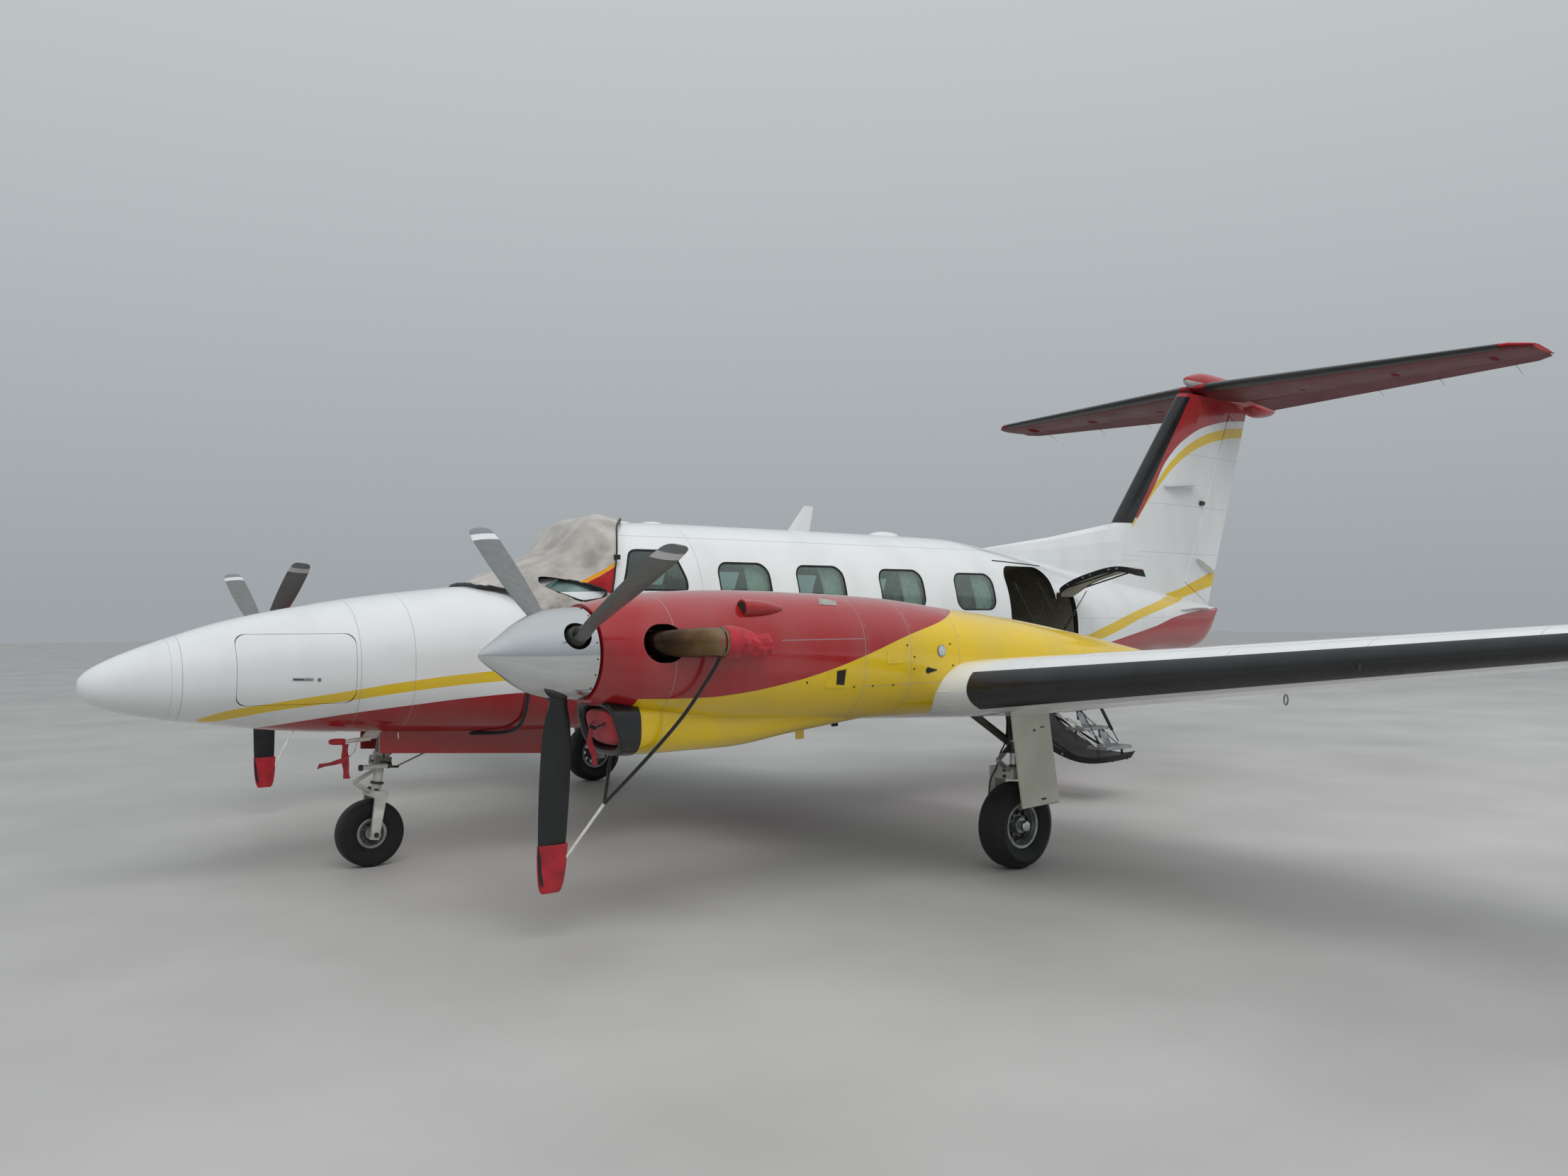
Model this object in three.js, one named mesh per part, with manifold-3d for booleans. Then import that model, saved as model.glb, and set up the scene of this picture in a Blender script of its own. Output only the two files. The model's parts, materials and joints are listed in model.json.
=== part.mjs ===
// Twin turboprop aircraft with a T-tail and tip tanks, parked on its gear with its cabin doors open.
// Millimetres. X runs aft from the nose, Y to starboard, Z up. The origin lies on the ground, midway
// between nose and tail on the centre plane, so the port side that the photograph shows is at -Y.
import * as THREE from 'three';
import { mergeVertices } from 'three/addons/utils/BufferGeometryUtils.js';
import Module from 'manifold-3d';

const wasm = await Module();
wasm.setup();

// Driving dimensions
const GAP = 0.35;                 // between pieces that touch
const CABIN_WALL = 55;            // skin, frames and lining together
const DOOR_GAP = 9;               // round each door in its opening
const MEETING_ANGLE = 0.03;       // degrees left open where two skin panels meet
const RING_STEP = 15;             // degrees between the points of a fuselage section
const ROOF_EDGE = 60;             // degrees above the widest line, where roof and sides meet
const BELLY_EDGE = 75;            // degrees below the widest line, where sides and belly meet
const NOSE_TIP = -6615;
const RADOME_END = -6150;
const COCKPIT_FRONT = -4100;
const CABIN_END = 1900;
const TAIL_END = 5135;

const WING_DIHEDRAL = 0.100;      // rise per unit of span
const ENGINE_Y = 2624;
const ENGINE_Z = 1480;
const PROPELLER_X = -4843;
const PIN_RADIUS = 7;             // hinge pins
const PIN_BORE = 7.8;
const SPINNER = { tip: -5291, base: -4747, radius: 239, wall: 6 };
const NACELLE_FRONT = -4735;
const NACELLE_END = 100;
const TANK_Y = 7060;
const FACETS = 22.5;              // degrees between the points of a nacelle or tank section
const NOSE_LEG_RAKE = 8.5;        // degrees, top aft

const NOSE_WHEEL = { x: -4880, y: 0, radius: 222.5, width: 160, rim: 102 };
const MAIN_WHEEL = { x: -1594, y: 2803, radius: 280.75, width: 205, rim: 152 };

// Fuselage sections: x, half width, top, bottom, height of the widest line, then the roundness
// exponents above and below that line
const FUSELAGE = [
  [-6615, 14, 1281, 1253, 1267, 2.0, 2.0],
  [-6585, 74, 1342, 1192, 1267, 2.0, 2.0],
  [-6440, 150, 1432, 1120, 1276, 2.0, 2.0],
  [-6150, 248, 1545, 1050, 1295, 2.05, 2.05],
  [-5800, 342, 1654, 992, 1320, 2.08, 2.1],
  [-5440, 425, 1730, 942, 1345, 2.1, 2.2],
  [-4900, 520, 1816, 900, 1370, 2.2, 2.4],
  [-4400, 592, 1872, 876, 1390, 2.25, 2.7],
  [-4000, 640, 1914, 862, 1420, 2.3, 3.0],
  [-3500, 688, 2190, 850, 1470, 2.4, 3.2],
  [-3120, 704, 2378, 845, 1500, 2.45, 3.2],
  [-2600, 712, 2396, 840, 1510, 2.45, 3.2],
  [300, 712, 2384, 840, 1510, 2.45, 3.2],
  [1070, 700, 2302, 846, 1500, 2.4, 3.2],
  [1900, 622, 2190, 905, 1485, 2.3, 3.0],
  [3000, 452, 2035, 1090, 1535, 2.15, 2.6],
  [3870, 322, 1926, 1232, 1570, 2.05, 2.3],
  [4430, 230, 1853, 1250, 1590, 2.0, 2.1],
  [4815, 162, 1790, 1297, 1600, 2.0, 2.0],
  [4960, 134, 1766, 1400, 1625, 2.0, 2.0],
  [5135, 86, 1738, 1672, 1706, 2.0, 2.0],
];

// Nacelle sections about the engine's centre plane, in the same columns
const NACELLE = [
  [-4735, 252, 1734, 1226, 1480, 2.0],
  [-4450, 362, 1786, 1150, 1470, 2.2],
  [-3920, 415, 1812, 1075, 1450, 2.4],
  [-2870, 420, 1782, 1046, 1420, 2.5],
  [-2260, 402, 1722, 1036, 1390, 2.5],
  [-1600, 345, 1652, 1012, 1350, 2.4],
  [-850, 252, 1545, 1040, 1310, 2.2],
  [100, 62, 1382, 1262, 1322, 2.0],
];
// Air scoop under the nacelle, in the same columns
const CHIN = [
  [-4740, 190, 1236, 960, 1104, 3.0],
  [-4360, 228, 1240, 942, 1098, 3.0],
  [-3920, 236, 1244, 942, 1096, 2.9],
  [-3420, 225, 1244, 992, 1118, 2.7],
  [-2870, 170, 1234, 1040, 1135, 2.4],
];
const TIP_TANK = [
  [-3050, 10, 1590, 1570, 1580, 2.0],
  [-2900, 92, 1678, 1486, 1582, 2.0],
  [-2550, 165, 1755, 1415, 1585, 2.0],
  [-1900, 205, 1803, 1385, 1592, 2.0],
  [-1200, 205, 1808, 1396, 1600, 2.0],
  [-500, 130, 1745, 1500, 1620, 2.0],
  [-40, 12, 1652, 1632, 1642, 2.0],
];
const TAIL_BULLET = [
  [4660, 10, 4394, 4376, 4385, 2.0],
  [4760, 66, 4448, 4312, 4380, 2.0],
  [5040, 120, 4500, 4238, 4368, 2.0],
  [5500, 132, 4482, 4206, 4340, 2.0],
  [6050, 100, 4398, 4180, 4290, 2.0],
  [6450, 40, 4282, 4190, 4238, 2.0],
  [6615, 6, 4230, 4216, 4223, 2.0],
];
const DORSAL_FIN = [
  [1070, 8, 2300, 2180, 2240, 2.0],
  [2200, 42, 2462, 1980, 2220, 2.0],
  [3150, 80, 2632, 1860, 2250, 2.0],
  [3700, 90, 2700, 1840, 2270, 2.0],
];

// Lifting surfaces: span station, leading edge x, trailing edge x, height, thickness, drop of the rear edge
const WING = [
  [430, -2700, -240, 1015, 0.14, 100],
  [3060, -2515, -250, 1206, 0.155, 95],
  [6960, -1885, -600, 1206 + 3900 * WING_DIHEDRAL, 0.11, 20],
];
const STABILIZER = [
  [0, 4775, 6330, 4298, 0.10, 40],
  [3260, 5180, 5975, 4288, 0.10, 30],
  [3430, 5345, 5890, 4286, 0.09, 24],
];
// Fin: height, leading edge x, trailing edge x, thickness
const FIN = [
  [1700, 2650, 5048, 0.075],
  [2680, 3280, 5415, 0.085],
  [4215, 4535, 5985, 0.095],
];
// Aerofoil: share of the chord, then share of the thickness above and below the chord line
const AEROFOIL = [
  [0, 0, 0], [0.025, 0.30, 0.24], [0.10, 0.52, 0.40], [0.28, 0.60, 0.44],
  [0.50, 0.50, 0.36], [0.75, 0.27, 0.19], [1, 0.012, 0.012],
];
const EVEN_AEROFOIL = [
  [0, 0, 0], [0.03, 0.26, 0.26], [0.12, 0.44, 0.44], [0.32, 0.50, 0.50],
  [0.65, 0.34, 0.34], [1, 0.014, 0.014],
];

// Cabin windows on the port side: first x, last x, bottom, top
const CABIN_WINDOWS = [
  [-2460, -1960, 1715, 2070],
  [-1700, -1190, 1712, 2062],
  [-810, -290, 1708, 2048],
  [90, 610, 1702, 2030],
];
const WINDOW_CORNER = 95;
const COCKPIT_SIDE_WINDOW = [[-3310, 1850], [-2748, 1850], [-2742, 1930], [-2800, 2120],
  [-2850, 2160], [-3180, 2160]];
const COCKPIT_CORNER_WINDOW = [[-3900, 1838], [-3390, 1845], [-3280, 2125], [-3420, 2085]];
const WINDSCREEN_PANE = [[-3880, 40], [-3880, 330], [-3720, 380], [-3280, 395], [-3250, 40]];

// Door openings on the port side
const STAIR_DOOR = { front: 800, back: 1532, sill: 942, top: 2120, corner: 150 };
const CARGO_DOOR = { front: 1540, back: 1862, sill: 1040, top: 1872, corner: 60 };
const STAIR_DOOR_OPEN = 120;
const CARGO_DOOR_OPEN = 106;
const NOSE_BAGGAGE_DOOR = { front: -5810, back: -5130, sill: 1130, top: 1570, corner: 60 };
const NOSE_BAY = { front: -5770, back: -5170, inner: 60, sill: 1160, top: 1530 };
const NOSE_WELL = { front: -5150, back: -4130, half: 150, top: 1130 };

// Finishes: colour, roughness, metalness
const FINISHES = {
  white: [0xe6e8e8, 0.35, 0.0],
  red: [0xa3161c, 0.35, 0.0],
  rubber: [0x15171a, 0.7, 0.0],
  metal: [0xc4c8cc, 0.25, 1.0],
  darkMetal: [0x3c3f43, 0.5, 0.6],
  bronze: [0x6b5131, 0.45, 0.8],
  glass: [0x6f8a85, 0.1, 0.0],
  lining: [0xa89f8c, 0.8, 0.0],
  fabric: [0xb9b5b0, 0.9, 0.0],
};

const aircraft = new THREE.Group();

function addPart(name, solid, finish) {
  const [color, roughness, metalness] = FINISHES[finish];
  const material = new THREE.MeshStandardMaterial({ color, roughness, metalness });
  const mesh = new THREE.Mesh(geometryOf(solid), material);
  mesh.name = name;
  aircraft.add(mesh);
}

// Solids

function solidOf(geometry) {
  const bare = geometry.clone();
  bare.deleteAttribute('normal');
  bare.deleteAttribute('uv');
  const merged = mergeVertices(bare, 1e-4);
  const vertProperties = new Float32Array(merged.attributes.position.array);
  const triVerts = new Uint32Array(merged.index.array);
  return new wasm.Manifold(new wasm.Mesh({ numProp: 3, vertProperties, triVerts }));
}

function geometryOf(solid) {
  const mesh = solid.getMesh();
  const geometry = new THREE.BufferGeometry();
  const position = new Float32Array(mesh.numVert * 3);
  for (let i = 0; i < mesh.numVert; i += 1) {
    for (let k = 0; k < 3; k += 1) position[i * 3 + k] = mesh.vertProperties[i * mesh.numProp + k];
  }
  geometry.setAttribute('position', new THREE.BufferAttribute(position, 3));
  geometry.setIndex(new THREE.BufferAttribute(new Uint32Array(mesh.triVerts), 1));
  return geometry;
}

function solidFromFaces(points, faces) {
  const geometry = new THREE.BufferGeometry();
  geometry.setAttribute('position', new THREE.BufferAttribute(new Float32Array(points.flat()), 3));
  let volume = 0;
  for (const [a, b, c] of faces) {
    const [p, q, r] = [points[a], points[b], points[c]];
    volume += p[0] * (q[1] * r[2] - q[2] * r[1])
      + p[1] * (q[2] * r[0] - q[0] * r[2]) + p[2] * (q[0] * r[1] - q[1] * r[0]);
  }
  const outward = volume > 0 ? faces : faces.map(([a, b, c]) => [a, c, b]);
  geometry.setIndex(outward.flat());
  return solidOf(geometry);
}

function joined(...solids) {
  return solids.reduce((whole, piece) => whole.add(piece));
}

function cut(solid, ...tools) {
  return tools.reduce((left, tool) => left.subtract(tool), solid);
}

// Rings of equal length, joined in order and closed by a flat cap at each end
function loft(rings) {
  const points = rings.flat();
  const count = rings[0].length;
  const faces = [];
  for (let i = 0; i + 1 < rings.length; i += 1) {
    for (let j = 0; j < count; j += 1) {
      const a = i * count + j;
      const b = i * count + (j + 1) % count;
      faces.push([a, b, b + count], [a, b + count, a + count]);
    }
  }
  const last = (rings.length - 1) * count;
  for (let j = 1; j + 1 < count; j += 1) {
    faces.push([0, j + 1, j], [last, last + j, last + j + 1]);
  }
  return solidFromFaces(points, faces);
}

function box(x0, x1, y0, y1, z0, z1) {
  const geometry = new THREE.BoxGeometry(x1 - x0, y1 - y0, z1 - z0);
  geometry.translate((x0 + x1) / 2, (y0 + y1) / 2, (z0 + z1) / 2);
  return solidOf(geometry);
}

// A round bar between two points
function bar(from, to, radius, sides = 12) {
  const start = new THREE.Vector3(...from);
  const span = new THREE.Vector3(...to).sub(start);
  const geometry = new THREE.CylinderGeometry(radius, radius, span.length(), sides);
  geometry.translate(0, span.length() / 2, 0);
  const turn = new THREE.Quaternion().setFromUnitVectors(new THREE.Vector3(0, 1, 0), span.clone().normalize());
  geometry.applyQuaternion(turn);
  geometry.translate(start.x, start.y, start.z);
  return solidOf(geometry);
}

// An outline in the XZ plane pushed through from y0 to y1
function pushedThroughY(outline, y0, y1) {
  const shape = new THREE.Shape(outline.map(([x, z]) => new THREE.Vector2(x, z)));
  const geometry = new THREE.ExtrudeGeometry(shape, { depth: y1 - y0, bevelEnabled: false });
  geometry.rotateX(Math.PI / 2);
  geometry.translate(0, y1, 0);
  return solidOf(geometry);
}

// An outline in the XY plane pushed up from z0 to z1
function pushedThroughZ(outline, z0, z1) {
  const shape = new THREE.Shape(outline.map(([x, y]) => new THREE.Vector2(x, y)));
  const geometry = new THREE.ExtrudeGeometry(shape, { depth: z1 - z0, bevelEnabled: false });
  geometry.translate(0, 0, z0);
  return solidOf(geometry);
}

function roundedOutline(x0, x1, z0, z1, radius, steps = 3) {
  const corners = [[x1 - radius, z1 - radius, 0], [x0 + radius, z1 - radius, 90],
    [x0 + radius, z0 + radius, 180], [x1 - radius, z0 + radius, 270]];
  const outline = [];
  for (const [cx, cz, start] of corners) {
    for (let i = 0; i <= steps; i += 1) {
      const angle = THREE.MathUtils.degToRad(start + 90 * i / steps);
      outline.push([cx + radius * Math.cos(angle), cz + radius * Math.sin(angle)]);
    }
  }
  return outline;
}

// A profile of [distance from the axis, place along Y] turned about a line parallel to Y
function turnedAboutY(profile, x, y, z, segments) {
  const geometry = new THREE.LatheGeometry(profile.map(([r, h]) => new THREE.Vector2(r, h)), segments);
  geometry.translate(x, y, z);
  return solidOf(geometry);
}

// The same turned about a line parallel to X: places along the axis are x values
function turnedAboutX(profile, y, z, segments) {
  const geometry = new THREE.LatheGeometry(profile.map(([r, h]) => new THREE.Vector2(r, h)), segments);
  geometry.rotateZ(-Math.PI / 2);
  geometry.translate(0, y, z);
  return solidOf(geometry);
}

function moved(solid, matrix) {
  const geometry = geometryOf(solid);
  geometry.applyMatrix4(matrix);
  return solidOf(geometry);
}

function turnedAboutPoint(solid, axis, degrees, point) {
  const there = new THREE.Matrix4().makeTranslation(...point);
  const back = new THREE.Matrix4().makeTranslation(-point[0], -point[1], -point[2]);
  const turn = new THREE.Matrix4().makeRotationAxis(
    new THREE.Vector3(...axis).normalize(), THREE.MathUtils.degToRad(degrees));
  return moved(solid, there.multiply(turn).multiply(back));
}

// The starboard twin of a port piece
function mirrored(solid) {
  const geometry = geometryOf(solid);
  const position = geometry.attributes.position;
  for (let i = 0; i < position.count; i += 1) position.setY(i, -position.getY(i));
  const index = geometry.index.array;
  for (let i = 0; i < index.length; i += 3) [index[i], index[i + 1]] = [index[i + 1], index[i]];
  return solidOf(geometry);
}

function addPair(name, portSolid, finish) {
  addPart(`${name}_left`, portSolid, finish);
  addPart(`${name}_right`, mirrored(portSolid), finish);
}

// Bodies given by a table of sections along X

function rowAt(table, x) {
  if (x <= table[0][0]) return table[0];
  const next = table.findIndex((row) => row[0] >= x);
  if (next < 0) return table[table.length - 1];
  const [before, after] = [table[next - 1], table[next]];
  const share = (x - before[0]) / (after[0] - before[0]);
  return before.map((value, k) => value + share * (after[k] - value));
}

// Point of a section at an angle counted from starboard over the top, moved in by the inset
function sectionPoint(table, x, degrees, inset = 0, centreY = 0) {
  const [, half, top, bottom, wide, upper, lower = upper] = rowAt(table, x);
  const angle = THREE.MathUtils.degToRad(degrees);
  const across = Math.cos(angle);
  const up = Math.sin(angle);
  const exponent = up >= 0 ? upper : lower;
  const bend = (value) => Math.sign(value) * Math.abs(value) ** (2 / exponent);
  const height = up >= 0 ? top - wide - inset : wide - bottom - inset;
  return [x, centreY + (half - inset) * bend(across), wide + height * bend(up)];
}

function stationsBetween(table, x0, x1) {
  return [x0, ...table.map((row) => row[0]).filter((x) => x > x0 + 1 && x < x1 - 1), x1];
}

function bodyOf(table, x0, x1, { inset = 0, step = RING_STEP, centreY = 0 } = {}) {
  const rings = stationsBetween(table, x0, x1).map((x) => {
    const ring = [];
    for (let degrees = 0; degrees < 360 - step / 2; degrees += step) {
      ring.push(sectionPoint(table, x, degrees, inset, centreY));
    }
    return ring;
  });
  return loft(rings);
}

// A panel of the fuselage skin between two angles and two stations, from one inset to another
function skinPanel(x0, x1, from, to, outer, inner) {
  const angles = [from];
  const first = Math.ceil(from / RING_STEP + 0.02) * RING_STEP;
  for (let degrees = first; degrees < to - 0.2; degrees += RING_STEP) angles.push(degrees);
  angles.push(to);
  const rings = stationsBetween(FUSELAGE, x0, x1).map((x) => [
    ...angles.map((degrees) => sectionPoint(FUSELAGE, x, degrees, outer)),
    ...angles.map((degrees) => sectionPoint(FUSELAGE, x, degrees, inner)).reverse(),
  ]);
  return loftStrip(rings, angles.length);
}

// Like loft, with caps that join the outer row of each end ring to its inner row
function loftStrip(rings, outerCount) {
  const points = rings.flat();
  const count = rings[0].length;
  const faces = [];
  for (let i = 0; i + 1 < rings.length; i += 1) {
    for (let j = 0; j < count; j += 1) {
      const a = i * count + j;
      const b = i * count + (j + 1) % count;
      faces.push([a, b, b + count], [a, b + count, a + count]);
    }
  }
  for (const [base, flip] of [[0, true], [(rings.length - 1) * count, false]]) {
    for (let j = 0; j + 1 < outerCount; j += 1) {
      const quad = [base + j, base + j + 1, base + count - 2 - j, base + count - 1 - j];
      const pair = [[quad[0], quad[1], quad[2]], [quad[0], quad[2], quad[3]]];
      for (const [a, b, c] of pair) faces.push(flip ? [a, c, b] : [a, b, c]);
    }
  }
  return solidFromFaces(points, faces);
}

const PORT = [180 - ROOF_EDGE + MEETING_ANGLE, 180 + BELLY_EDGE - MEETING_ANGLE];
const ROOF = [ROOF_EDGE + MEETING_ANGLE, 180 - ROOF_EDGE - MEETING_ANGLE];
const BELLY = [180 + BELLY_EDGE + MEETING_ANGLE, 360 - BELLY_EDGE - MEETING_ANGLE];
const REACH = 900;                // past any half width

// Lifting surfaces given by a table of spanwise stations

function foilRing(aerofoil, lead, trail, thickness, drop, grow, place) {
  const chord = trail - lead;
  const rise = (share) => -drop * share;
  const upper = aerofoil.map(([share, above]) =>
    place(lead + share * chord + (share - 0.5) * 4 * grow,
      rise(share) + above * thickness * chord + (share > 0 ? grow : 0)));
  const lower = aerofoil.slice(1).map(([share, , below]) =>
    place(lead + share * chord + (share - 0.5) * 2 * grow, rise(share) - below * thickness * chord - grow));
  return [...upper, ...lower.reverse()];
}

// Port half of a wing or stabilizer: its stations run outboard towards -Y
function portWing(table, aerofoil, grow) {
  return loft(table.map(([y, lead, trail, z, thickness, drop]) =>
    foilRing(aerofoil, lead, trail, thickness, drop, grow, (x, dz) => [x, -y, z + dz])));
}

function finSolid() {
  return loft(FIN.map(([z, lead, trail, thickness]) =>
    foilRing(EVEN_AEROFOIL, lead, trail, thickness, 0, 0, (x, dy) => [x, dy, z])));
}

// A movable surface hinged on the line from one point to another, with a round nose about that line.
// Returns the surface, bored at both ends, and what is left of the fixed surface, with a pin for each bore.
function hingedSurface(fixed, from, to, noseRadius, space, pinDepth = 20) {
  const start = new THREE.Vector3(...from);
  const along = new THREE.Vector3(...to).sub(start);
  const length = along.length();
  const u = along.normalize();
  const w = new THREE.Vector3().crossVectors(new THREE.Vector3(1, 0, 0), u).normalize();
  const v = new THREE.Vector3().crossVectors(u, w).normalize();
  if (v.x < 0) v.negate();
  const upright = new THREE.Vector3().crossVectors(v, u);
  const frame = new THREE.Matrix4().makeBasis(u, v, upright.negate());
  frame.setPosition(start);
  const region = (u0, u1, ahead) => moved(box(u0, u1, -ahead, 1400, -700, 700), frame);
  const nose = bar(from, to, noseRadius, 20);
  const movable = joined(fixed.intersect(region(0, length, 0)), fixed.intersect(nose));
  const rest = cut(fixed, region(-space, length + space, noseRadius + space));
  const at = (distance) => start.clone().addScaledVector(u, distance).toArray();
  const pins = [[-space - pinDepth, 30], [length - 30, length + space + pinDepth]];
  const bores = pins.map(([a, b]) => bar(at(a - (a > 0 ? GAP : 0)), at(b + (a < 0 ? GAP : 0)), PIN_BORE, 8));
  return [cut(movable, ...bores), joined(rest, ...pins.map(([a, b]) => bar(at(a), at(b), PIN_RADIUS, 8)))];
}

// Fuselage

const outerBody = bodyOf(FUSELAGE, NOSE_TIP, TAIL_END, { inset: -GAP });
const cabinSpace = bodyOf(FUSELAGE, COCKPIT_FRONT + 5, CABIN_END, { inset: CABIN_WALL + GAP });

addPart('radome', bodyOf(FUSELAGE, NOSE_TIP, RADOME_END - GAP), 'white');

// Outline of a door opening, or of the door in it when it shrinks
function doorOutline({ front, back, sill, top, corner }, shrink) {
  return roundedOutline(front + shrink, back - shrink, sill + shrink, top - shrink, corner + shrink * 3.4);
}

// Outboard face of the port skin at a station and height
function skinY(x, z) {
  const [, half, top, bottom, wide, upper, lower] = rowAt(FUSELAGE, x);
  const exponent = z > wide ? upper : lower;
  const share = Math.abs(z - wide) / (z > wide ? top - wide : wide - bottom);
  return -half * (1 - share ** exponent) ** (1 / exponent);
}

// A door's hinge line just outside the skin, between two stations at one height
const KNUCKLE = { radius: 14.4, length: 26, space: 6, pin: 35 };
function hingeLine(x0, x1, z, out) {
  const from = new THREE.Vector3(x0, skinY(x0, z) - out, z);
  const to = new THREE.Vector3(x1, skinY(x1, z) - out, z);
  return { from, along: to.clone().sub(from).normalize(), length: to.distanceTo(from) };
}
// Fits two hinges to a fixed skin and the door closed in it. Each has a pin on two arms that reach into the
// skin, and a bored knuckle on an arm that reaches into the door.
function withHinges(skin, door, line, toSkin, toDoor) {
  const place = (t, dy = 0, dz = 0) => {
    const point = line.from.clone().addScaledVector(line.along, t);
    return [point.x, point.y + dy, point.z + dz];
  };
  let [fixed, moving] = [skin, door];
  for (const share of line.length > 600 ? [0.2, 0.8] : [0.5]) {
    const t = share * line.length;
    const half = KNUCKLE.length / 2;
    const clear = KNUCKLE.space;
    const rootShare = (PIN_BORE + 2) / Math.hypot(...toDoor);
    const root = toDoor.map((reach) => reach * rootShare);
    const knuckle = joined(bar(place(t - half), place(t + half), KNUCKLE.radius, 8),
      bar(place(t, ...root), place(t, ...toDoor), KNUCKLE.radius * 0.7, 6));
    const pin = joined(bar(place(t - KNUCKLE.pin), place(t + KNUCKLE.pin), PIN_RADIUS, 8),
      ...[-1, 1].map((side) => bar(place(t + side * (KNUCKLE.pin - 7)),
        place(t + side * (KNUCKLE.pin - 7), ...toSkin), PIN_RADIUS * 0.9, 6)));
    const sweep = bar(place(t - half - clear), place(t + half + clear), KNUCKLE.radius + clear, 8);
    const notch = bar(place(t - KNUCKLE.pin - clear), place(t + KNUCKLE.pin + clear), PIN_RADIUS + clear, 8);
    const bore = bar(place(t - half - 1), place(t + half + 1), PIN_BORE, 8);
    fixed = joined(cut(fixed, sweep), pin);
    moving = cut(joined(cut(moving, notch), knuckle), bore);
  }
  return [fixed, moving];
}

function noseSection() {
  const shell = bodyOf(FUSELAGE, RADOME_END, COCKPIT_FRONT - GAP);
  const door = pushedThroughY(doorOutline(NOSE_BAGGAGE_DOOR, 0), -REACH, -NOSE_BAY.inner - 120);
  const bay = box(NOSE_BAY.front, NOSE_BAY.back, -330, -NOSE_BAY.inner, NOSE_BAY.sill, NOSE_BAY.top);
  const well = box(NOSE_WELL.front, NOSE_WELL.back, -NOSE_WELL.half, NOSE_WELL.half, 700, NOSE_WELL.top);
  return cut(shell, door, bay, well);
}

const nosePortSkin = skinPanel(RADOME_END + 5, COCKPIT_FRONT - 5, PORT[0] - 20, PORT[1] + 20, 0, 26);
const NOSE_DOOR_LINE = hingeLine(NOSE_BAGGAGE_DOOR.front + 60, NOSE_BAGGAGE_DOOR.back - 60,
  NOSE_BAGGAGE_DOOR.top - 2, 14);
const [noseSkin, noseDoor] = withHinges(noseSection(),
  nosePortSkin.intersect(pushedThroughY(doorOutline(NOSE_BAGGAGE_DOOR, DOOR_GAP - 2), -REACH, 0)),
  NOSE_DOOR_LINE, [34, 26], [14, -38]);
addPart('nose_section', noseSkin, 'white');
addPart('nose_baggage_door', noseDoor, 'white');

const sideWindowTools = () => {
  const cabin = CABIN_WINDOWS.map(([x0, x1, z0, z1]) => roundedOutline(x0, x1, z0, z1, WINDOW_CORNER, 2));
  return [...cabin, COCKPIT_SIDE_WINDOW, COCKPIT_CORNER_WINDOW].map((outline) =>
    pushedThroughY(outline, -REACH, -250));
};

const portSkin = skinPanel(COCKPIT_FRONT, CABIN_END, ...PORT, 0, CABIN_WALL);
const doorTools = [STAIR_DOOR, CARGO_DOOR].map((door) => pushedThroughY(doorOutline(door, 0), -REACH, -250));
const betweenDoors = [STAIR_DOOR.back - 90, CARGO_DOOR.front + 70];
doorTools.push(box(...betweenDoors, -REACH, -250, CARGO_DOOR.sill, CARGO_DOOR.top - 60));
const glazedSkin = cut(portSkin, ...sideWindowTools());
const doorSkin = skinPanel(COCKPIT_FRONT, CABIN_END, ...PORT, 0, CABIN_WALL - 8);
const doorFrom = (door) => doorSkin.intersect(pushedThroughY(doorOutline(door, DOOR_GAP), -REACH, -250));
const STAIR_LINE = hingeLine(STAIR_DOOR.front + 80, STAIR_DOOR.back - 80, STAIR_DOOR.sill + 2, 4);
const CARGO_LINE = hingeLine(CARGO_DOOR.front + 30, CARGO_DOOR.back - 30, CARGO_DOOR.top + 2, 4);
const [stairSide, stairDoor] = withHinges(cut(glazedSkin, ...doorTools), doorFrom(STAIR_DOOR), STAIR_LINE,
  [60, -30], [-8, 30]);
const [portSide, cargoDoor] = withHinges(stairSide, doorFrom(CARGO_DOOR), CARGO_LINE, [38, 26], [14, -30]);
addPart('cabin_side_left', portSide, 'white');
addPart('cabin_side_right', mirrored(glazedSkin), 'white');

const roofSkin = skinPanel(COCKPIT_FRONT, CABIN_END, ...ROOF, 0, CABIN_WALL);
const windscreenTools = [1, -1].map((side) =>
  pushedThroughZ(WINDSCREEN_PANE.map(([x, y]) => [x, side * y]), 1700, 2500));
const ANTENNA = [[-1300, 2330], [-1040, 2330], [-975, 2620], [-1085, 2620]];
const antenna = cut(pushedThroughY(ANTENNA, -11, 11), bodyOf(FUSELAGE, -2000, 0, { inset: 10 }));
addPart('cabin_roof', joined(cut(roofSkin, ...windscreenTools), antenna), 'white');
addPart('cabin_belly', skinPanel(COCKPIT_FRONT, CABIN_END, ...BELLY, 0, CABIN_WALL), 'red');

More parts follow.
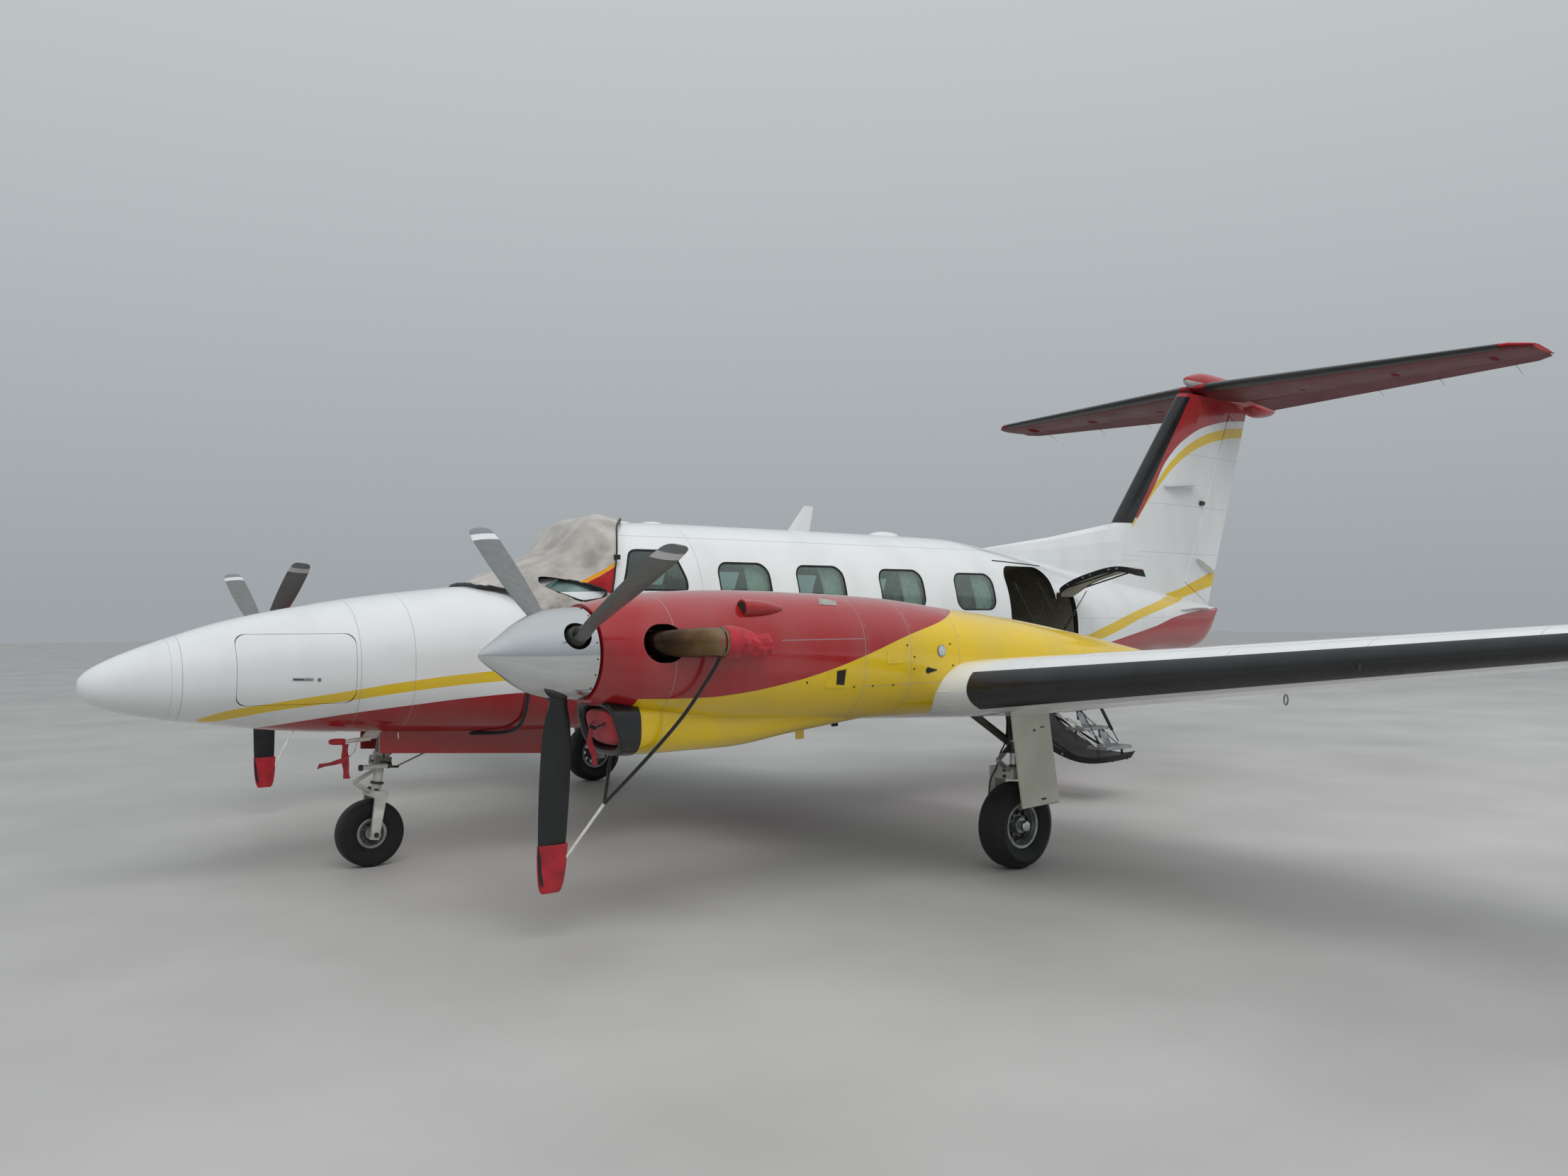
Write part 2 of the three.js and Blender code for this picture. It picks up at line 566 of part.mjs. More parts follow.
// Panes behind their openings, one sheet a side and one across the windscreen
const SIDE_PANE = { front: -3960, back: 680, from: 127, to: 172 };
const WINDSCREEN_PANES = { front: -3960, back: -3170, from: 58, to: 122 };
const wallDepth = [-5, CABIN_WALL + GAP];
const wholeWall = skinPanel(COCKPIT_FRONT - 20, CABIN_END, ROOF_EDGE - 20, 180 + BELLY_EDGE, ...wallDepth);
function sheet({ front, back, from, to }, grow) {
  const depth = [CABIN_WALL - 3, CABIN_WALL + 9 + grow];
  return skinPanel(front - grow, back + grow, from - grow * 0.1, to + grow * 0.1, ...depth);
}
addPair('window_glass', cut(sheet(SIDE_PANE, 0), wholeWall), 'glass');
addPart('windscreen', cut(sheet(WINDSCREEN_PANES, 0), wholeWall), 'glass');

// Fabric cover laid over the windscreen
const COVER = { front: -4238, back: -2950, from: 20, to: 160, near: 4.4, far: 18 };
// Its edge seen from above on the port side, from the front to the aft corner of the roof
const COVER_EDGE = [[-4238, 0], [-4225, 200], [-4060, 420], [-3960, 760], [-3380, 760], [-3310, 560],
  [-3230, 420], [-3050, 200], [-2960, 0]];
function windscreenCover() {
  const shell = skinPanel(COVER.front, COVER.back, COVER.from, COVER.to, -COVER.far, -COVER.near);
  const sideOpening = [[-3840, 1850], [-3420, 1845], [-3330, 2010], [-3640, 1960]];
  const openings = [[250, REACH], [-REACH, -250]].map((reach) => pushedThroughY(sideOpening, ...reach));
  const mirror = COVER_EDGE.slice(1, -1).reverse();
  const outline = [...COVER_EDGE.map(([x, y]) => [x, -y]), ...mirror];
  return cut(shell, ...openings).intersect(pushedThroughZ(outline, 1500, 2600));
}
addPart('windscreen_cover', windscreenCover(), 'fabric');

// Floor, seats, panel and rear bulkhead, which one floor structure carries
const FLOOR = { front: -3990, back: 1880, top: 1035, thick: 28 };
const COCKPIT_SEAT = { width: 430, depth: 430, height: 1330, back: 1900 };
const CABIN_SEAT = { width: 450, depth: 470, height: 1310, back: 1880 };
// Seats: x of the front edge, y of the centre, kind, facing aft
const SEATS = [
  [-3270, -300, COCKPIT_SEAT, false], [-3270, 300, COCKPIT_SEAT, false],
  [-1950, -330, CABIN_SEAT, true], [-1950, 330, CABIN_SEAT, true],
  [-900, -330, CABIN_SEAT, false], [-900, 330, CABIN_SEAT, false],
  [-60, -330, CABIN_SEAT, false], [-60, 330, CABIN_SEAT, false],
];
function seat([front, y, size, facingAft]) {
  const y0 = y - size.width / 2;
  const y1 = y + size.width / 2;
  const rear = front + size.depth;
  const cushion = box(front, rear, y0, y1, FLOOR.top - 5, size.height);
  const rest = facingAft ? box(front, front + 110, y0, y1, FLOOR.top - 5, size.back)
    : box(rear - 110, rear, y0, y1, FLOOR.top - 5, size.back);
  return joined(cushion, rest);
}
function cabinFloor() {
  const floor = box(FLOOR.front, FLOOR.back, -520, 520, FLOOR.top - FLOOR.thick, FLOOR.top);
  const sillRelief = box(STAIR_DOOR.front - 40, CARGO_DOOR.back + 10, -700, -300, 900, FLOOR.top + 5);
  const bulkhead = box(CABIN_END - 50, CABIN_END - 20, -REACH, REACH, 800, 2400);
  const panel = box(-3760, -3640, -450, 450, 1500, 1800);
  const pedestal = box(-3760, -3330, -90, 90, FLOOR.top - 5, 1510);
  const fittings = joined(cut(floor, sillRelief), bulkhead, panel, pedestal, ...SEATS.map(seat));
  const sideSheet = sheet(SIDE_PANE, 1);
  const lowerWall = skinPanel(COCKPIT_FRONT - 20, CABIN_END, 250, 290, ...wallDepth);
  const walls = [wholeWall, mirrored(wholeWall), lowerWall];
  const panes = [sideSheet, mirrored(sideSheet), sheet(WINDSCREEN_PANES, 1)];
  return cut(fittings.intersect(cabinSpace), ...panes, ...walls);
}
addPart('cabin_floor_and_seats', cabinFloor(), 'lining');

function tailCone() {
  const shell = bodyOf(FUSELAGE, CABIN_END + GAP, TAIL_END);
  return cut(shell, bodyOf(FUSELAGE, CABIN_END - 5, 4600, { inset: 22 }));
}
addPart('tail_cone', tailCone(), 'white');

// The doors stand open, swung about their hinges

const swung = (solid, { along, from }, degrees) =>
  turnedAboutPoint(solid, along.toArray(), degrees, from.toArray());
addPart('airstair_door', swung(stairDoor, STAIR_LINE, STAIR_DOOR_OPEN), 'white');
addPart('cargo_door', swung(cargoDoor, CARGO_LINE, -CARGO_DOOR_OPEN), 'white');

// Steps of the stair door as it hangs open: level treads on two sloping rails, with posts down to the door
const STEPS = { x0: 1040, x1: 1400, rail: 24, depth: 210, thick: 26, post: 250 };
// Outer edge and top height of each tread
const TREADS = [[-1075, 800], [-1320, 646], [-1562, 494]];
function airstairSteps() {
  const { x0, x1, rail, depth, thick, post } = STEPS;
  const pieces = TREADS.map(([y, z]) => box(x0 + 1, x1 - 1, y, y + depth, z - thick, z));
  for (const x of [x0 + rail / 2, x1 - rail / 2]) {
    const middles = TREADS.map(([y, z]) => [x, y + depth / 2, z - thick / 2]);
    pieces.push(bar(middles[0], middles[middles.length - 1], rail / 2, 8));
    for (const [, y, z] of middles) pieces.push(bar([x, y, z], [x, y - post / 8, z - post], rail / 2 - 1, 6));
  }
  const lining = skinPanel(STAIR_DOOR.front - 200, CABIN_END, ...PORT, -300, CABIN_WALL - 8 + GAP);
  return cut(joined(...pieces), swung(lining, STAIR_LINE, STAIR_DOOR_OPEN));
}
addPart('airstair_steps', airstairSteps(), 'metal');

// Wings, with flaps and ailerons cut from them

const grownWing = portWing(WING, AEROFOIL, GAP);
const grownNacelle = bodyOf(NACELLE, NACELLE_FRONT, NACELLE_END,
  { inset: -GAP, step: FACETS, centreY: -ENGINE_Y });
const grownTank = bodyOf(TIP_TANK, -3050, -40, { inset: -GAP, step: FACETS, centreY: -TANK_Y });

// Height of the wing's chord line, used to place hinges in it
function wingPoint(y, share) {
  const upper = WING.findIndex((row) => row[0] >= y);
  const [a, b] = [WING[upper - 1], WING[upper]];
  const part = (y - a[0]) / (b[0] - a[0]);
  const [, lead, trail, z, , drop] = a.map((value, k) => value + part * (b[k] - value));
  return [lead + share * (trail - lead), -y, z - drop * share];
}
const FLAP_HINGE = 0.74;
const AILERON_HINGE = 0.76;
// Movable surfaces: name, first and last span station, hinge share of the chord, nose radius
const SURFACES = [
  ['flap_inner', 815, 2225, FLAP_HINGE, 62],
  ['flap_outer', 3105, 4700, FLAP_HINGE, 56],
  ['aileron', 4760, 6760, AILERON_HINGE, 38],
];
const HINGES = {};
let wing = cut(portWing(WING, AEROFOIL, 0), outerBody, grownTank);
for (const [name, y0, y1, share, radius] of SURFACES) {
  const from = wingPoint(y0, share);
  const to = wingPoint(y1, share);
  HINGES[name] = [from, to];
  const [surface, rest] = hingedSurface(wing, from, to, radius, 8);
  addPair(name, surface, 'white');
  wing = rest;
}
addPair('wing', wing, 'white');
addPair('tip_tank', bodyOf(TIP_TANK, -3050, -40, { step: FACETS, centreY: -TANK_Y }), 'white');

// Nacelles

const EXHAUST = { x: -4498, z: 1530, radius: 78, end: -4150, reach: 490, can: 100 };
const STACK_HOLE = [-4590, -4325, 1437, 1623];
const ENGINE = { front: EXHAUST.x + EXHAUST.can + GAP, back: -2930, half: 225, bottom: 1275, top: 1655 };

function chinScoop() {
  const whole = bodyOf(CHIN, -4740, -2870, { step: FACETS, centreY: -ENGINE_Y });
  const front = [[-4900, 700], [-4485, 700], [-4485, 922], [-4655, 1232], [-4700, 1300], [-4900, 1300]];
  const mouth = pushedThroughY(front, -ENGINE_Y - 400, -ENGINE_Y + 400);
  return cut(whole, mouth);
}
const chinDuct = bodyOf(CHIN, -4740, -4120, { inset: 22, step: FACETS, centreY: -ENGINE_Y });

function nacelle() {
  const outside = bodyOf(NACELLE, NACELLE_FRONT, NACELLE_END, { step: FACETS, centreY: -ENGINE_Y });
  const shell = cut(joined(outside, chinScoop()), chinDuct);
  const engineBay = bodyOf(NACELLE, -4640, -2780, { inset: 42, step: FACETS, centreY: -ENGINE_Y })
    .intersect(box(-5000, -2000, -4000, 0, ENGINE.bottom - GAP, 1900));
  const shaftHole = bar([-4800, -ENGINE_Y, ENGINE_Z], [-4600, -ENGINE_Y, ENGINE_Z], 195, 24);
  const stackHole = pushedThroughY(roundedOutline(...STACK_HOLE, 92), -ENGINE_Y - 500, -ENGINE_Y + 500);
  return cut(shell, engineBay, shaftHole, stackHole, grownWing);
}
addPair('nacelle', nacelle(), 'red');

addPair('engine', box(ENGINE.front, ENGINE.back, -ENGINE_Y - ENGINE.half, -ENGINE_Y + ENGINE.half,
  ENGINE.bottom, ENGINE.top), 'darkMetal');

// Exhaust can across the engine with a stack out of each side, bent to point aft
function exhaustStack(side) {
  const y = (reach) => -ENGINE_Y + side * reach;
  const path = new THREE.CatmullRomCurve3([
    new THREE.Vector3(EXHAUST.x, y(120), EXHAUST.z),
    new THREE.Vector3(EXHAUST.x + 5, y(330), EXHAUST.z),
    new THREE.Vector3(EXHAUST.x + 130, y(455), EXHAUST.z + 2),
    new THREE.Vector3(EXHAUST.end, y(EXHAUST.reach), EXHAUST.z + 4),
  ]);
  const circle = new THREE.Shape();
  circle.absarc(0, 0, EXHAUST.radius, 0, Math.PI * 2);
  const along = { steps: 4, curveSegments: 5, extrudePath: path, bevelEnabled: false };
  const tube = new THREE.ExtrudeGeometry(circle, along);
  const end = [EXHAUST.end, y(EXHAUST.reach), EXHAUST.z + 4];
  const inside = bar([end[0] - 110, y(EXHAUST.reach - 14), end[2]], [end[0] + 20, y(EXHAUST.reach + 3), end[2]],
    EXHAUST.radius - 9, 10);
  return cut(solidOf(tube), inside);
}
function exhaust() {
  const can = bar([EXHAUST.x, -ENGINE_Y - 240, EXHAUST.z - 30], [EXHAUST.x, -ENGINE_Y + 240, EXHAUST.z - 30],
    EXHAUST.can, 12);
  return joined(can, exhaustStack(1), exhaustStack(-1));
}
addPair('exhaust', exhaust(), 'bronze');

// Propellers

const BLADE_ROOT = 46;
// Blade sections: radius, chord, thickness, twist from the flight direction in degrees
const BLADE = [
  [110, 88, 84, 20], [255, 92, 80, 18], [330, 124, 42, 14], [480, 158, 30, 9],
  [760, 170, 22, 2], [1020, 162, 15, -4], [1160, 138, 11, -7], [1205, 80, 7, -8],
];
const BLADE_SECTION = [[-0.5, 0], [-0.32, 0.42], [0.12, 0.54], [0.5, 0.02], [0.12, -0.42], [-0.32, -0.36]];
const ROUND_SECTION = BLADE_SECTION.map((_, k) => {
  const angle = Math.PI - k * Math.PI / 3;
  return [0.5 * Math.cos(angle), 0.5 * Math.sin(angle)];
});

// A feathered blade, standing straight down from the hub, camber towards the side it turns away from
function blade(turn) {
  const rings = BLADE.map(([radius, chord, thickness, twist]) => {
    const section = radius < 300 ? ROUND_SECTION : BLADE_SECTION;
    const angle = THREE.MathUtils.degToRad(twist) * turn;
    return section.map(([along, out]) => {
      const a = along * chord;
      const b = out * thickness * (radius < 300 ? 1 : 1.05) * turn;
      return [a * Math.cos(angle) - b * Math.sin(angle), a * Math.sin(angle) + b * Math.cos(angle), -radius];
    });
  });
  return loft(rings);
}
const HUB = { radius: 118, front: -4960, back: -4775 };
const SPINNER_PROFILE = [[0, 1], [0.30, 0.925], [0.58, 0.70], [0.84, 0.37], [1, 0]];
const SPINNER_SIDES = 18;
function spinnerProfile(inset) {
  const length = SPINNER.base - SPINNER.tip;
  return SPINNER_PROFILE.map(([radius, ahead]) =>
    [Math.max(0, radius * (SPINNER.radius - inset)), SPINNER.base - ahead * (length - inset)]);
}

// Propeller angles from straight down, in degrees, positive towards port
const PROPELLERS = [
  { side: 'left', y: -ENGINE_Y, first: -5.4 },
  { side: 'right', y: ENGINE_Y, first: 0.7 },
];
for (const { side, y, first } of PROPELLERS) {
  const centre = [PROPELLER_X, y, ENGINE_Z];
  const place = new THREE.Matrix4().makeTranslation(...centre);
  const roots = [];
  let hub = bar([HUB.front, y, ENGINE_Z], [HUB.back, y, ENGINE_Z], HUB.radius, 16);
  const inside = spinnerProfile(SPINNER.wall + 1.5 * GAP);
  const [edge, shoulder] = [inside[inside.length - 1], inside[inside.length - 2]];
  const radiusAt = (x) => edge[0] + (shoulder[0] - edge[0]) * (x - edge[1]) / (shoulder[1] - edge[1]);
  const plate = [SPINNER.base - 30, SPINNER.base - 12];
  const disc = [[0, plate[0]], [radiusAt(plate[0]), plate[0]], [radiusAt(plate[1]), plate[1]], [0, plate[1]]];
  hub = joined(hub, turnedAboutX(disc, y, ENGINE_Z, SPINNER_SIDES));
  hub = joined(hub, bar([HUB.back - 5, y, ENGINE_Z], [EXHAUST.x - EXHAUST.can - GAP, y, ENGINE_Z], 48, 12));
  for (const step of [0, 120, 240]) {
    const turned = new THREE.Matrix4().makeRotationX(THREE.MathUtils.degToRad(-(first + step)));
    const whole = place.clone().multiply(turned);
    hub = joined(hub, moved(blade(-1), whole));
    roots.push(moved(bar([0, 0, -180], [0, 0, -420], BLADE_ROOT + 12, 10), whole));
  }
  addPart(`propeller_${side}`, hub, 'rubber');
  const outer = spinnerProfile(0);
  const inner = spinnerProfile(SPINNER.wall).reverse();
  const shell = turnedAboutX([...outer, ...inner], y, ENGINE_Z, SPINNER_SIDES);
  addPart(`spinner_${side}`, cut(shell, ...roots), 'metal');
}

// Tail

const grownBullet = bodyOf(TAIL_BULLET, 4660, 6615, { inset: -GAP, step: FACETS });
const RUDDER_HINGE = [[4580, 0, 2010], [5560, 0, 4020]];
const dorsal = bodyOf(DORSAL_FIN, 1070, 3700, { step: 30 });
function stabilizerSolid(grow) {
  const port = portWing(STABILIZER, EVEN_AEROFOIL, grow);
  return joined(port, mirrored(port));
}
const finWhole = cut(joined(finSolid(), dorsal), outerBody, grownBullet, stabilizerSolid(GAP));
const [rudder, fin] = hingedSurface(finWhole, ...RUDDER_HINGE, 62, 8);
// Fin and stabilizer are boxes of skin and spars, open where they meet the tail cone and the fin
const SPAR_BOX = EVEN_AEROFOIL.filter(([share]) => share > 0.1 && share < 0.7);
const TAIL_SKIN = 16;
const finSpace = loft(FIN.map(([z, lead, trail, thickness], k) =>
  foilRing(SPAR_BOX, lead, trail, thickness, 0, -TAIL_SKIN, (x, dy) => [x, dy, k < 2 ? z : z - 110])));
addPart('fin', cut(fin, finSpace), 'red');
addPart('rudder', cut(rudder, bodyOf(FUSELAGE, 3000, TAIL_END, { inset: -8 })), 'red');
const stabilizerWhole = stabilizerSolid(0);
const ELEVATOR_HINGE = { x: 5795, z: 4266, inner: 165, outer: 3408 };
const elevatorCut = (y0, y1) => hingedSurface(stabilizerWhole, [ELEVATOR_HINGE.x, y0, ELEVATOR_HINGE.z],
  [ELEVATOR_HINGE.x, y1, ELEVATOR_HINGE.z], 40, 8, 3);
const [elevatorPort] = elevatorCut(-ELEVATOR_HINGE.outer, -ELEVATOR_HINGE.inner);
const elevatorBar = bar([ELEVATOR_HINGE.x, -ELEVATOR_HINGE.inner - 40, ELEVATOR_HINGE.z],
  [ELEVATOR_HINGE.x, ELEVATOR_HINGE.inner + 40, ELEVATOR_HINGE.z], 16, 24);
const elevatorLevel = joined(elevatorPort, mirrored(elevatorPort), elevatorBar);
// With nobody at the controls the elevator hangs on its lower stop
const ELEVATOR_DROOP = 10;
const elevator = turnedAboutPoint(elevatorLevel, [0, 1, 0], ELEVATOR_DROOP,
  [ELEVATOR_HINGE.x, 0, ELEVATOR_HINGE.z]);
const [, stabilizer] = elevatorCut(-ELEVATOR_HINGE.outer, ELEVATOR_HINGE.outer);
const halfSpace = portWing(STABILIZER.slice(0, 2), SPAR_BOX, -TAIL_SKIN);
addPart('elevator', elevator, 'red');
const stabilizerMouth = box(5080, 5420, -40, 40, 4150, 4290);
addPart('stabilizer', cut(stabilizer, halfSpace, mirrored(halfSpace), stabilizerMouth), 'red');
const stabilizerSlot = stabilizerSolid(2.6 * GAP)
  .intersect(box(4000, ELEVATOR_HINGE.x - 30, -400, 400, 4000, 4600));
const { x: hingeX, z: hingeZ } = ELEVATOR_HINGE;
const elevatorSlot = bar([hingeX, -400, hingeZ], [hingeX, 400, hingeZ], 16.6, 24);
addPart('tail_bullet', cut(bodyOf(TAIL_BULLET, 4660, 6615, { step: FACETS }), stabilizerSlot, elevatorSlot), 'red');

// Landing gear

function tyreProfile({ radius, width, rim }) {
  const half = width / 2;
  const crown = [[radius, -0.22 * half], [radius, 0.22 * half]];
  const shoulder = [[radius * 0.975, 0.66 * half]];
  const side = [[radius * 0.84, half], [rim, 0.66 * half]];
  const upper = [...crown.slice(1), ...shoulder, ...side];
  const lower = upper.map(([r, h]) => [r, -h]).reverse();
  const ring = [...lower, ...upper];
  return [...ring, ring[0]];
}
// Rim of two cups about a web, with a hub
function rimProfile({ width, rim }, bore) {
  const half = width / 2 * 0.66;
  const edge = rim - GAP;
  return [[bore, -half * 0.95], [bore + 28, -half * 0.95], [bore + 30, -14], [edge - 26, -14],
    [edge, -half], [edge, half], [edge - 26, 14], [bore + 30, 14],
    [bore + 28, half * 0.95], [bore, half * 0.95], [bore, -half * 0.95]];
}
const AXLE = { nose: 16, main: 22 };

function addWheel(name, wheel, y, bore) {
  addPart(`${name}_tyre`, turnedAboutY(tyreProfile(wheel), wheel.x, y, wheel.radius, 20), 'rubber');
  addPart(`${name}_rim`, turnedAboutY(rimProfile(wheel, bore), wheel.x, y, wheel.radius, 20), 'metal');
}
addWheel('nose_wheel', NOSE_WHEEL, 0, AXLE.nose + 0.6);
addWheel('main_wheel_left', MAIN_WHEEL, -MAIN_WHEEL.y, AXLE.main + 0.6);
addWheel('main_wheel_right', MAIN_WHEEL, MAIN_WHEEL.y, AXLE.main + 0.6);

const NOSE_LEG = { x: NOSE_WHEEL.x, collar: 676, crown: 486, top: 1160 };
// The nose leg is drawn upright over the wheel's centre, then leans aft about it
const raked = (solid) => turnedAboutPoint(solid, [0, 1, 0], NOSE_LEG_RAKE, [NOSE_WHEEL.x, 0, NOSE_WHEEL.radius]);
function noseLeg() {
  const { x, top, collar } = NOSE_LEG;
  const strut = bar([x, 0, collar], [x, 0, top], 44, 16);
  const collarBlock = box(x - 56, x + 56, -60, 60, collar, collar + 60);
  const brace = bar([x + 115, 0, 735], [x + 560, 0, 1140], 20, 8);
  const trunnion = bar([x + 125, -148, 1068], [x + 125, 148, 1068], 26, 10);
  const bayRoof = box(-6000, -3000, -400, 400, NOSE_WELL.top - GAP, 1300);
  return cut(joined(raked(joined(strut, collarBlock)), brace, trunnion), bayRoof);
}
addPart('nose_leg', noseLeg(), 'metal');

function noseFork() {
  const { x, collar, crown: crownZ } = NOSE_LEG;
  const z = NOSE_WHEEL.radius;
  const piston = bar([x, 0, crownZ], [x, 0, collar - GAP], 32, 16);
  const crown = box(x - 48, x + 48, -116, 116, crownZ - 22, crownZ + 22);
  const pieces = [piston, crown];
  for (const side of [-1, 1]) {
    const y0 = side < 0 ? -116 : 92;
    pieces.push(loft([
      [[x - 38, y0, crownZ], [x + 38, y0, crownZ], [x + 38, y0 + 24, crownZ], [x - 38, y0 + 24, crownZ]],
      [[x - 28, y0, z - 34], [x + 28, y0, z - 34], [x + 28, y0 + 24, z - 34], [x - 28, y0 + 24, z - 34]],
    ]));
  }
  const axle = bar([x, -110, z], [x, 110, z], AXLE.nose, 12);
  const elbow = [x - 157, 0, 548];
  const lowerLink = bar([x - 40, 0, crownZ + 6], elbow, 14, 8);
  const upperLink = bar(elbow, [x - 30, 0, collar - 36], 14, 8);
  return raked(joined(...pieces, axle, lowerLink, upperLink));
}
addPart('nose_fork', noseFork(), 'metal');

// Doors of the nose wheel well, hanging open from its edges
const noseDoorOutline = [[-4880, 770], [-3650, 680], [-3650, 905], [-4880, 930]];
for (const [side, y0, y1] of [['left', -188, -170], ['right', 170, 188]]) {
  addPart(`nose_gear_door_${side}`, cut(pushedThroughY(noseDoorOutline, y0, y1), outerBody), 'red');
}

function mainLeg() {
  const { x, y, radius } = MAIN_WHEEL;
  const legY = -y;
  const crownZ = 622;
  const cylinder = bar([x, legY, 760], [x, legY, 1200], 54, 16);
  const piston = bar([x, legY, crownZ - 10], [x, legY, 770], 34, 14);
  const crown = box(x - 62, x + 50, legY - 44, legY + 168, crownZ - 38, crownZ + 36);
  const armInner = legY + 122;
  const arm = loft([
    [[x - 62, armInner, crownZ], [x + 48, armInner, crownZ],
      [x + 48, armInner + 46, crownZ], [x - 62, armInner + 46, crownZ]],
    [[x - 44, armInner, radius - 46], [x + 44, armInner, radius - 46],
      [x + 44, armInner + 46, radius - 46], [x - 44, armInner + 46, radius - 46]],
  ]);
  const axle = bar([x, legY - 82, radius], [x, armInner + 20, radius], AXLE.main, 14);
  const upperLink = bar([x - 45, legY, 800], [x - 165, legY, 715], 16, 8);
  const lowerLink = bar([x - 165, legY, 715], [x - 50, legY, 640], 16, 8);
  const dragBrace = bar([x - 20, legY + 20, 815], [x - 470, legY + 90, 1120], 26, 8);
  const whole = joined(cylinder, piston, crown, arm, axle, upperLink, lowerLink, dragBrace);
  return cut(whole, grownWing, grownNacelle);
}
addPair('main_leg', mainLeg(), 'darkMetal');
const legDoorOutline = [[-1700, 412], [-1340, 425], [-1470, 1200], [-1830, 1200]];
const legDoor = cut(joined(pushedThroughY(legDoorOutline, -2965, -2950),
  bar([-1600, -2952, 860], [-1600, -2857.6, 860], 14, 8)), grownWing, grownNacelle);
addPair('main_gear_door', legDoor, 'white');

export default aircraft;
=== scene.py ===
# A twin turboprop aircraft parked with its stair and cargo doors open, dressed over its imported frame.
# Metres: X runs aft, Y to starboard, Z up from the ground. The port side faces the camera.
import json
import math

import bmesh
import bpy
import numpy as np
from mathutils import Matrix, Vector, noise


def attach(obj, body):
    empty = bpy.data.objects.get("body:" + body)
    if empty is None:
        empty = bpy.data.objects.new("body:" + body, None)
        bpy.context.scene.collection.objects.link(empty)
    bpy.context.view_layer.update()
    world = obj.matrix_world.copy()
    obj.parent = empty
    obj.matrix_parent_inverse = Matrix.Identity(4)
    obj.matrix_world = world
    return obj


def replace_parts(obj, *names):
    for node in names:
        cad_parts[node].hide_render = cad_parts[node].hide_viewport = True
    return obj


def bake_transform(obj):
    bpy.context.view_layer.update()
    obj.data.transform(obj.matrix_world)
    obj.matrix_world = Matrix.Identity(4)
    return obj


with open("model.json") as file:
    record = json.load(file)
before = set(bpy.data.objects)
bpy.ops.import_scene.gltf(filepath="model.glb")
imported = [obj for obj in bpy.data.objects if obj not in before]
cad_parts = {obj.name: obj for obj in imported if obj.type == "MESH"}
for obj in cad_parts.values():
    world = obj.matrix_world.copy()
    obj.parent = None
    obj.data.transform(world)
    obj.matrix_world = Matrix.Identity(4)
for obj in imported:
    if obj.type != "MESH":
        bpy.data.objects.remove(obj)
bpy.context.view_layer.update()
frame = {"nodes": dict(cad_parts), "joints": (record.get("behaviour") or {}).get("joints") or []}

# Camera: place, direction and focal length of the photograph

PICTURE_WIDTH, FOCAL_PIXELS, SENSOR = 2212, 1723.05, 36.0
CAMERA_PLACE = Vector((-7.8088, -8.2069, 1.6716))
CAMERA_TURN = [math.radians(v) for v in (-38.3677, 1.2583, -0.3099)]   # azimuth, pitch, roll


def place_camera():
    azimuth, pitch, roll = CAMERA_TURN
    ahead = Vector((-math.sin(azimuth) * math.cos(pitch), math.cos(azimuth) * math.cos(pitch),
                    math.sin(pitch)))
    right = Vector((math.cos(azimuth), math.sin(azimuth), 0.0))
    up = right.cross(ahead)
    rolled_right = math.cos(roll) * right + math.sin(roll) * up
    rolled_up = -math.sin(roll) * right + math.cos(roll) * up
    lens = bpy.data.cameras.new("camera")
    lens.sensor_width = SENSOR
    lens.lens = FOCAL_PIXELS / PICTURE_WIDTH * SENSOR
    lens.clip_end = 400
    camera = bpy.data.objects.new("camera", lens)
    turn = Matrix((rolled_right, rolled_up, -ahead)).transposed().to_4x4()
    camera.matrix_world = Matrix.Translation(CAMERA_PLACE) @ turn
    bpy.context.scene.collection.objects.link(camera)
    bpy.context.scene.camera = camera


place_camera()

# Materials

def hex_colour(text):
    channels = [int(text[i:i + 2], 16) / 255 for i in (0, 2, 4)]
    linear = [c / 12.92 if c <= 0.04045 else ((c + 0.055) / 1.055) ** 2.4 for c in channels]
    return (*linear, 1.0)


# A second word in a node's kind is its mode, as in "Math ADD": here is the setting that takes it
MODES = {"Math": "operation", "Mix": "data_type"}


def feed(tree, socket, value):
    """Links a socket to another node's, or sets its value; text is a hex colour."""
    if isinstance(value, bpy.types.NodeSocket):
        tree.links.new(value, socket)
    else:
        socket.default_value = hex_colour(value) if isinstance(value, str) else value


def node(tree, kind, *values, **named):
    """Adds a node: values fill its inputs in order, small names are settings, others are inputs by name."""
    kind, _, mode = kind.partition(" ")
    made = tree.nodes.new("ShaderNode" + kind)
    if mode:
        setattr(made, MODES[kind], mode)
    for key, value in named.items():
        if key.islower():
            setattr(made, key, value)
        else:
            feed(tree, made.inputs[key.replace("_", " ")], value)
    for socket, value in zip([socket for socket in made.inputs if socket.enabled], values):
        feed(tree, socket, value)
    return next((socket for socket in made.outputs if socket.enabled), None)


def new_material(name):
    material = bpy.data.materials.new(name)
    material.use_nodes = True
    material.node_tree.nodes.clear()
    return material, material.node_tree


def close_material(material, tree, colour, roughness, bump=None, **constants):
    """Ends a material's nodes in its shader and output."""
    if bump is not None:
        constants["Normal"] = bump
    shader = node(tree, "BsdfPrincipled", Base_Color=colour, Roughness=roughness, **constants)
    node(tree, "OutputMaterial", Surface=shader)
    return material


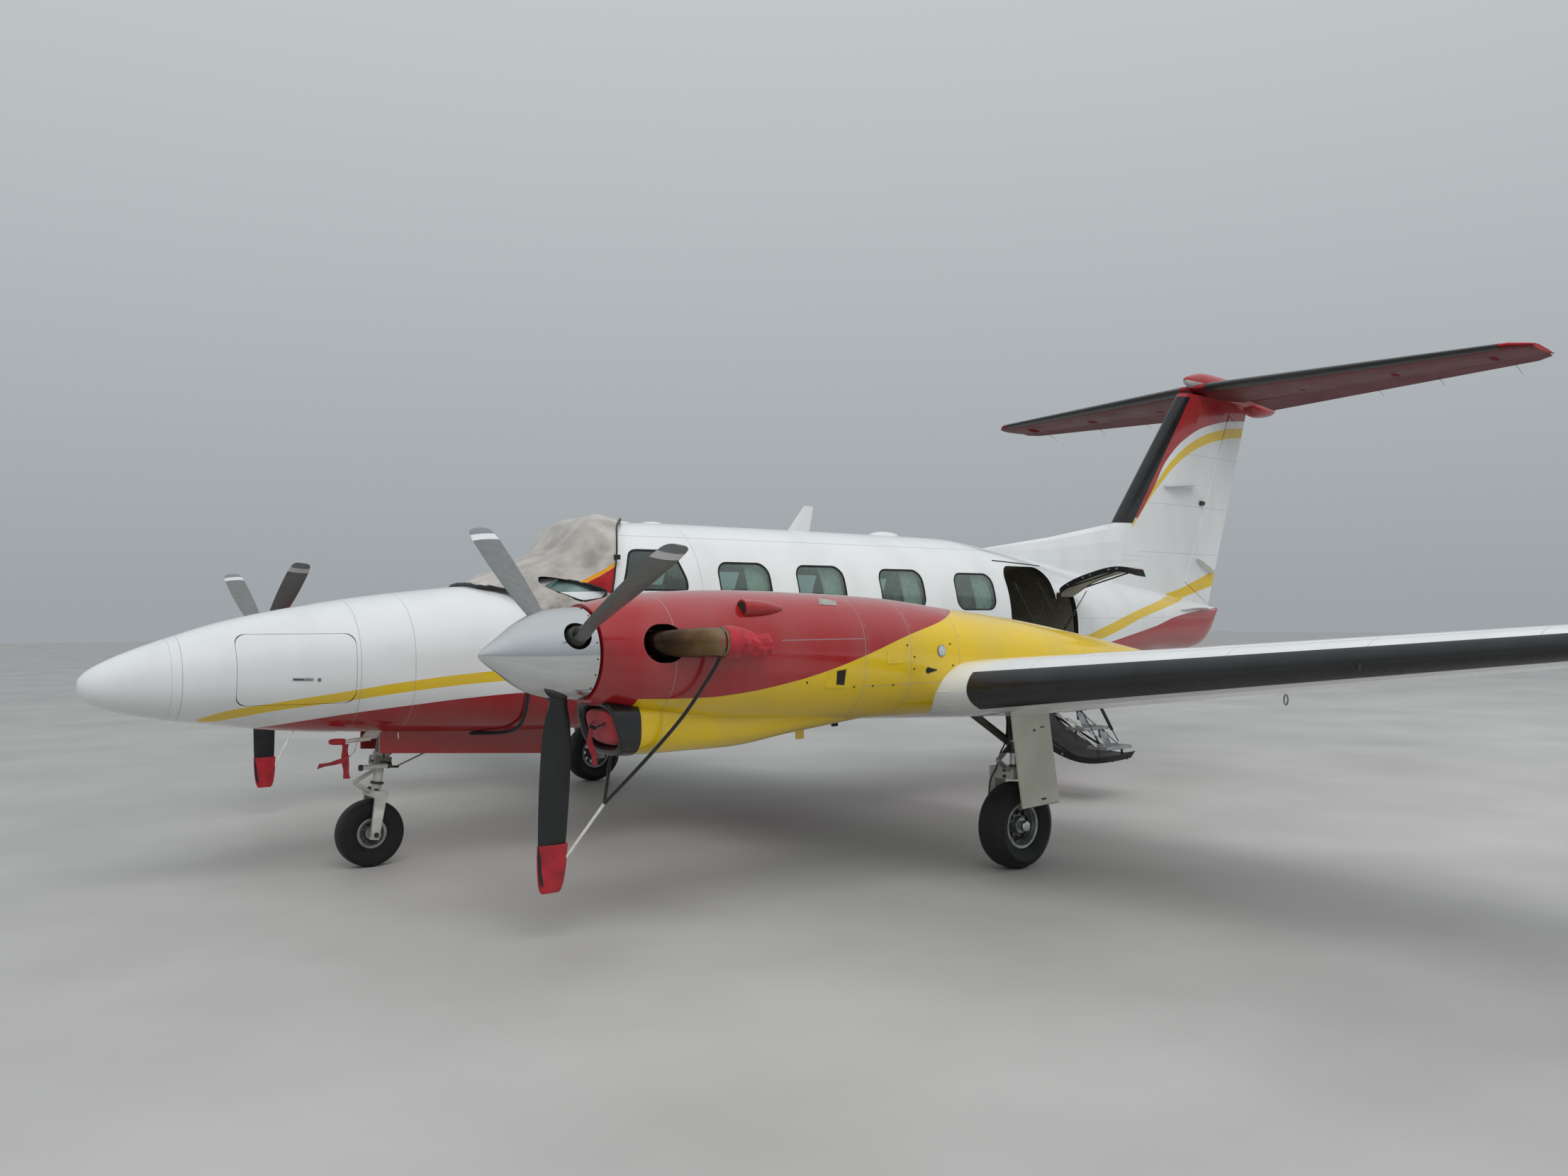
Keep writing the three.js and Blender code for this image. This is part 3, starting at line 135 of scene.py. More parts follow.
def axes(tree, swing=None):
    """The place on the object in metres, as drawn at rest, or turned by swing: hinge point, axis, degrees."""
    spot = node(tree, "TexCoord").node.outputs["Object"]
    if swing:
        hinge, axis, degrees = swing
        spot = node(tree, "VectorRotate", rotation_type="AXIS_ANGLE", Vector=spot, Center=hinge, Axis=axis,
                    Angle=math.radians(degrees))
    return *node(tree, "SeparateXYZ", spot).node.outputs, spot


def mottle(tree, spot, scale, detail=4.0, stretch=(1, 1, 1)):
    """A cloudy pattern, fixed to the object and stretched along its axes."""
    mapped = node(tree, "Mapping", Vector=spot, Scale=stretch)
    return node(tree, "TexNoise", Vector=mapped, Scale=scale, Detail=detail)


def dents(tree, height, depth_mm, strength):
    """Relief with a real depth in millimetres."""
    return node(tree, "Bump", Height=height, Distance=depth_mm / 1000, Strength=strength)


def under_curve(tree, across, up, points):
    """1 where the height lies under a line given by (place, height) points."""
    xs, zs = zip(*points)
    x0, x1, z0, z1 = min(xs), max(xs), min(zs) - 0.001, max(zs) + 0.001
    share = node(tree, "MapRange", across, x0, x1, 0.0, 1.0)
    curve = node(tree, "FloatCurve", Value=share).node
    line = curve.mapping.curves[0]
    places = [((x - x0) / (x1 - x0), (z - z0) / (z1 - z0)) for x, z in points]
    line.points[0].location, line.points[1].location = places[0], places[-1]
    for place in places[1:-1]:
        line.points.new(*place)
    for point in line.points:
        point.handle_type = "AUTO_CLAMPED"
    curve.mapping.update()
    height = node(tree, "MapRange", curve.outputs[0], 0.0, 1.0, z0, z1)
    return node(tree, "Math LESS_THAN", up, height)


def seam(tree, value, at, half_width=0.0022):
    """1 on a thin line where a coordinate has one value."""
    gap = node(tree, "Math ABSOLUTE", node(tree, "Math SUBTRACT", value, at))
    return node(tree, "Math LESS_THAN", gap, half_width)


def any_of(tree, masks):
    """1 where one of the masks is 1."""
    total = masks[0]
    for mask in masks[1:]:
        total = node(tree, "Math MAXIMUM", total, mask)
    return total


def between(tree, value, low, high):
    """1 where a value lies between two others."""
    return node(tree, "Math MULTIPLY", node(tree, "Math GREATER_THAN", value, low),
                     node(tree, "Math LESS_THAN", value, high))


# Polyurethane gloss paint over aluminium sheet: smooth, with a clear wet-looking top and faint rain streaks
PAINT_WHITE, PAINT_RED, PAINT_YELLOW = "e2e4e4", "a01219", "e2be12"
SEAM_GREY = "8d9092"
STRIPE_TOP = [(-6.0, 1.045), (-5.956, 1.066), (-5.809, 1.112), (-5.621, 1.141), (-5.427, 1.17),
              (-5.142, 1.209), (-4.8, 1.257), (-4.344, 1.301), (-4.1, 1.312), (0.9, 1.312), (1.7, 1.40),
              (2.451, 1.551), (3.072, 1.69), (4.029, 1.866), (4.482, 1.96), (4.8, 2.054), (5.3, 2.20)]
STRIPE_LOW = [(-6.0, 1.045), (-5.943, 1.034), (-5.794, 1.055), (-5.612, 1.09), (-5.134, 1.147),
              (-4.795, 1.19), (-4.341, 1.23), (-4.1, 1.24), (0.9, 1.24), (1.8, 1.33), (2.571, 1.469),
              (3.224, 1.627), (4.126, 1.785), (4.48, 1.847), (5.04, 1.965), (5.3, 2.02)]
BELLY_LINE = [(-5.75, 0.96), (-5.622, 0.983), (-5.393, 1.022), (-5.096, 1.064), (-4.78, 1.098),
              (-4.331, 1.139), (-4.0, 1.155), (0.8, 1.16), (1.6, 1.24), (2.45, 1.37), (3.435, 1.52),
              (4.165, 1.653), (5.2, 1.735)]


def painted(name, areas, seams=None, base=PAINT_WHITE, roughness=0.16, underside_shade=None, coat=0.6, swing=None):
    """Gloss paint with coloured areas, each a colour and a mask, thin seams and rows of fasteners."""
    material, tree = new_material(name)
    x, y, z, spot = axes(tree, swing)
    colour = base
    for shade, mask in areas(tree, x, z) if areas else []:
        colour = node(tree, "Mix RGBA", mask, colour, shade)
    streaks = mottle(tree, spot, 3.0, 5.0, (1.0, 1.0, 0.35))
    grime = node(tree, "MapRange", streaks, 0.42, 0.78, 0.0, 0.16)
    colour = node(tree, "Mix RGBA", grime, colour, "8b8b84")
    # Painted shade: faces that look down are mixed towards the darker colour given
    if underside_shade:
        facing = node(tree, "NewGeometry").node.outputs["Normal"]
        upward = node(tree, "SeparateXYZ", facing).node.outputs["Z"]
        colour = node(tree, "Mix RGBA", node(tree, "MapRange", upward, -0.15, -0.75, 0.0, 0.85), colour,
                      underside_shade)
    if seams:
        lines = seams(tree, x, y, z)
        colour = node(tree, "Mix RGBA", node(tree, "Math MULTIPLY", lines, 0.62), colour, SEAM_GREY)
    bump = dents(tree, mottle(tree, spot, 2.2, 2.0), 3.0, 0.12)
    gloss = node(tree, "MapRange", streaks, 0.3, 0.8, roughness, roughness + 0.14)
    return close_material(material, tree, colour, gloss, bump, IOR=1.5 if coat else 1.3, Coat_Weight=coat,
                          Coat_Roughness=0.05)


def fuselage_areas(tree, x, z):
    stripe = node(tree, "Math MULTIPLY", under_curve(tree, x, z, STRIPE_TOP),
                       node(tree, "Math SUBTRACT", 1.0, under_curve(tree, x, z, STRIPE_LOW)))
    stripe = node(tree, "Math MULTIPLY", stripe, node(tree, "Math GREATER_THAN", x, -5.99))
    belly = node(tree, "Math MULTIPLY", under_curve(tree, x, z, BELLY_LINE),
                 node(tree, "Math GREATER_THAN", x, -5.72))
    return [(PAINT_YELLOW, stripe), (PAINT_RED, belly)]


# Seams round the fuselage with rivets beside them, and laps along it: start, end and height
RADOME_SEAM, FRAME_SEAMS = -6.095, (-5.105, -4.772, -2.62, 1.905)
LAPS = [(-4.77, 1.9, 2.262), (-4.09, 0.76, 1.152), (1.9, 4.9, 1.62)]


def fuselage_seams(tree, x, y, z):
    masks = [seam(tree, x, at) for at in (*FRAME_SEAMS, RADOME_SEAM)]
    masks += [node(tree, "Math MULTIPLY", seam(tree, z, height, 0.002), between(tree, x, x0, x1))
              for x0, x1, height in LAPS]
    # Rivets are drawn 9 mm wide and 38 mm apart so that they show
    rivets = node(tree, "TexVoronoi", Vector=axes(tree)[3], Scale=26.0, Randomness=0.0)
    near_frame = any_of(tree, [seam(tree, x, at + 0.017, 0.011) for at in FRAME_SEAMS])
    dots = node(tree, "Math MULTIPLY", node(tree, "Math LESS_THAN", rivets, 0.12), near_frame)
    return any_of(tree, masks + [dots])


S_CURVE = [(-4.60, 0.5), (-4.59, 1.247), (-4.373, 1.244), (-4.209, 1.243), (-4.001, 1.256), (-3.75, 1.29),
           (-3.423, 1.356), (-3.149, 1.432), (-2.78, 1.547), (-2.347, 1.655), (-2.05, 1.76), (-1.9, 1.9)]


def nacelle_areas(tree, x, z):
    low = node(tree, "Math MULTIPLY", under_curve(tree, x, z, S_CURVE),
               node(tree, "Math GREATER_THAN", x, -4.53))
    aft = node(tree, "Math GREATER_THAN", x, -1.92)
    return [(PAINT_YELLOW, node(tree, "Math MAXIMUM", low, aft))]


def nacelle_seams(tree, x, y, z):
    masks = [seam(tree, x, at) for at in (-4.38, -3.13, -2.77, -2.35, -0.95)]
    masks.append(node(tree, "Math MULTIPLY", seam(tree, z, 1.534, 0.0028), between(tree, x, -3.73, -3.13)))
    masks.append(node(tree, "Math MULTIPLY", seam(tree, z, 1.262, 0.002), between(tree, x, -3.13, -2.35)))
    height = node(tree, "Math FRACT", node(tree, "Math MULTIPLY", z, 14.0))
    dotted = node(tree, "Math MULTIPLY", seam(tree, height, 0.5, 0.055),
                       any_of(tree, [seam(tree, x, at + 0.02, 0.0045) for at in (-3.13, -2.77, -2.35)]))
    return any_of(tree, masks + [dotted])


FIN_RED = [(3.3, 2.40), (3.623, 2.735), (3.899, 3.057), (4.206, 3.434), (4.678, 3.745), (5.167, 3.905),
           (5.762, 3.999), (6.1, 4.02)]
FIN_YELLOW_TOP = [(3.3, 2.40), (3.639, 2.79), (3.975, 3.142), (4.36, 3.469), (4.837, 3.713), (5.332, 3.85),
                  (5.76, 3.912), (6.1, 3.93)]
FIN_YELLOW_LOW = [(3.3, 2.38), (3.638, 2.75), (4.05, 3.135), (4.436, 3.415), (4.916, 3.627), (5.329, 3.732),
                  (5.757, 3.792), (6.1, 3.81)]


def fin_areas(tree, x, z):
    above_low = node(tree, "Math SUBTRACT", 1.0, under_curve(tree, x, z, FIN_YELLOW_LOW))
    band = node(tree, "Math MULTIPLY", above_low, under_curve(tree, x, z, FIN_YELLOW_TOP))
    band = node(tree, "Math MULTIPLY", band, node(tree, "Math GREATER_THAN", z, 2.62))
    red = node(tree, "Math SUBTRACT", 1.0, under_curve(tree, x, z, FIN_RED))
    red = node(tree, "Math MULTIPLY", red, node(tree, "Math GREATER_THAN", z, 2.72))
    foot = node(tree, "Math MULTIPLY", under_curve(tree, x, z, STRIPE_TOP),
                     node(tree, "Math SUBTRACT", 1.0, under_curve(tree, x, z, STRIPE_LOW)))
    foot = node(tree, "Math MULTIPLY", foot, node(tree, "Math LESS_THAN", z, 2.3))
    belly = node(tree, "Math MULTIPLY", under_curve(tree, x, z, BELLY_LINE),
                 node(tree, "Math LESS_THAN", z, 1.8))
    return [(PAINT_YELLOW, band), (PAINT_RED, red), (PAINT_YELLOW, foot), (PAINT_RED, belly)]


def fin_seams(tree, x, y, z):
    masks = [node(tree, "Math MULTIPLY", seam(tree, z, at), node(tree, "Math GREATER_THAN", x, 3.6))
             for at in (2.35, 2.9, 3.5)]
    return any_of(tree, masks)


white_paint = painted("polyurethane_gloss_paint_white", None)
fuselage_paint = painted("polyurethane_gloss_paint_fuselage", fuselage_areas, fuselage_seams)
nacelle_paint = painted("polyurethane_gloss_paint_nacelle", nacelle_areas, nacelle_seams, PAINT_RED)
fin_paint = painted("polyurethane_gloss_paint_fin", fin_areas, fin_seams)
red_paint = painted("polyurethane_gloss_paint_red", None, None, PAINT_RED)
yellow_paint = painted("polyurethane_gloss_paint_yellow", None, None, PAINT_YELLOW)
# Tail plane: the same red, rougher, with painted shade darkening the faces that look down
tail_paint = painted("polyurethane_paint_red_shaded_below", None, None, PAINT_RED, 0.36, "4d0f18", 0.0)


def wing_seams(tree, x, y, z):
    span = node(tree, "Math ABSOLUTE", y)
    return any_of(tree, [seam(tree, span, at) for at in (3.6, 4.73, 5.4, 6.1)])


wing_paint = painted("polyurethane_gloss_paint_wing", None, wing_seams, PAINT_WHITE, 0.2)


def worn(name, light, dark, roughness, spread, scale, grain_mm, **constants):
    """One material whose shade, roughness and surface vary with a noise of one real grain size."""
    material, tree = new_material(name)
    spot = axes(tree)[3]
    large = mottle(tree, spot, scale)
    fine = mottle(tree, spot, scale * 9, 3.0)
    colour = node(tree, "Mix RGBA", node(tree, "MapRange", large, 0.3, 0.7, 0.0, 1.0), dark, light)
    gloss = node(tree, "MapRange", fine, 0.25, 0.75, roughness, roughness + spread)
    return close_material(material, tree, colour, gloss, dents(tree, fine, grain_mm, 0.5), **constants)


# Neoprene de-icing boot: black, semi-gloss and a little chalky where the rain has dried
boot_rubber = worn("neoprene_boot", "1b1d20", "0d0e10", 0.22, 0.2, 5.0, 0.4, IOR=1.52, Coat_Weight=0.25)
# Vulcanised tyre rubber: matt, grey with road dust in its lower relief
tyre_rubber = worn("vulcanised_rubber", "151618", "0a0b0c", 0.55, 0.2, 14.0, 0.8, IOR=1.52)
# Moulded seal rubber, dead black
seal_rubber = worn("moulded_seal_rubber", "141517", "090a0b", 0.6, 0.2, 20.0, 0.3, IOR=1.52)
# Cast and machined aluminium, clear-coated: light grey with soft mottling
cast_aluminium = worn("cast_aluminium", "b9bcbd", "8f9294", 0.36, 0.2, 18.0, 0.5, Metallic=0.85)
# Enamelled steel of gear legs: light warm grey, oily in places
leg_enamel = worn("grey_enamel_on_steel", "a9a79f", "6f6e69", 0.35, 0.25, 9.0, 0.4, IOR=1.5, Coat_Weight=0.2)
dark_enamel = worn("dark_oiled_steel", "55544f", "2c2c2b", 0.42, 0.25, 12.0, 0.4, Metallic=0.35)
# Hard chromed piston
chrome = worn("hard_chrome", "d8dadb", "bfc1c2", 0.08, 0.08, 10.0, 0.05, Metallic=1.0)
# Enamelled forks and legs, off-white
gear_white = worn("white_enamel_on_steel", "d6d5cf", "a8a69e", 0.3, 0.2, 7.0, 0.4, IOR=1.5, Coat_Weight=0.3)
# Window curtains and sunscreen: pale cloth that lets some light through
curtain_cloth = worn("pleated_polyester_curtain", "f0f2ea", "cfd3c8", 0.75, 0.15, 20.0, 0.4, IOR=1.45,
                     Sheen_Weight=0.3)
cream_enamel = worn("cream_enamel_on_leg_door", "d9d7c6", "c4c2b0", 0.28, 0.15, 3.0, 1.0, IOR=1.5,
                    Coat_Weight=0.4)
# Casting of the rims' recessed webs, in a darker grey than flange and hub
wheel_web = worn("darker_web_casting", "8b8d8c", "4c4d4b", 0.45, 0.2, 24.0, 0.5, Metallic=0.6)
sunscreen_foil = worn("quilted_sunscreen", "dfe3ec", "b9c0cf", 0.35, 0.2, 12.0, 1.5, IOR=1.5)
lamp_glass = worn("frosted_lamp_glass", "e6ecec", "c3cdd0", 0.12, 0.1, 8.0, 0.2, IOR=1.5,
                  Transmission_Weight=0.3)
# Carbon black paint of the blades' thrust side
blade_black = worn("blade_black_enamel", "1b1d20", "101214", 0.38, 0.2, 8.0, 0.3, IOR=1.5, Coat_Weight=0.2)
lining_cloth = worn("woven_lining", "8f887a", "6d675c", 0.8, 0.15, 30.0, 0.5, IOR=1.45, Sheen_Weight=0.3)
door_panel = worn("door_lining_abs", "25292c", "181b1e", 0.42, 0.2, 10.0, 0.4, IOR=1.53)
cream_panel = worn("painted_door_lining", "a39c86", "857f6c", 0.5, 0.2, 6.0, 0.4, IOR=1.5)
dark_cavity = worn("zinc_chromate_primer_in_shade", "2a2c28", "1a1b19", 0.7, 0.2, 6.0, 0.5, IOR=1.5)
ribbon_red = worn("woven_nylon_ribbon_red", "a8262f", "7d1620", 0.6, 0.2, 40.0, 0.3, IOR=1.5,
                  Sheen_Weight=0.3)
strap_black = worn("woven_nylon_webbing_black", "202023", "131315", 0.6, 0.2, 60.0, 0.4, IOR=1.5,
                   Sheen_Weight=0.2)
cover_red = worn("coated_nylon_red", "c02231", "93131f", 0.5, 0.2, 12.0, 0.6, IOR=1.5, Sheen_Weight=0.2)


def heat_tinted_steel():
    """Stainless steel browned by exhaust heat, straw near the end ring and dark at the bend."""
    material, tree = new_material("heat_tinted_stainless_steel")
    x, _, _, spot = axes(tree)
    bands = node(tree, "Math ADD", node(tree, "MapRange", x, -4.50, -4.14, 0.0, 1.0),
                      node(tree, "MapRange", mottle(tree, spot, 9.0), 0.3, 0.7, -0.14, 0.14))
    ramp = node(tree, "ValToRGB", bands).node
    stops = [(0.0, "3a2c22"), (0.35, "5d4630"), (0.62, "7b6243"), (0.86, "8d7b62"), (1.0, "5f4a52")]
    ramp.color_ramp.elements[0].color = hex_colour(stops[0][1])
    ramp.color_ramp.elements[1].color = hex_colour(stops[-1][1])
    for at, shade in stops[1:-1]:
        ramp.color_ramp.elements.new(at).color = hex_colour(shade)
    gloss = node(tree, "MapRange", mottle(tree, spot, 30.0), 0.3, 0.7, 0.2, 0.42)
    bump = dents(tree, mottle(tree, spot, 16.0), 0.8, 0.4)
    return close_material(material, tree, ramp.outputs[0], gloss, bump, Metallic=0.9)


exhaust_steel = heat_tinted_steel()


def polished_spinner():
    """Polished aluminium spinner with fine turned lines and a few smudges."""
    material, tree = new_material("polished_aluminium")
    x, _, _, spot = axes(tree)
    # Turned lines are drawn 4.5 mm apart
    rings = node(tree, "Math SINE", node(tree, "Math MULTIPLY", x, 1400.0))
    gloss = node(tree, "MapRange", mottle(tree, spot, 7.0), 0.35, 0.75, 0.05, 0.16)
    return close_material(material, tree, "cfd1d2", gloss, dents(tree, rings, 0.02, 0.12), Metallic=1.0)


spinner_metal = polished_spinner()


def blade_paint():
    """Grey enamel of the camber side, with the white tip band that shows when the propeller turns."""
    material, tree = new_material("blade_grey_enamel")
    _, y, z, spot = axes(tree)
    side = node(tree, "Math SUBTRACT", node(tree, "Math ABSOLUTE", y), ENGINE_Y)
    rise = node(tree, "Math SUBTRACT", z, ENGINE_Z)
    radius = node(tree, "Math SQRT", node(tree, "Math ADD", node(tree, "Math MULTIPLY", side, side),
                                               node(tree, "Math MULTIPLY", rise, rise)))
    wear = mottle(tree, spot, 25.0)
    colour = node(tree, "Mix RGBA", node(tree, "MapRange", wear, 0.35, 0.7, 0.0, 0.35), "6b6e6d", "565a59")
    colour = node(tree, "Mix RGBA", between(tree, radius, *TIP_BAND), colour, "d6d8d9")
    colour = node(tree, "Mix RGBA", node(tree, "Math GREATER_THAN", radius, TIP_BAND[1]), colour, "777b7e")
    gloss = node(tree, "MapRange", wear, 0.3, 0.7, 0.32, 0.5)
    return close_material(material, tree, colour, gloss, dents(tree, wear, 0.2, 0.3), IOR=1.5,
                          Coat_Weight=0.2)


ENGINE_Y, ENGINE_Z, PROPELLER_X = 2.624, 1.480, -4.843
TIP_BAND = (1.075, 1.135)
blade_grey = blade_paint()


def acrylic():
    """Stretched acrylic window: slightly green-grey, with soft reflections."""
    material, tree = new_material("stretched_acrylic")
    bump = dents(tree, mottle(tree, axes(tree)[3], 3.0, 1.0), 1.5, 0.15)
    return close_material(material, tree, "c3d8d1", 0.03, bump, IOR=1.49, Transmission_Weight=0.95)


window_acrylic = acrylic()


def canvas():
    """Woven polyester canvas of the windscreen cover: grey-beige with a red and yellow hem and grime."""
    material, tree = new_material("woven_polyester_canvas")
    x, y, z, spot = axes(tree)
    folds = mottle(tree, spot, 6.0, 6.0)
    colour = node(tree, "Mix RGBA", node(tree, "MapRange", folds, 0.35, 0.7, 0.0, 1.0), "a09b94", "c4bfb8")
    side = node(tree, "Math LESS_THAN", y, -0.30)
    slope = node(tree, "Math SUBTRACT", z, node(tree, "Math MULTIPLY", x, 0.54))
    aft = node(tree, "Math MULTIPLY", node(tree, "Math GREATER_THAN", x, -3.72), side)
    red = node(tree, "Math MULTIPLY", node(tree, "Math LESS_THAN", slope, 3.828), aft)
    yellow = node(tree, "Math MULTIPLY", between(tree, slope, 3.828, 3.856), aft)
    over = node(tree, "Math ADD", z, node(tree, "Math MULTIPLY", x, 0.38))
    red = node(tree, "Math MULTIPLY", red, node(tree, "Math GREATER_THAN", over, 0.532))
    colour = node(tree, "Mix RGBA", red, colour, "a3181f")
    colour = node(tree, "Mix RGBA", yellow, colour, "dd9a1c")
    # Threads of about 1 mm are drawn 4 mm apart so that they show
    weave = node(tree, "TexWave", bands_direction="DIAGONAL", Vector=spot, Scale=80.0, Distortion=1.5)
    return close_material(material, tree, colour, 0.85, dents(tree, weave, 0.5, 0.35), IOR=1.45,
                          Sheen_Weight=0.35)


cover_canvas = canvas()

# Section tables in mm: place along X, half width, top, bottom and height of the widest line,
# then roundness above and below that line

FUSELAGE = [
    [-6615, 14, 1281, 1253, 1267, 2.0, 2.0], [-6585, 74, 1342, 1192, 1267, 2.0, 2.0],
    [-6440, 150, 1432, 1120, 1276, 2.0, 2.0], [-6150, 248, 1545, 1050, 1295, 2.05, 2.05],
    [-5800, 342, 1654, 992, 1320, 2.08, 2.1], [-5440, 425, 1730, 942, 1345, 2.1, 2.2],
    [-4900, 520, 1816, 900, 1370, 2.2, 2.4], [-4400, 592, 1872, 876, 1390, 2.25, 2.7],
    [-4000, 640, 1914, 862, 1420, 2.3, 3.0], [-3500, 688, 2190, 850, 1470, 2.4, 3.2],
    [-3120, 704, 2378, 845, 1500, 2.45, 3.2], [-2600, 712, 2396, 840, 1510, 2.45, 3.2],
    [300, 712, 2384, 840, 1510, 2.45, 3.2], [1070, 700, 2302, 846, 1500, 2.4, 3.2],
    [1900, 622, 2190, 905, 1485, 2.3, 3.0], [3000, 452, 2035, 1090, 1535, 2.15, 2.6],
    [3870, 322, 1926, 1232, 1570, 2.05, 2.3], [4430, 230, 1853, 1250, 1590, 2.0, 2.1],
    [4815, 162, 1790, 1297, 1600, 2.0, 2.0], [4960, 134, 1766, 1400, 1625, 2.0, 2.0],
    [5135, 86, 1738, 1672, 1706, 2.0, 2.0],
]
NACELLE = [[-4735, 252, 1734, 1226, 1480, 2.0], [-4450, 362, 1786, 1150, 1470, 2.2],
           [-3920, 415, 1812, 1075, 1450, 2.4], [-2870, 420, 1782, 1046, 1420, 2.5],
           [-2260, 402, 1722, 1036, 1390, 2.5], [-1600, 345, 1652, 1012, 1350, 2.4],
           [-850, 252, 1545, 1040, 1310, 2.2], [100, 62, 1382, 1262, 1322, 2.0]]
CHIN = [[-4740, 190, 1236, 960, 1104, 3.0], [-4360, 228, 1240, 942, 1098, 3.0],
        [-3920, 236, 1244, 942, 1096, 2.9], [-3420, 225, 1244, 992, 1118, 2.7],
        [-2870, 170, 1234, 1040, 1135, 2.4]]
TIP_TANK = [[-3050, 10, 1590, 1570, 1580, 2.0], [-2900, 92, 1678, 1486, 1582, 2.0],
            [-2550, 165, 1755, 1415, 1585, 2.0], [-1900, 205, 1803, 1385, 1592, 2.0],
            [-1200, 205, 1808, 1396, 1600, 2.0], [-500, 130, 1745, 1500, 1620, 2.0],
            [-40, 12, 1652, 1632, 1642, 2.0]]
TAIL_BULLET = [
    [4660, 10, 4394, 4376, 4385, 2.0], [4760, 66, 4448, 4312, 4380, 2.0], [5040, 120, 4500, 4238, 4368, 2.0],
    [5500, 132, 4482, 4206, 4340, 2.0], [6050, 100, 4398, 4180, 4290, 2.0], [6450, 40, 4282, 4190, 4238, 2.0],
    [6615, 6, 4230, 4216, 4223, 2.0],
]
# Span station, leading edge, trailing edge, height, thickness share, drop of the rear edge
WING = [[430, -2700, -240, 1015, 0.14, 100], [3060, -2515, -250, 1206, 0.155, 95],
        [6960, -1885, -600, 1596, 0.11, 20]]
STABILIZER = [[0, 4775, 6330, 4298, 0.10, 40], [3260, 5180, 5975, 4288, 0.10, 30],
              [3430, 5345, 5890, 4286, 0.09, 24]]
# Height, leading edge, trailing edge, thickness share
FIN = [[1700, 2650, 5048, 0.075], [2680, 3280, 5415, 0.085], [4215, 4535, 5985, 0.095]]
AEROFOIL = [[0, 0, 0], [0.025, 0.30, 0.24], [0.10, 0.52, 0.40], [0.28, 0.60, 0.44], [0.50, 0.50, 0.36],
            [0.75, 0.27, 0.19], [1, 0.012, 0.012]]
EVEN_AEROFOIL = [[0, 0, 0], [0.03, 0.26, 0.26], [0.12, 0.44, 0.44], [0.32, 0.50, 0.50], [0.65, 0.34, 0.34],
                 [1, 0.014, 0.014]]


def smooth(xs, ys, x):
    """Value at x of a smooth line through the points, with no overshoot between them."""
    xs, ys, x = np.asarray(xs, float), np.asarray(ys, float), np.asarray(x, float)
    steps = np.diff(xs)
    slopes = np.diff(ys) / steps
    tangents = np.empty(len(xs))
    tangents[0], tangents[-1] = slopes[0], slopes[-1]
    for i in range(1, len(xs) - 1):
        a, b = slopes[i - 1], slopes[i]
        w1, w2 = 2 * steps[i] + steps[i - 1], steps[i] + 2 * steps[i - 1]
        tangents[i] = (w1 + w2) / (w1 / a + w2 / b) if a * b > 0 else 0.0
    i = np.clip(np.searchsorted(xs, x, side="right") - 1, 0, len(steps) - 1)
    t = np.clip((x - xs[i]) / steps[i], 0.0, 1.0)
    h = steps[i]
    return (ys[i] * (1 + 2 * t) * (1 - t) ** 2 + ys[i + 1] * t * t * (3 - 2 * t)
            + h * tangents[i] * t * (1 - t) ** 2 - h * tangents[i + 1] * t * t * (1 - t))


class Body:
    """A body of smooth sections along X."""

    def __init__(self, table, centre_y=0.0, round_nose=False):
        rows = [list(row) + [row[5]] * (7 - len(row)) for row in table]
        self.rows = np.array(rows, float)
        self.rows[:, :5] /= 1000
        self.centre_y = centre_y
        self.tip = self.rows[0, 0] if round_nose else None

    def along(self, x):
        x = np.asarray(x, float)
        return x if self.tip is None else np.sqrt(np.maximum(x - self.tip, 0.0))

    def at(self, x):
        places = self.along(self.rows[:, 0])
        return [float(smooth(places, self.rows[:, k], self.along(x))) for k in range(1, 7)]

    def point(self, x, degrees, inset=0.0):
        half, top, bottom, wide, upper, lower = self.at(x)
        across, up = math.cos(math.radians(degrees)), math.sin(math.radians(degrees))
        power = 2 / (upper if up >= 0 else lower)
        height = top - wide - inset if up >= 0 else wide - bottom - inset
        bent_across = math.copysign(abs(across) ** power, across)
        bent_up = math.copysign(abs(up) ** power, up)
        return (x, self.centre_y + (half - inset) * bent_across, wide + height * bent_up)

    def level(self, x, z):
        """Half width, share of the way from the widest line to top or bottom, roundness, if z is above."""
        half, top, bottom, wide, upper, lower = self.at(x)
        above = z > wide
        share = min(abs(z - wide) / (top - wide if above else wide - bottom), 1.0)
        return half, share, upper if above else lower, above

    def side(self, x, z, inset=0.0):
        """Outboard face on the port side, at a height."""
        half, share, power, _ = self.level(x, z)
        return self.centre_y - half * (1 - share ** power) ** (1 / power) + inset

    def degrees(self, x, z):
        """The turn of the port side's point at a height."""
        _, share, power, above = self.level(x, z)
        turn = math.degrees(math.asin(share ** (power / 2)))
        return 180 - turn if above else 180 + turn

    def frame(self, x, degrees):
        """A point of the skin with its directions aft, round and outward."""
        origin = Vector(self.point(x, degrees))
        aft = (Vector(self.point(x + 0.03, degrees)) - origin).normalized()
        around = (Vector(self.point(x, degrees + 1.5)) - origin).normalized()
        out = around.cross(aft).normalized()
        middle = Vector((x, self.centre_y, self.at(x)[3]))
        return origin, aft, around, out if out.dot(origin - middle) > 0 else -out

    def grid(self, xs, angles, inset=0.0):
        return np.array([[self.point(x, a, inset) for a in angles] for x in xs])


fuselage_form = Body(FUSELAGE, 0.0, True)
PORT_NACELLE, PORT_CHIN = Body(NACELLE, -ENGINE_Y), Body(CHIN, -ENGINE_Y)
PORT_SHAFT = (0, -ENGINE_Y, ENGINE_Z)


def circle(count):
    """Angles of points spaced evenly round a circle."""
    return [2 * math.pi * k / count for k in range(count)]


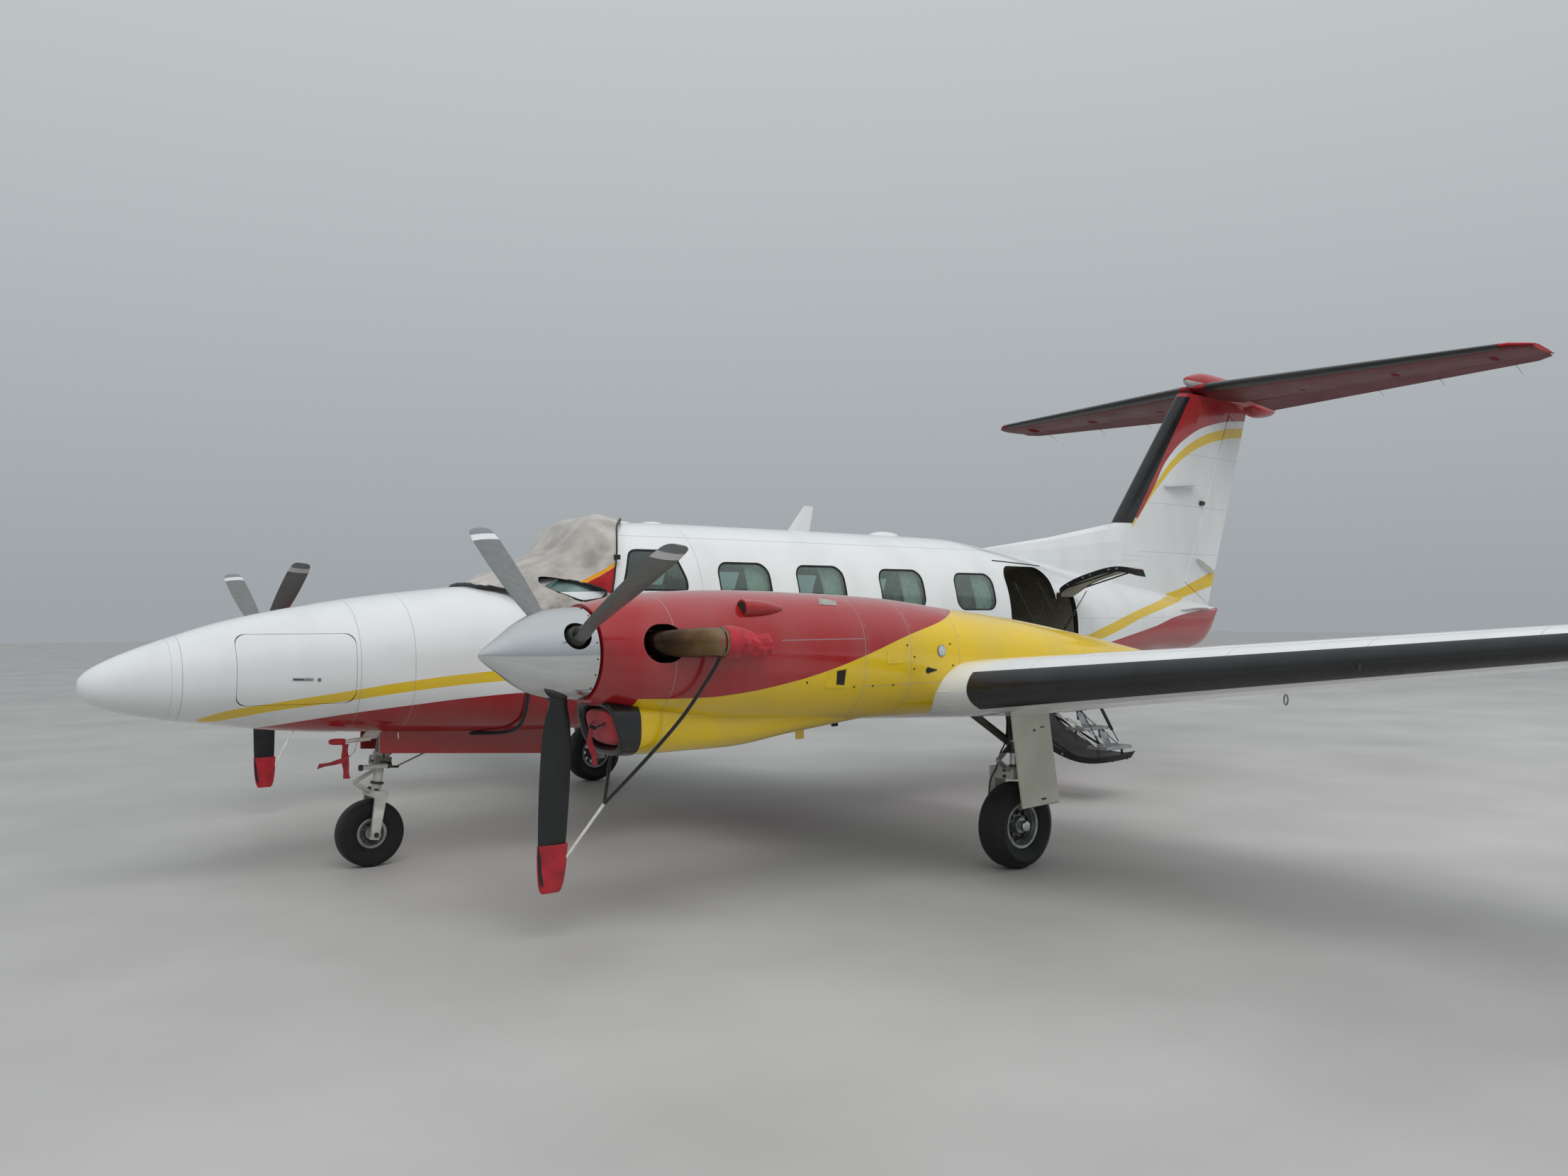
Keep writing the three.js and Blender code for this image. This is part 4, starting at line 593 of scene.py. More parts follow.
def ring_faces(n, m):
    """Faces of a closed body through n rings of m points, with a face at each end."""
    faces = [(i * m + j, i * m + (j + 1) % m, (i + 1) * m + (j + 1) % m, (i + 1) * m + j)
             for i in range(n - 1) for j in range(m)]
    return faces + [tuple(range(m)), tuple(range((n - 1) * m, n * m))]


def ring_parts(rings):
    """Vertices and faces of a closed body through rings."""
    return [tuple(point) for ring in rings for point in ring], ring_faces(len(rings), len(rings[0]))


def prism_faces(n):
    """Faces between two equal outlines of n points."""
    return [tuple(range(n)), tuple(range(n, 2 * n))] + [(i, (i + 1) % n, n + (i + 1) % n, n + i)
                                                        for i in range(n)]


def link(name, verts, faces, materials, indices=None):
    """Adds a mesh object whose faces look outward."""
    mesh = bpy.data.meshes.new(name)
    mesh.from_pydata([tuple(map(float, v)) for v in verts], [], faces)
    for material in materials:
        mesh.materials.append(material)
    if indices is not None:
        mesh.polygons.foreach_set("material_index", indices)
    shell = bmesh.new()
    shell.from_mesh(mesh)
    bmesh.ops.recalc_face_normals(shell, faces=shell.faces)
    shell.to_mesh(mesh)
    shell.free()
    piece = bpy.data.objects.new(name, mesh)
    bpy.context.scene.collection.objects.link(piece)
    return piece


def shaded(piece, angle=32):
    mesh = piece.data
    mesh.polygons.foreach_set("use_smooth", [True] * len(mesh.polygons))
    mesh.set_sharp_from_angle(angle=math.radians(angle))
    return piece


def place(piece, slot, angle=32, body="airframe"):
    """Finishes a piece: smooth shading and the body it rides on; the slot is not used."""
    shaded(piece, angle)
    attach(piece, body)
    return piece


def slab_parts(outer, inner, wrap=False):
    """Vertices and faces of a closed slab between two grids; kinds 0, 1, 2 are outer, inner and rim."""
    n, m = outer.shape[:2]
    k = n * m
    faces, kinds = [], []

    def add(kind, *corners):
        faces.append(corners)
        kinds.append(kind)

    columns = m if wrap else m - 1
    for i in range(n - 1):
        for j in range(columns):
            a, b = i * m + j, i * m + (j + 1) % m
            add(0, a, b, b + m, a + m)
            add(1, k + a, k + a + m, k + b + m, k + b)
    for j in range(columns):
        a, b = j, (j + 1) % m
        add(2, a, k + a, k + b, b)
        a, b = a + (n - 1) * m, b + (n - 1) * m
        add(2, a, b, k + b, k + a)
    if not wrap:
        for i in range(n - 1):
            a, c = i * m, (i + 1) * m
            add(2, a, c, k + c, k + a)
            a, c = a + m - 1, c + m - 1
            add(2, a, k + a, k + c, c)
    return np.concatenate([outer.reshape(-1, 3), inner.reshape(-1, 3)]), faces, kinds


def slab(name, outer, inner, materials, wrap=False):
    verts, faces, kinds = slab_parts(outer, inner, wrap)
    return link(name, verts, faces, materials, [min(kind, len(materials) - 1) for kind in kinds])


def capped(name, rings, materials):
    """A closed body through rings of equal length, with a face at each end."""
    return link(name, rings.reshape(-1, 3), ring_faces(*rings.shape[:2]), materials)


def prism_parts(outline, y0, y1):
    """An outline in X and Z, carried along Y."""
    return [(x, y, z) for y in (y0, y1) for x, z in outline], prism_faces(len(outline))


def cutter(solids, kind=0, materials=()):
    """One object of several closed solids that don't touch, each given as (vertices, faces)."""
    verts, faces = [], []
    for some_verts, some_faces in solids:
        faces += [tuple(len(verts) + i for i in face) for face in some_faces]
        verts += list(some_verts)
    return link("cutter", verts, faces, list(materials), [kind] * len(faces))


def carve(piece, tool, operation="DIFFERENCE"):
    """Cuts a tool out of a piece, or keeps what both share, or joins them; the tool is removed."""
    change = piece.modifiers.new("carve", "BOOLEAN")
    change.operation, change.object, change.solver = operation, tool, "EXACT"
    evaluated = piece.evaluated_get(bpy.context.evaluated_depsgraph_get())
    mesh = bpy.data.meshes.new_from_object(evaluated)
    piece.modifiers.clear()
    piece.data = mesh
    bpy.data.objects.remove(tool)
    return piece


def joined(name, pieces):
    """One piece of several, which are removed."""
    verts, faces, kinds, materials = [], [], [], []
    for piece in pieces:
        mesh = piece.data
        table = []
        for material in mesh.materials:
            if material not in materials:
                materials.append(material)
            table.append(materials.index(material))
        faces += [tuple(len(verts) + i for i in polygon.vertices) for polygon in mesh.polygons]
        kinds += [table[polygon.material_index] if table else 0 for polygon in mesh.polygons]
        verts += [tuple(v.co) for v in mesh.vertices]
        bpy.data.objects.remove(piece)
    return link(name, verts, faces, materials, kinds)


def box_parts(x0, x1, y0, y1, z0, z1):
    return prism_parts([(x0, z0), (x1, z0), (x1, z1), (x0, z1)], y0, y1)


def rounded(x0, x1, z0, z1, radius, steps=8):
    outline = []
    for cx, cz, start in ((x1 - radius, z1 - radius, 0), (x0 + radius, z1 - radius, 90),
                          (x0 + radius, z0 + radius, 180), (x1 - radius, z0 + radius, 270)):
        for i in range(steps + 1):
            angle = math.radians(start + 90 * i / steps)
            outline.append((cx + radius * math.cos(angle), cz + radius * math.sin(angle)))
    return outline


def softened(corners, radius, steps=6):
    """An outline with its corners rounded."""
    outline = []
    points = [np.array(c, float) for c in corners]
    for i, corner in enumerate(points):
        before, after = points[i - 1] - corner, points[(i + 1) % len(points)] - corner
        reach = min(radius, np.linalg.norm(before) * 0.45, np.linalg.norm(after) * 0.45)
        a = corner + before / np.linalg.norm(before) * reach
        b = corner + after / np.linalg.norm(after) * reach
        for k in range(steps + 1):
            t = k / steps
            outline.append(tuple((1 - t) ** 2 * a + 2 * t * (1 - t) * corner + t * t * b))
    return outline


def tube_parts(points, radius, sides=12, squash=1.0):
    """A tube through points: radius is one number or one for each point."""
    points = [Vector(p) for p in points]
    radii = [radius] * len(points) if isinstance(radius, (int, float)) else radius
    rings, normal = [], None
    for i, point in enumerate(points):
        ahead = (points[min(i + 1, len(points) - 1)] - points[max(i - 1, 0)]).normalized()
        if normal is None:
            normal = ahead.orthogonal().normalized()
        normal = (normal - ahead * normal.dot(ahead)).normalized()
        side = ahead.cross(normal)
        rings.append([point + radii[i] * (math.cos(a) * normal + squash * math.sin(a) * side)
                      for a in circle(sides)])
    return ring_parts(rings)


def curved(points, steps=8):
    """More points on a smooth line through the given ones."""
    p = [np.array(q, float) for q in points]
    p = [2 * p[0] - p[1]] + p + [2 * p[-1] - p[-2]]
    line = []
    for i in range(1, len(p) - 2):
        for k in range(steps):
            t = k / steps
            a, b, c, d = p[i - 1:i + 3]
            line.append(tuple(0.5 * (2 * b + (c - a) * t + (2 * a - 5 * b + 4 * c - d) * t * t
                                     + (3 * b - a - 3 * c + d) * t ** 3)))
    line.append(tuple(p[-2]))
    return line


def turned_parts(profile, centre, axis="X", segments=96):
    """A closed profile of (radius, place along the axis) turned about a line parallel to X or Y."""
    verts = []
    for angle in circle(segments):
        c, s = math.cos(angle), math.sin(angle)
        for radius, at in profile:
            if axis == "X":
                verts.append((at, centre[1] + radius * c, centre[2] + radius * s))
            else:
                verts.append((centre[0] + radius * c, at, centre[2] + radius * s))
    m = len(profile)
    faces = [(k * m + j, k * m + (j + 1) % m, ((k + 1) % segments) * m + (j + 1) % m,
              ((k + 1) % segments) * m + j) for k in range(segments) for j in range(m)]
    return verts, faces


def solid(name, parts, materials):
    """One piece of several closed parts, each (vertices, faces) or (vertices, faces, material index)."""
    verts, faces, kinds = [], [], []
    for part in parts:
        some_verts, some_faces = part[0], part[1]
        faces += [tuple(len(verts) + i for i in face) for face in some_faces]
        kinds += [part[2] if len(part) > 2 else 0] * len(some_faces)
        verts += list(some_verts)
    piece = link(name, verts, faces, materials, kinds)
    clean = bmesh.new()
    clean.from_mesh(piece.data)
    bmesh.ops.remove_doubles(clean, verts=clean.verts, dist=1e-6)
    bmesh.ops.dissolve_degenerate(clean, edges=clean.edges, dist=1e-7)
    clean.to_mesh(piece.data)
    clean.free()
    return piece


def mirrored_part(part):
    """The starboard twin of a port part."""
    return ([(x, -y, z) for x, y, z in part[0]], [tuple(reversed(face)) for face in part[1]], *part[2:])


# Fuselage

RING = [k * 5.0 for k in range(72)]
NOSE_TIP, RADOME_END, COCKPIT_FRONT, CABIN_END, TAIL_END = -6.615, -6.15, -4.10, 1.90, 5.135
# Wall, gap round the doors, and how far cuts through the wall reach outward and inward
CABIN_WALL, DOOR_GAP, REACH, WALL_CUT = 0.055, 0.009, 0.9, 0.25
CABIN_WINDOWS = [(-2.46, -1.96, 1.715, 2.08), (-1.70, -1.19, 1.712, 2.072), (-0.81, -0.29, 1.708, 2.058),
                 (0.09, 0.61, 1.702, 2.04)]
WINDOW_CORNER = 0.105
COCKPIT_SIDE = [(-3.31, 1.85), (-2.748, 1.85), (-2.742, 1.93), (-2.80, 2.12), (-2.85, 2.16), (-3.18, 2.16)]
COCKPIT_CORNER = [(-3.90, 1.838), (-3.39, 1.845), (-3.28, 2.125), (-3.42, 2.085)]
WINDSCREEN = [(-3.88, 0.04), (-3.88, 0.33), (-3.72, 0.38), (-3.28, 0.395), (-3.25, 0.04)]
STAIR_DOOR = (0.800, 1.532, 0.942, 2.120, 0.150)
CARGO_DOOR = (1.540, 1.862, 1.040, 1.872, 0.060)
NOSE_DOOR = (-5.810, -5.130, 1.130, 1.570, 0.060)


CABIN_MATERIALS = [fuselage_paint, lining_cloth, dark_cavity]
NOSE_MATERIALS = [fuselage_paint, dark_cavity]
NOSE_DOOR_MATERIALS = [fuselage_paint, dark_cavity, fuselage_paint]


def door_outline(door, shrink):
    x0, x1, z0, z1, corner = door
    return rounded(x0 + shrink, x1 - shrink, z0 + shrink, z1 - shrink, corner + shrink * 3.4)


def stations(x0, x1, step=0.09):
    return np.linspace(x0, x1, max(2, int(round((x1 - x0) / step)) + 1))


def window_outlines():
    outlines = [rounded(x0, x1, z0, z1, WINDOW_CORNER) for x0, x1, z0, z1 in CABIN_WINDOWS]
    return outlines + [softened(COCKPIT_SIDE, 0.07), softened(COCKPIT_CORNER, 0.04)]


nose_places = NOSE_TIP + np.linspace(0.0, math.sqrt(RADOME_END - 0.001 - NOSE_TIP), 22) ** 2
radome = capped("radome_shell", fuselage_form.grid(nose_places, RING), [white_paint])
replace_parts(place(radome, "radome_plastic"), "radome")

# The nose has its baggage doorway, the bay of the nose wheel and the baggage space
nose = capped("nose_skin", fuselage_form.grid(stations(RADOME_END, COCKPIT_FRONT - 0.0003), RING),
              NOSE_MATERIALS)
nose_doorway = prism_parts(door_outline(NOSE_DOOR, 0), -REACH, -0.20)
wheel_bay = box_parts(-4.13 - 1.02, -4.13, -0.15, 0.15, 0.70, 1.13)
carve(nose, cutter([nose_doorway, wheel_bay], 1, NOSE_MATERIALS))
carve(nose, cutter([box_parts(-5.77, -5.17, -0.33, -0.06, 1.16, 1.53)], 1, NOSE_MATERIALS))
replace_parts(place(nose, "white_paint"), "nose_section")


def skin_patch(name, x0, x1, a0, a1, outer, inner, materials, step=0.06, turn=4.0):
    xs = stations(x0, x1, step)
    angles = np.linspace(a0, a1, int(round((a1 - a0) / turn)) + 1)
    return slab(name, fuselage_form.grid(xs, angles, outer), fuselage_form.grid(xs, angles, inner), materials)


nose_door = skin_patch("nose_baggage_door_leaf", -5.95, -5.0, 110, 240, 0.0, 0.022, NOSE_DOOR_MATERIALS)
nose_door_cut = prism_parts(door_outline(NOSE_DOOR, 0.0022), -REACH, 0.0)
carve(nose_door, cutter([nose_door_cut], 2, NOSE_DOOR_MATERIALS), "INTERSECT")
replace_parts(place(nose_door, "white_paint", body="nose_baggage_door"), "nose_baggage_door")

cabin_places = stations(COCKPIT_FRONT, CABIN_END)
cabin = slab("cabin_skin", fuselage_form.grid(cabin_places, RING),
             fuselage_form.grid(cabin_places, RING, CABIN_WALL), CABIN_MATERIALS, True)
side_cuts = [prism_parts(outline, -REACH, -WALL_CUT) for outline in window_outlines()]
side_cuts += [prism_parts(outline, WALL_CUT, REACH) for outline in window_outlines()]
side_cuts += [prism_parts(door_outline(STAIR_DOOR, 0), -REACH, -WALL_CUT)]
windscreen_cuts = [([(x, side * y, z) for z in (1.80, 2.60) for x, y in WINDSCREEN],
                    prism_faces(len(WINDSCREEN))) for side in (1, -1)]
cargo_cut = prism_parts(door_outline(CARGO_DOOR, 0), -REACH, -WALL_CUT)
sill_cut = box_parts(1.442, 1.61, -REACH, -WALL_CUT, 1.04, 1.812)
for cuts in (side_cuts, windscreen_cuts, [cargo_cut], [sill_cut]):
    carve(cabin, cutter(cuts, 2, CABIN_MATERIALS))
place(cabin, "white_paint")
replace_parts(cabin, "cabin_side_left", "cabin_side_right", "cabin_roof", "cabin_belly")

tail_places = stations(CABIN_END + 0.0003, TAIL_END)
tail = capped("tail_cone_skin", fuselage_form.grid(tail_places, RING), [fuselage_paint])
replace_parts(place(tail, "white_paint"), "tail_cone")

# Blade antenna on the roof: its section, then height, leading and trailing edge of each ring
ANTENNA_SECTION = [(0, 0), (0.12, 0.8), (0.4, 1), (0.75, 0.6), (1, 0), (0.75, -0.6), (0.4, -1), (0.12, -0.8)]
antenna_rings = []
for z, lead, trail in ((2.36, -1.30, -1.035), (2.60, -1.10, -0.985), (2.618, -1.083, -0.99)):
    thick = 0.0105 * (2.64 - z) / 0.2 if z > 2.5 else 0.0125
    antenna_rings.append([(lead + (trail - lead) * s, t * thick, z) for s, t in ANTENNA_SECTION])
antenna = capped("roof_blade_antenna", np.array(antenna_rings), [white_paint])
place(antenna, "white_paint")


def blister_parts(form, x, degrees, length, width, height, sink=0.004):
    """A low streamlined blister on a skin."""
    origin, aft, around, out = form.frame(x, degrees)
    rings = []
    for share in np.linspace(0.04, 0.98, 8):
        size, lift = math.sin(share * math.pi / 2), math.cos(share * math.pi / 2)
        rings.append([tuple(origin + out * (height * lift - sink) + size * (aft * math.cos(a) * length / 2
                            + around * math.sin(a) * width / 2)) for a in circle(24)])
    rings.append([tuple(Vector(p) - out * 0.012) for p in rings[-1]])
    return ring_parts(rings)


# Domes on the roof: place, length, width and height
for name, x, length, width, height in (("roof_navigation_dome", -0.14, 0.36, 0.16, 0.045),
                                       ("roof_beacon_base_front", -2.93, 0.17, 0.10, 0.02),
                                       ("roof_beacon_base_rear", -2.64, 0.19, 0.11, 0.022)):
    dome = solid(name, [blister_parts(fuselage_form, x, 90, length, width, height)], [white_paint])
    place(dome, "white_paint", 50)

# Windows: a flush pane in a black seal in each opening

def grown(outline, amount):
    """An outline moved outward by an amount."""
    centre = np.mean(outline, axis=0)
    moved = []
    for i, point in enumerate(outline):
        tangent = np.array(outline[(i + 1) % len(outline)]) - np.array(outline[i - 1])
        normal = np.array((tangent[1], -tangent[0])) / (np.linalg.norm(tangent) + 1e-9)
        if normal @ (np.array(point) - centre) < 0:
            normal = -normal
        moved.append(tuple(np.array(point) + normal * amount))
    return moved


# Gap round a pane, overlap of a seal, width of a seal, and depths of both below the skin
PANE_GAP, SEAL_OVERLAP, SEAL_WIDTH = 0.0005, 0.0024, 0.014
PANE_DEPTHS, SEAL_DEPTHS = (0.003, 0.010), (0.0005, 0.014)


def glaze(name, outlines, first_turn, last_turn, node_name):
    """Panes and seals of one side; the pane stands for the node's glass."""
    x0 = min(p[0] for o in outlines for p in o) - 0.05
    x1 = max(p[0] for o in outlines for p in o) + 0.05
    side = -1 if first_turn > 90 else 1
    reach = sorted((side * 0.2, side * REACH))

    def shapes(amount):
        return cutter([prism_parts(grown(outline, amount), *reach) for outline in outlines])

    panes = skin_patch(f"{name}_panes", x0, x1, first_turn, last_turn, *PANE_DEPTHS, [window_acrylic])
    carve(panes, shapes(-PANE_GAP), "INTERSECT")
    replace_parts(place(panes, "pane"), node_name)
    seals = skin_patch(f"{name}_seals", x0, x1, first_turn, last_turn, *SEAL_DEPTHS, [seal_rubber])
    carve(seals, shapes(-SEAL_OVERLAP), "INTERSECT")
    carve(seals, shapes(-SEAL_WIDTH))
    place(seals, "pane")


glaze("port_window", window_outlines(), 110, 180, "window_glass_left")
glaze("starboard_window", window_outlines(), 0, 70, "window_glass_right")

# Doors, made closed in their openings and swung about their hinges

def hinge_of(joint_name):
    joint = next(j for j in frame["joints"] if j["name"] == joint_name)
    return Vector(joint["pos_m"]), Vector(joint["axis"]).normalized()


def opened(joint_name):
    """The turn about a door's hinge from shut to open."""
    at, axis = hinge_of(joint_name)
    turn = Matrix.Rotation(math.radians(OPEN_DEGREES[joint_name]), 4, axis)
    return Matrix.Translation(at) @ turn @ Matrix.Translation(-at)


def swing_parts(parts, joint_name):
    turn = opened(joint_name)
    return [([tuple(turn @ Vector(v)) for v in part[0]], *part[1:]) for part in parts]


OPEN_DEGREES = {"airstair_hinge": 120, "cargo_door_hinge": -106}
LEAF_DEPTH = 0.047


def shut_paint(name, joint_name):
    """Paint whose bands meet those of the fuselage when the door is shut."""
    return painted(name, fuselage_areas, swing=(*hinge_of(joint_name), -OPEN_DEGREES[joint_name]))


def leaf(name, door, materials, joint_name):
    """A door's leaf, cut from a patch of the skin and swung open."""
    sheet = skin_patch(name, door[0] - 0.06, door[1] + 0.06, 118, 246, 0.0, LEAF_DEPTH, materials, 0.05, 3.0)
    tool = cutter([prism_parts(door_outline(door, DOOR_GAP), -REACH, -0.2)], 2, materials)
    carve(sheet, tool, "INTERSECT")
    sheet.data.transform(opened(joint_name))
    return sheet


def edge_strip(door, depth, radius, inset, joint_name):
    """Raised rubber strip round a door's inner face, following its outline."""
    outline = door_outline(door, DOOR_GAP + inset)
    points = [(x, fuselage_form.side(x, z, depth), z) for x, z in outline]
    return swing_parts([tube_parts(points + points[:1], radius, 8)], joint_name)


stair_paint = shut_paint("polyurethane_gloss_paint_stair_door", "airstair_hinge")
cargo_paint = shut_paint("polyurethane_gloss_paint_cargo_door", "cargo_door_hinge")
stair_leaf = leaf("airstair_leaf", STAIR_DOOR, [stair_paint, door_panel, seal_rubber], "airstair_hinge")
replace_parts(place(stair_leaf, "white_paint", body="airstair"), "airstair_door")
strips = edge_strip(STAIR_DOOR, LEAF_DEPTH, 0.011, 0.014, "airstair_hinge")
place(solid("airstair_seal", strips, [seal_rubber]), "white_paint", body="airstair")

cargo_leaf = leaf("cargo_door_leaf", CARGO_DOOR, [cargo_paint, cream_panel, seal_rubber], "cargo_door_hinge")
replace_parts(place(cargo_leaf, "white_paint", body="cargo_door"), "cargo_door")
strips = edge_strip(CARGO_DOOR, 0.044, 0.007, 0.012, "cargo_door_hinge")
place(solid("cargo_door_seal", strips, [seal_rubber]), "white_paint", body="cargo_door")


def latch_parts(places, joint_name):
    """Latch fittings on a door's edge: small plates with a round boss."""
    parts = []
    for x, z in places:
        y = fuselage_form.side(x, z, LEAF_DEPTH * 0.45)
        parts.append((*box_parts(x - 0.003, x + 0.012, y - 0.014, y + 0.012, z - 0.016, z + 0.016), 0))
        boss = [(0.0, x - 0.005), (0.008, x - 0.005), (0.008, x + 0.012), (0.0, x + 0.012)]
        parts.append((*turned_parts(boss, (x, y, z), "X", 12), 1))
    return swing_parts(parts, joint_name)


stair_edge, cargo_edge = STAIR_DOOR[0] + DOOR_GAP, CARGO_DOOR[0] + DOOR_GAP
stair_latches = [(stair_edge, z) for z in (1.25, 1.36, 1.62, 1.78)] + [(1.05, 2.100), (1.3, 2.100)]
cargo_latches = [(cargo_edge, z) for z in (1.18, 1.26, 1.46, 1.54, 1.72)]
for body, places, joint_name in (("airstair", stair_latches, "airstair_hinge"),
                                 ("cargo_door", cargo_latches, "cargo_door_hinge")):
    latches = solid(f"{body}_latches", latch_parts(places, joint_name), [dark_enamel, cast_aluminium])
    place(latches, "bare_metal", body=body)

# Airstair steps: ribbed treads on two rails, with infill plates and posts
TREADS = [(-1.075, 0.800), (-1.320, 0.646), (-1.562, 0.494)]
TREAD_X0, TREAD_X1, TREAD_DEPTH, RAIL = 1.040, 1.400, 0.210, 0.024


def step_parts():
    """Treads with their ribs, rails, posts and infill plates, as they hang when the stair is open."""
    parts = []
    for y, z in TREADS:
        outline = rounded(y, y + TREAD_DEPTH, z - 0.026, z, 0.006, 2)
        parts.append(([(x, a, b) for x in (TREAD_X0, TREAD_X1) for a, b in outline],
                      prism_faces(len(outline)), 0))
        for k in range(9):
            a = y + 0.014 + k * (TREAD_DEPTH - 0.028) / 8
            parts.append((*box_parts(TREAD_X0 + 0.008, TREAD_X1 - 0.008, a - 0.004, a + 0.004, z,
                                     z + 0.0035), 0))
    middles = [(y + TREAD_DEPTH / 2, z - 0.013) for y, z in TREADS]
    for x in (TREAD_X0 + RAIL / 2, TREAD_X1 - RAIL / 2):
        parts.append((*tube_parts([(x, *middles[0]), (x, *middles[-1])], 0.011, 12), 1))
        for a, b in middles:
            parts.append((*tube_parts([(x, a, b), (x, a - 0.014, b - 0.105)], 0.010, 10), 2))
    for (a, b), (c, d) in zip(middles[:-1], middles[1:]):
        x = TREAD_X1 - 0.03
        verts = [(x - 0.10, a - 0.09, b - 0.03), (x, a - 0.09, b - 0.03), (x, c + 0.10, d + 0.02),
                 (x - 0.10, c + 0.10, d + 0.02)]
        verts += [(p, q, r - 0.004) for p, q, r in verts]
        parts.append((verts, prism_faces(4), 0))
    return parts


steps = solid("airstair_treads", step_parts(), [cast_aluminium, chrome, dark_enamel])
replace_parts(place(steps, "bare_metal", body="airstair"), "airstair_steps")
arm = [tube_parts([(1.10, -0.87, 0.78), (1.13, -1.30, 0.62), (1.15, -1.50, 0.46)], 0.006, 8),
       tube_parts([(1.08, -1.10, 0.73), (1.24, -1.38, 0.53)], 0.005, 8)]
place(solid("airstair_links", arm, [chrome]), "bare_metal", body="airstair")

# Nacelles

NACELLE_MATERIALS = [nacelle_paint, dark_cavity]


def nacelle_solid(name):
    """The port cowl with its chin, intake duct, exhaust holes, spindle hole and engine bay."""
    places = np.concatenate([stations(-4.735, -4.30, 0.04), stations(-4.25, -0.10, 0.08),
                             stations(-0.05, 0.10, 0.05)])
    shell = capped(name, PORT_NACELLE.grid(places, RING), NACELLE_MATERIALS)
    chin_places = np.concatenate([stations(-4.74, -4.40, 0.04), stations(-4.36, -2.87, 0.07)])
    chin = capped("chin", PORT_CHIN.grid(chin_places, RING), NACELLE_MATERIALS)
    mouth = [(-4.90, 0.70), (-4.560, 0.70), (-4.560, 0.922), (-4.655, 1.232), (-4.70, 1.30), (-4.90, 1.30)]
    carve(chin, cutter([prism_parts(mouth, -ENGINE_Y - 0.4, -ENGINE_Y + 0.4)], 0, [nacelle_paint]))
    carve(shell, chin, "UNION")
    duct_places = stations(-4.76, -4.12, 0.06)
    duct_places[0] = -4.74
    duct = capped("duct", PORT_CHIN.grid(duct_places, RING, 0.022), NACELLE_MATERIALS)
    duct.data.polygons.foreach_set("material_index", [1] * len(duct.data.polygons))
    carve(shell, duct)
    exhaust_hole = rounded(-4.548, -4.325, 1.431, 1.629, 0.0985, 10)
    carve(shell, cutter([prism_parts(exhaust_hole, -ENGINE_Y - 0.5, -ENGINE_Y + 0.5)], 1, NACELLE_MATERIALS))
    spindle = turned_parts([(0.0, -4.80), (0.195, -4.80), (0.195, -4.60), (0.0, -4.60)], PORT_SHAFT, "X", 48)
    carve(shell, solid("spindle", [(*spindle, 1)], NACELLE_MATERIALS))
    bay = [(-4.56, 1.31), (-2.80, 1.31), (-2.80, 1.64), (-4.56, 1.64)]
    carve(shell, cutter([prism_parts(bay, -ENGINE_Y - 0.22, -ENGINE_Y + 0.22)], 1, NACELLE_MATERIALS))
    return shell


def flipped(piece, name):
    """The starboard twin of a port piece."""
    twin = bpy.data.objects.new(name, piece.data.copy())
    twin.data.transform(Matrix.Scale(-1, 4, (0, 1, 0)))
    twin.data.flip_normals()
    bpy.context.scene.collection.objects.link(twin)
    return twin


port_nacelle = nacelle_solid("nacelle_cowl_left")
starboard_nacelle = flipped(port_nacelle, "nacelle_cowl_right")
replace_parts(place(port_nacelle, "red_paint", 40), "nacelle_left")
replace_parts(place(starboard_nacelle, "red_paint", 40), "nacelle_right")


def twins(name, parts, materials, slot, angle=32, body="airframe"):
    """A piece on the port side and its twin on the starboard side."""
    left = solid(f"{name}_left", parts, materials)
    right = solid(f"{name}_right", [mirrored_part(part) for part in parts], materials)
    for piece in (left, right):
        place(piece, slot, angle, body)
    return left, right


# Exhaust stacks: bent tubes with a rolled end ring, from a can across the engine
STACK_PATH = [(-4.455, 0.12, 1.53), (-4.450, 0.30, 1.53), (-4.365, 0.42, 1.532), (-4.182, 0.487, 1.534)]
STACK_RING = [(0.070, -4.198), (0.077, -4.198), (0.079, -4.190), (0.079, -4.182), (0.070, -4.182)]
STACK_Y, STACK_Z = 0.488, 1.534


def exhaust():
    """The port engine's two stacks and its can."""
    pieces = []
    for side in (1, -1):
        path = curved([(x, -ENGINE_Y + side * reach, z) for x, reach, z in STACK_PATH], 10)
        radii = [0.054 + 0.022 * min(1.0, i / (len(path) * 0.8)) for i in range(len(path))]
        ring = turned_parts(STACK_RING, (0, -ENGINE_Y + side * STACK_Y, STACK_Z), "X", 48)
        pieces += [solid("stack", [tube_parts(path, radii, 32)], [exhaust_steel]),
                   solid("ring", [ring], [exhaust_steel])]
    low, high = -ENGINE_Y - 0.238, -ENGINE_Y + 0.238
    can = turned_parts([(0.0, low), (0.098, low), (0.098, high), (0.0, high)], (-4.455, 0, 1.50), "Y", 40)
    pieces.append(solid("can", [can], [exhaust_steel]))
    return joined("exhaust_port_engine", pieces)


port_exhaust = exhaust()
starboard_exhaust = flipped(port_exhaust, "exhaust_starboard_engine")
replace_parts(place(port_exhaust, "exhaust_steel"), "exhaust_left")
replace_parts(place(starboard_exhaust, "exhaust_steel"), "exhaust_right")

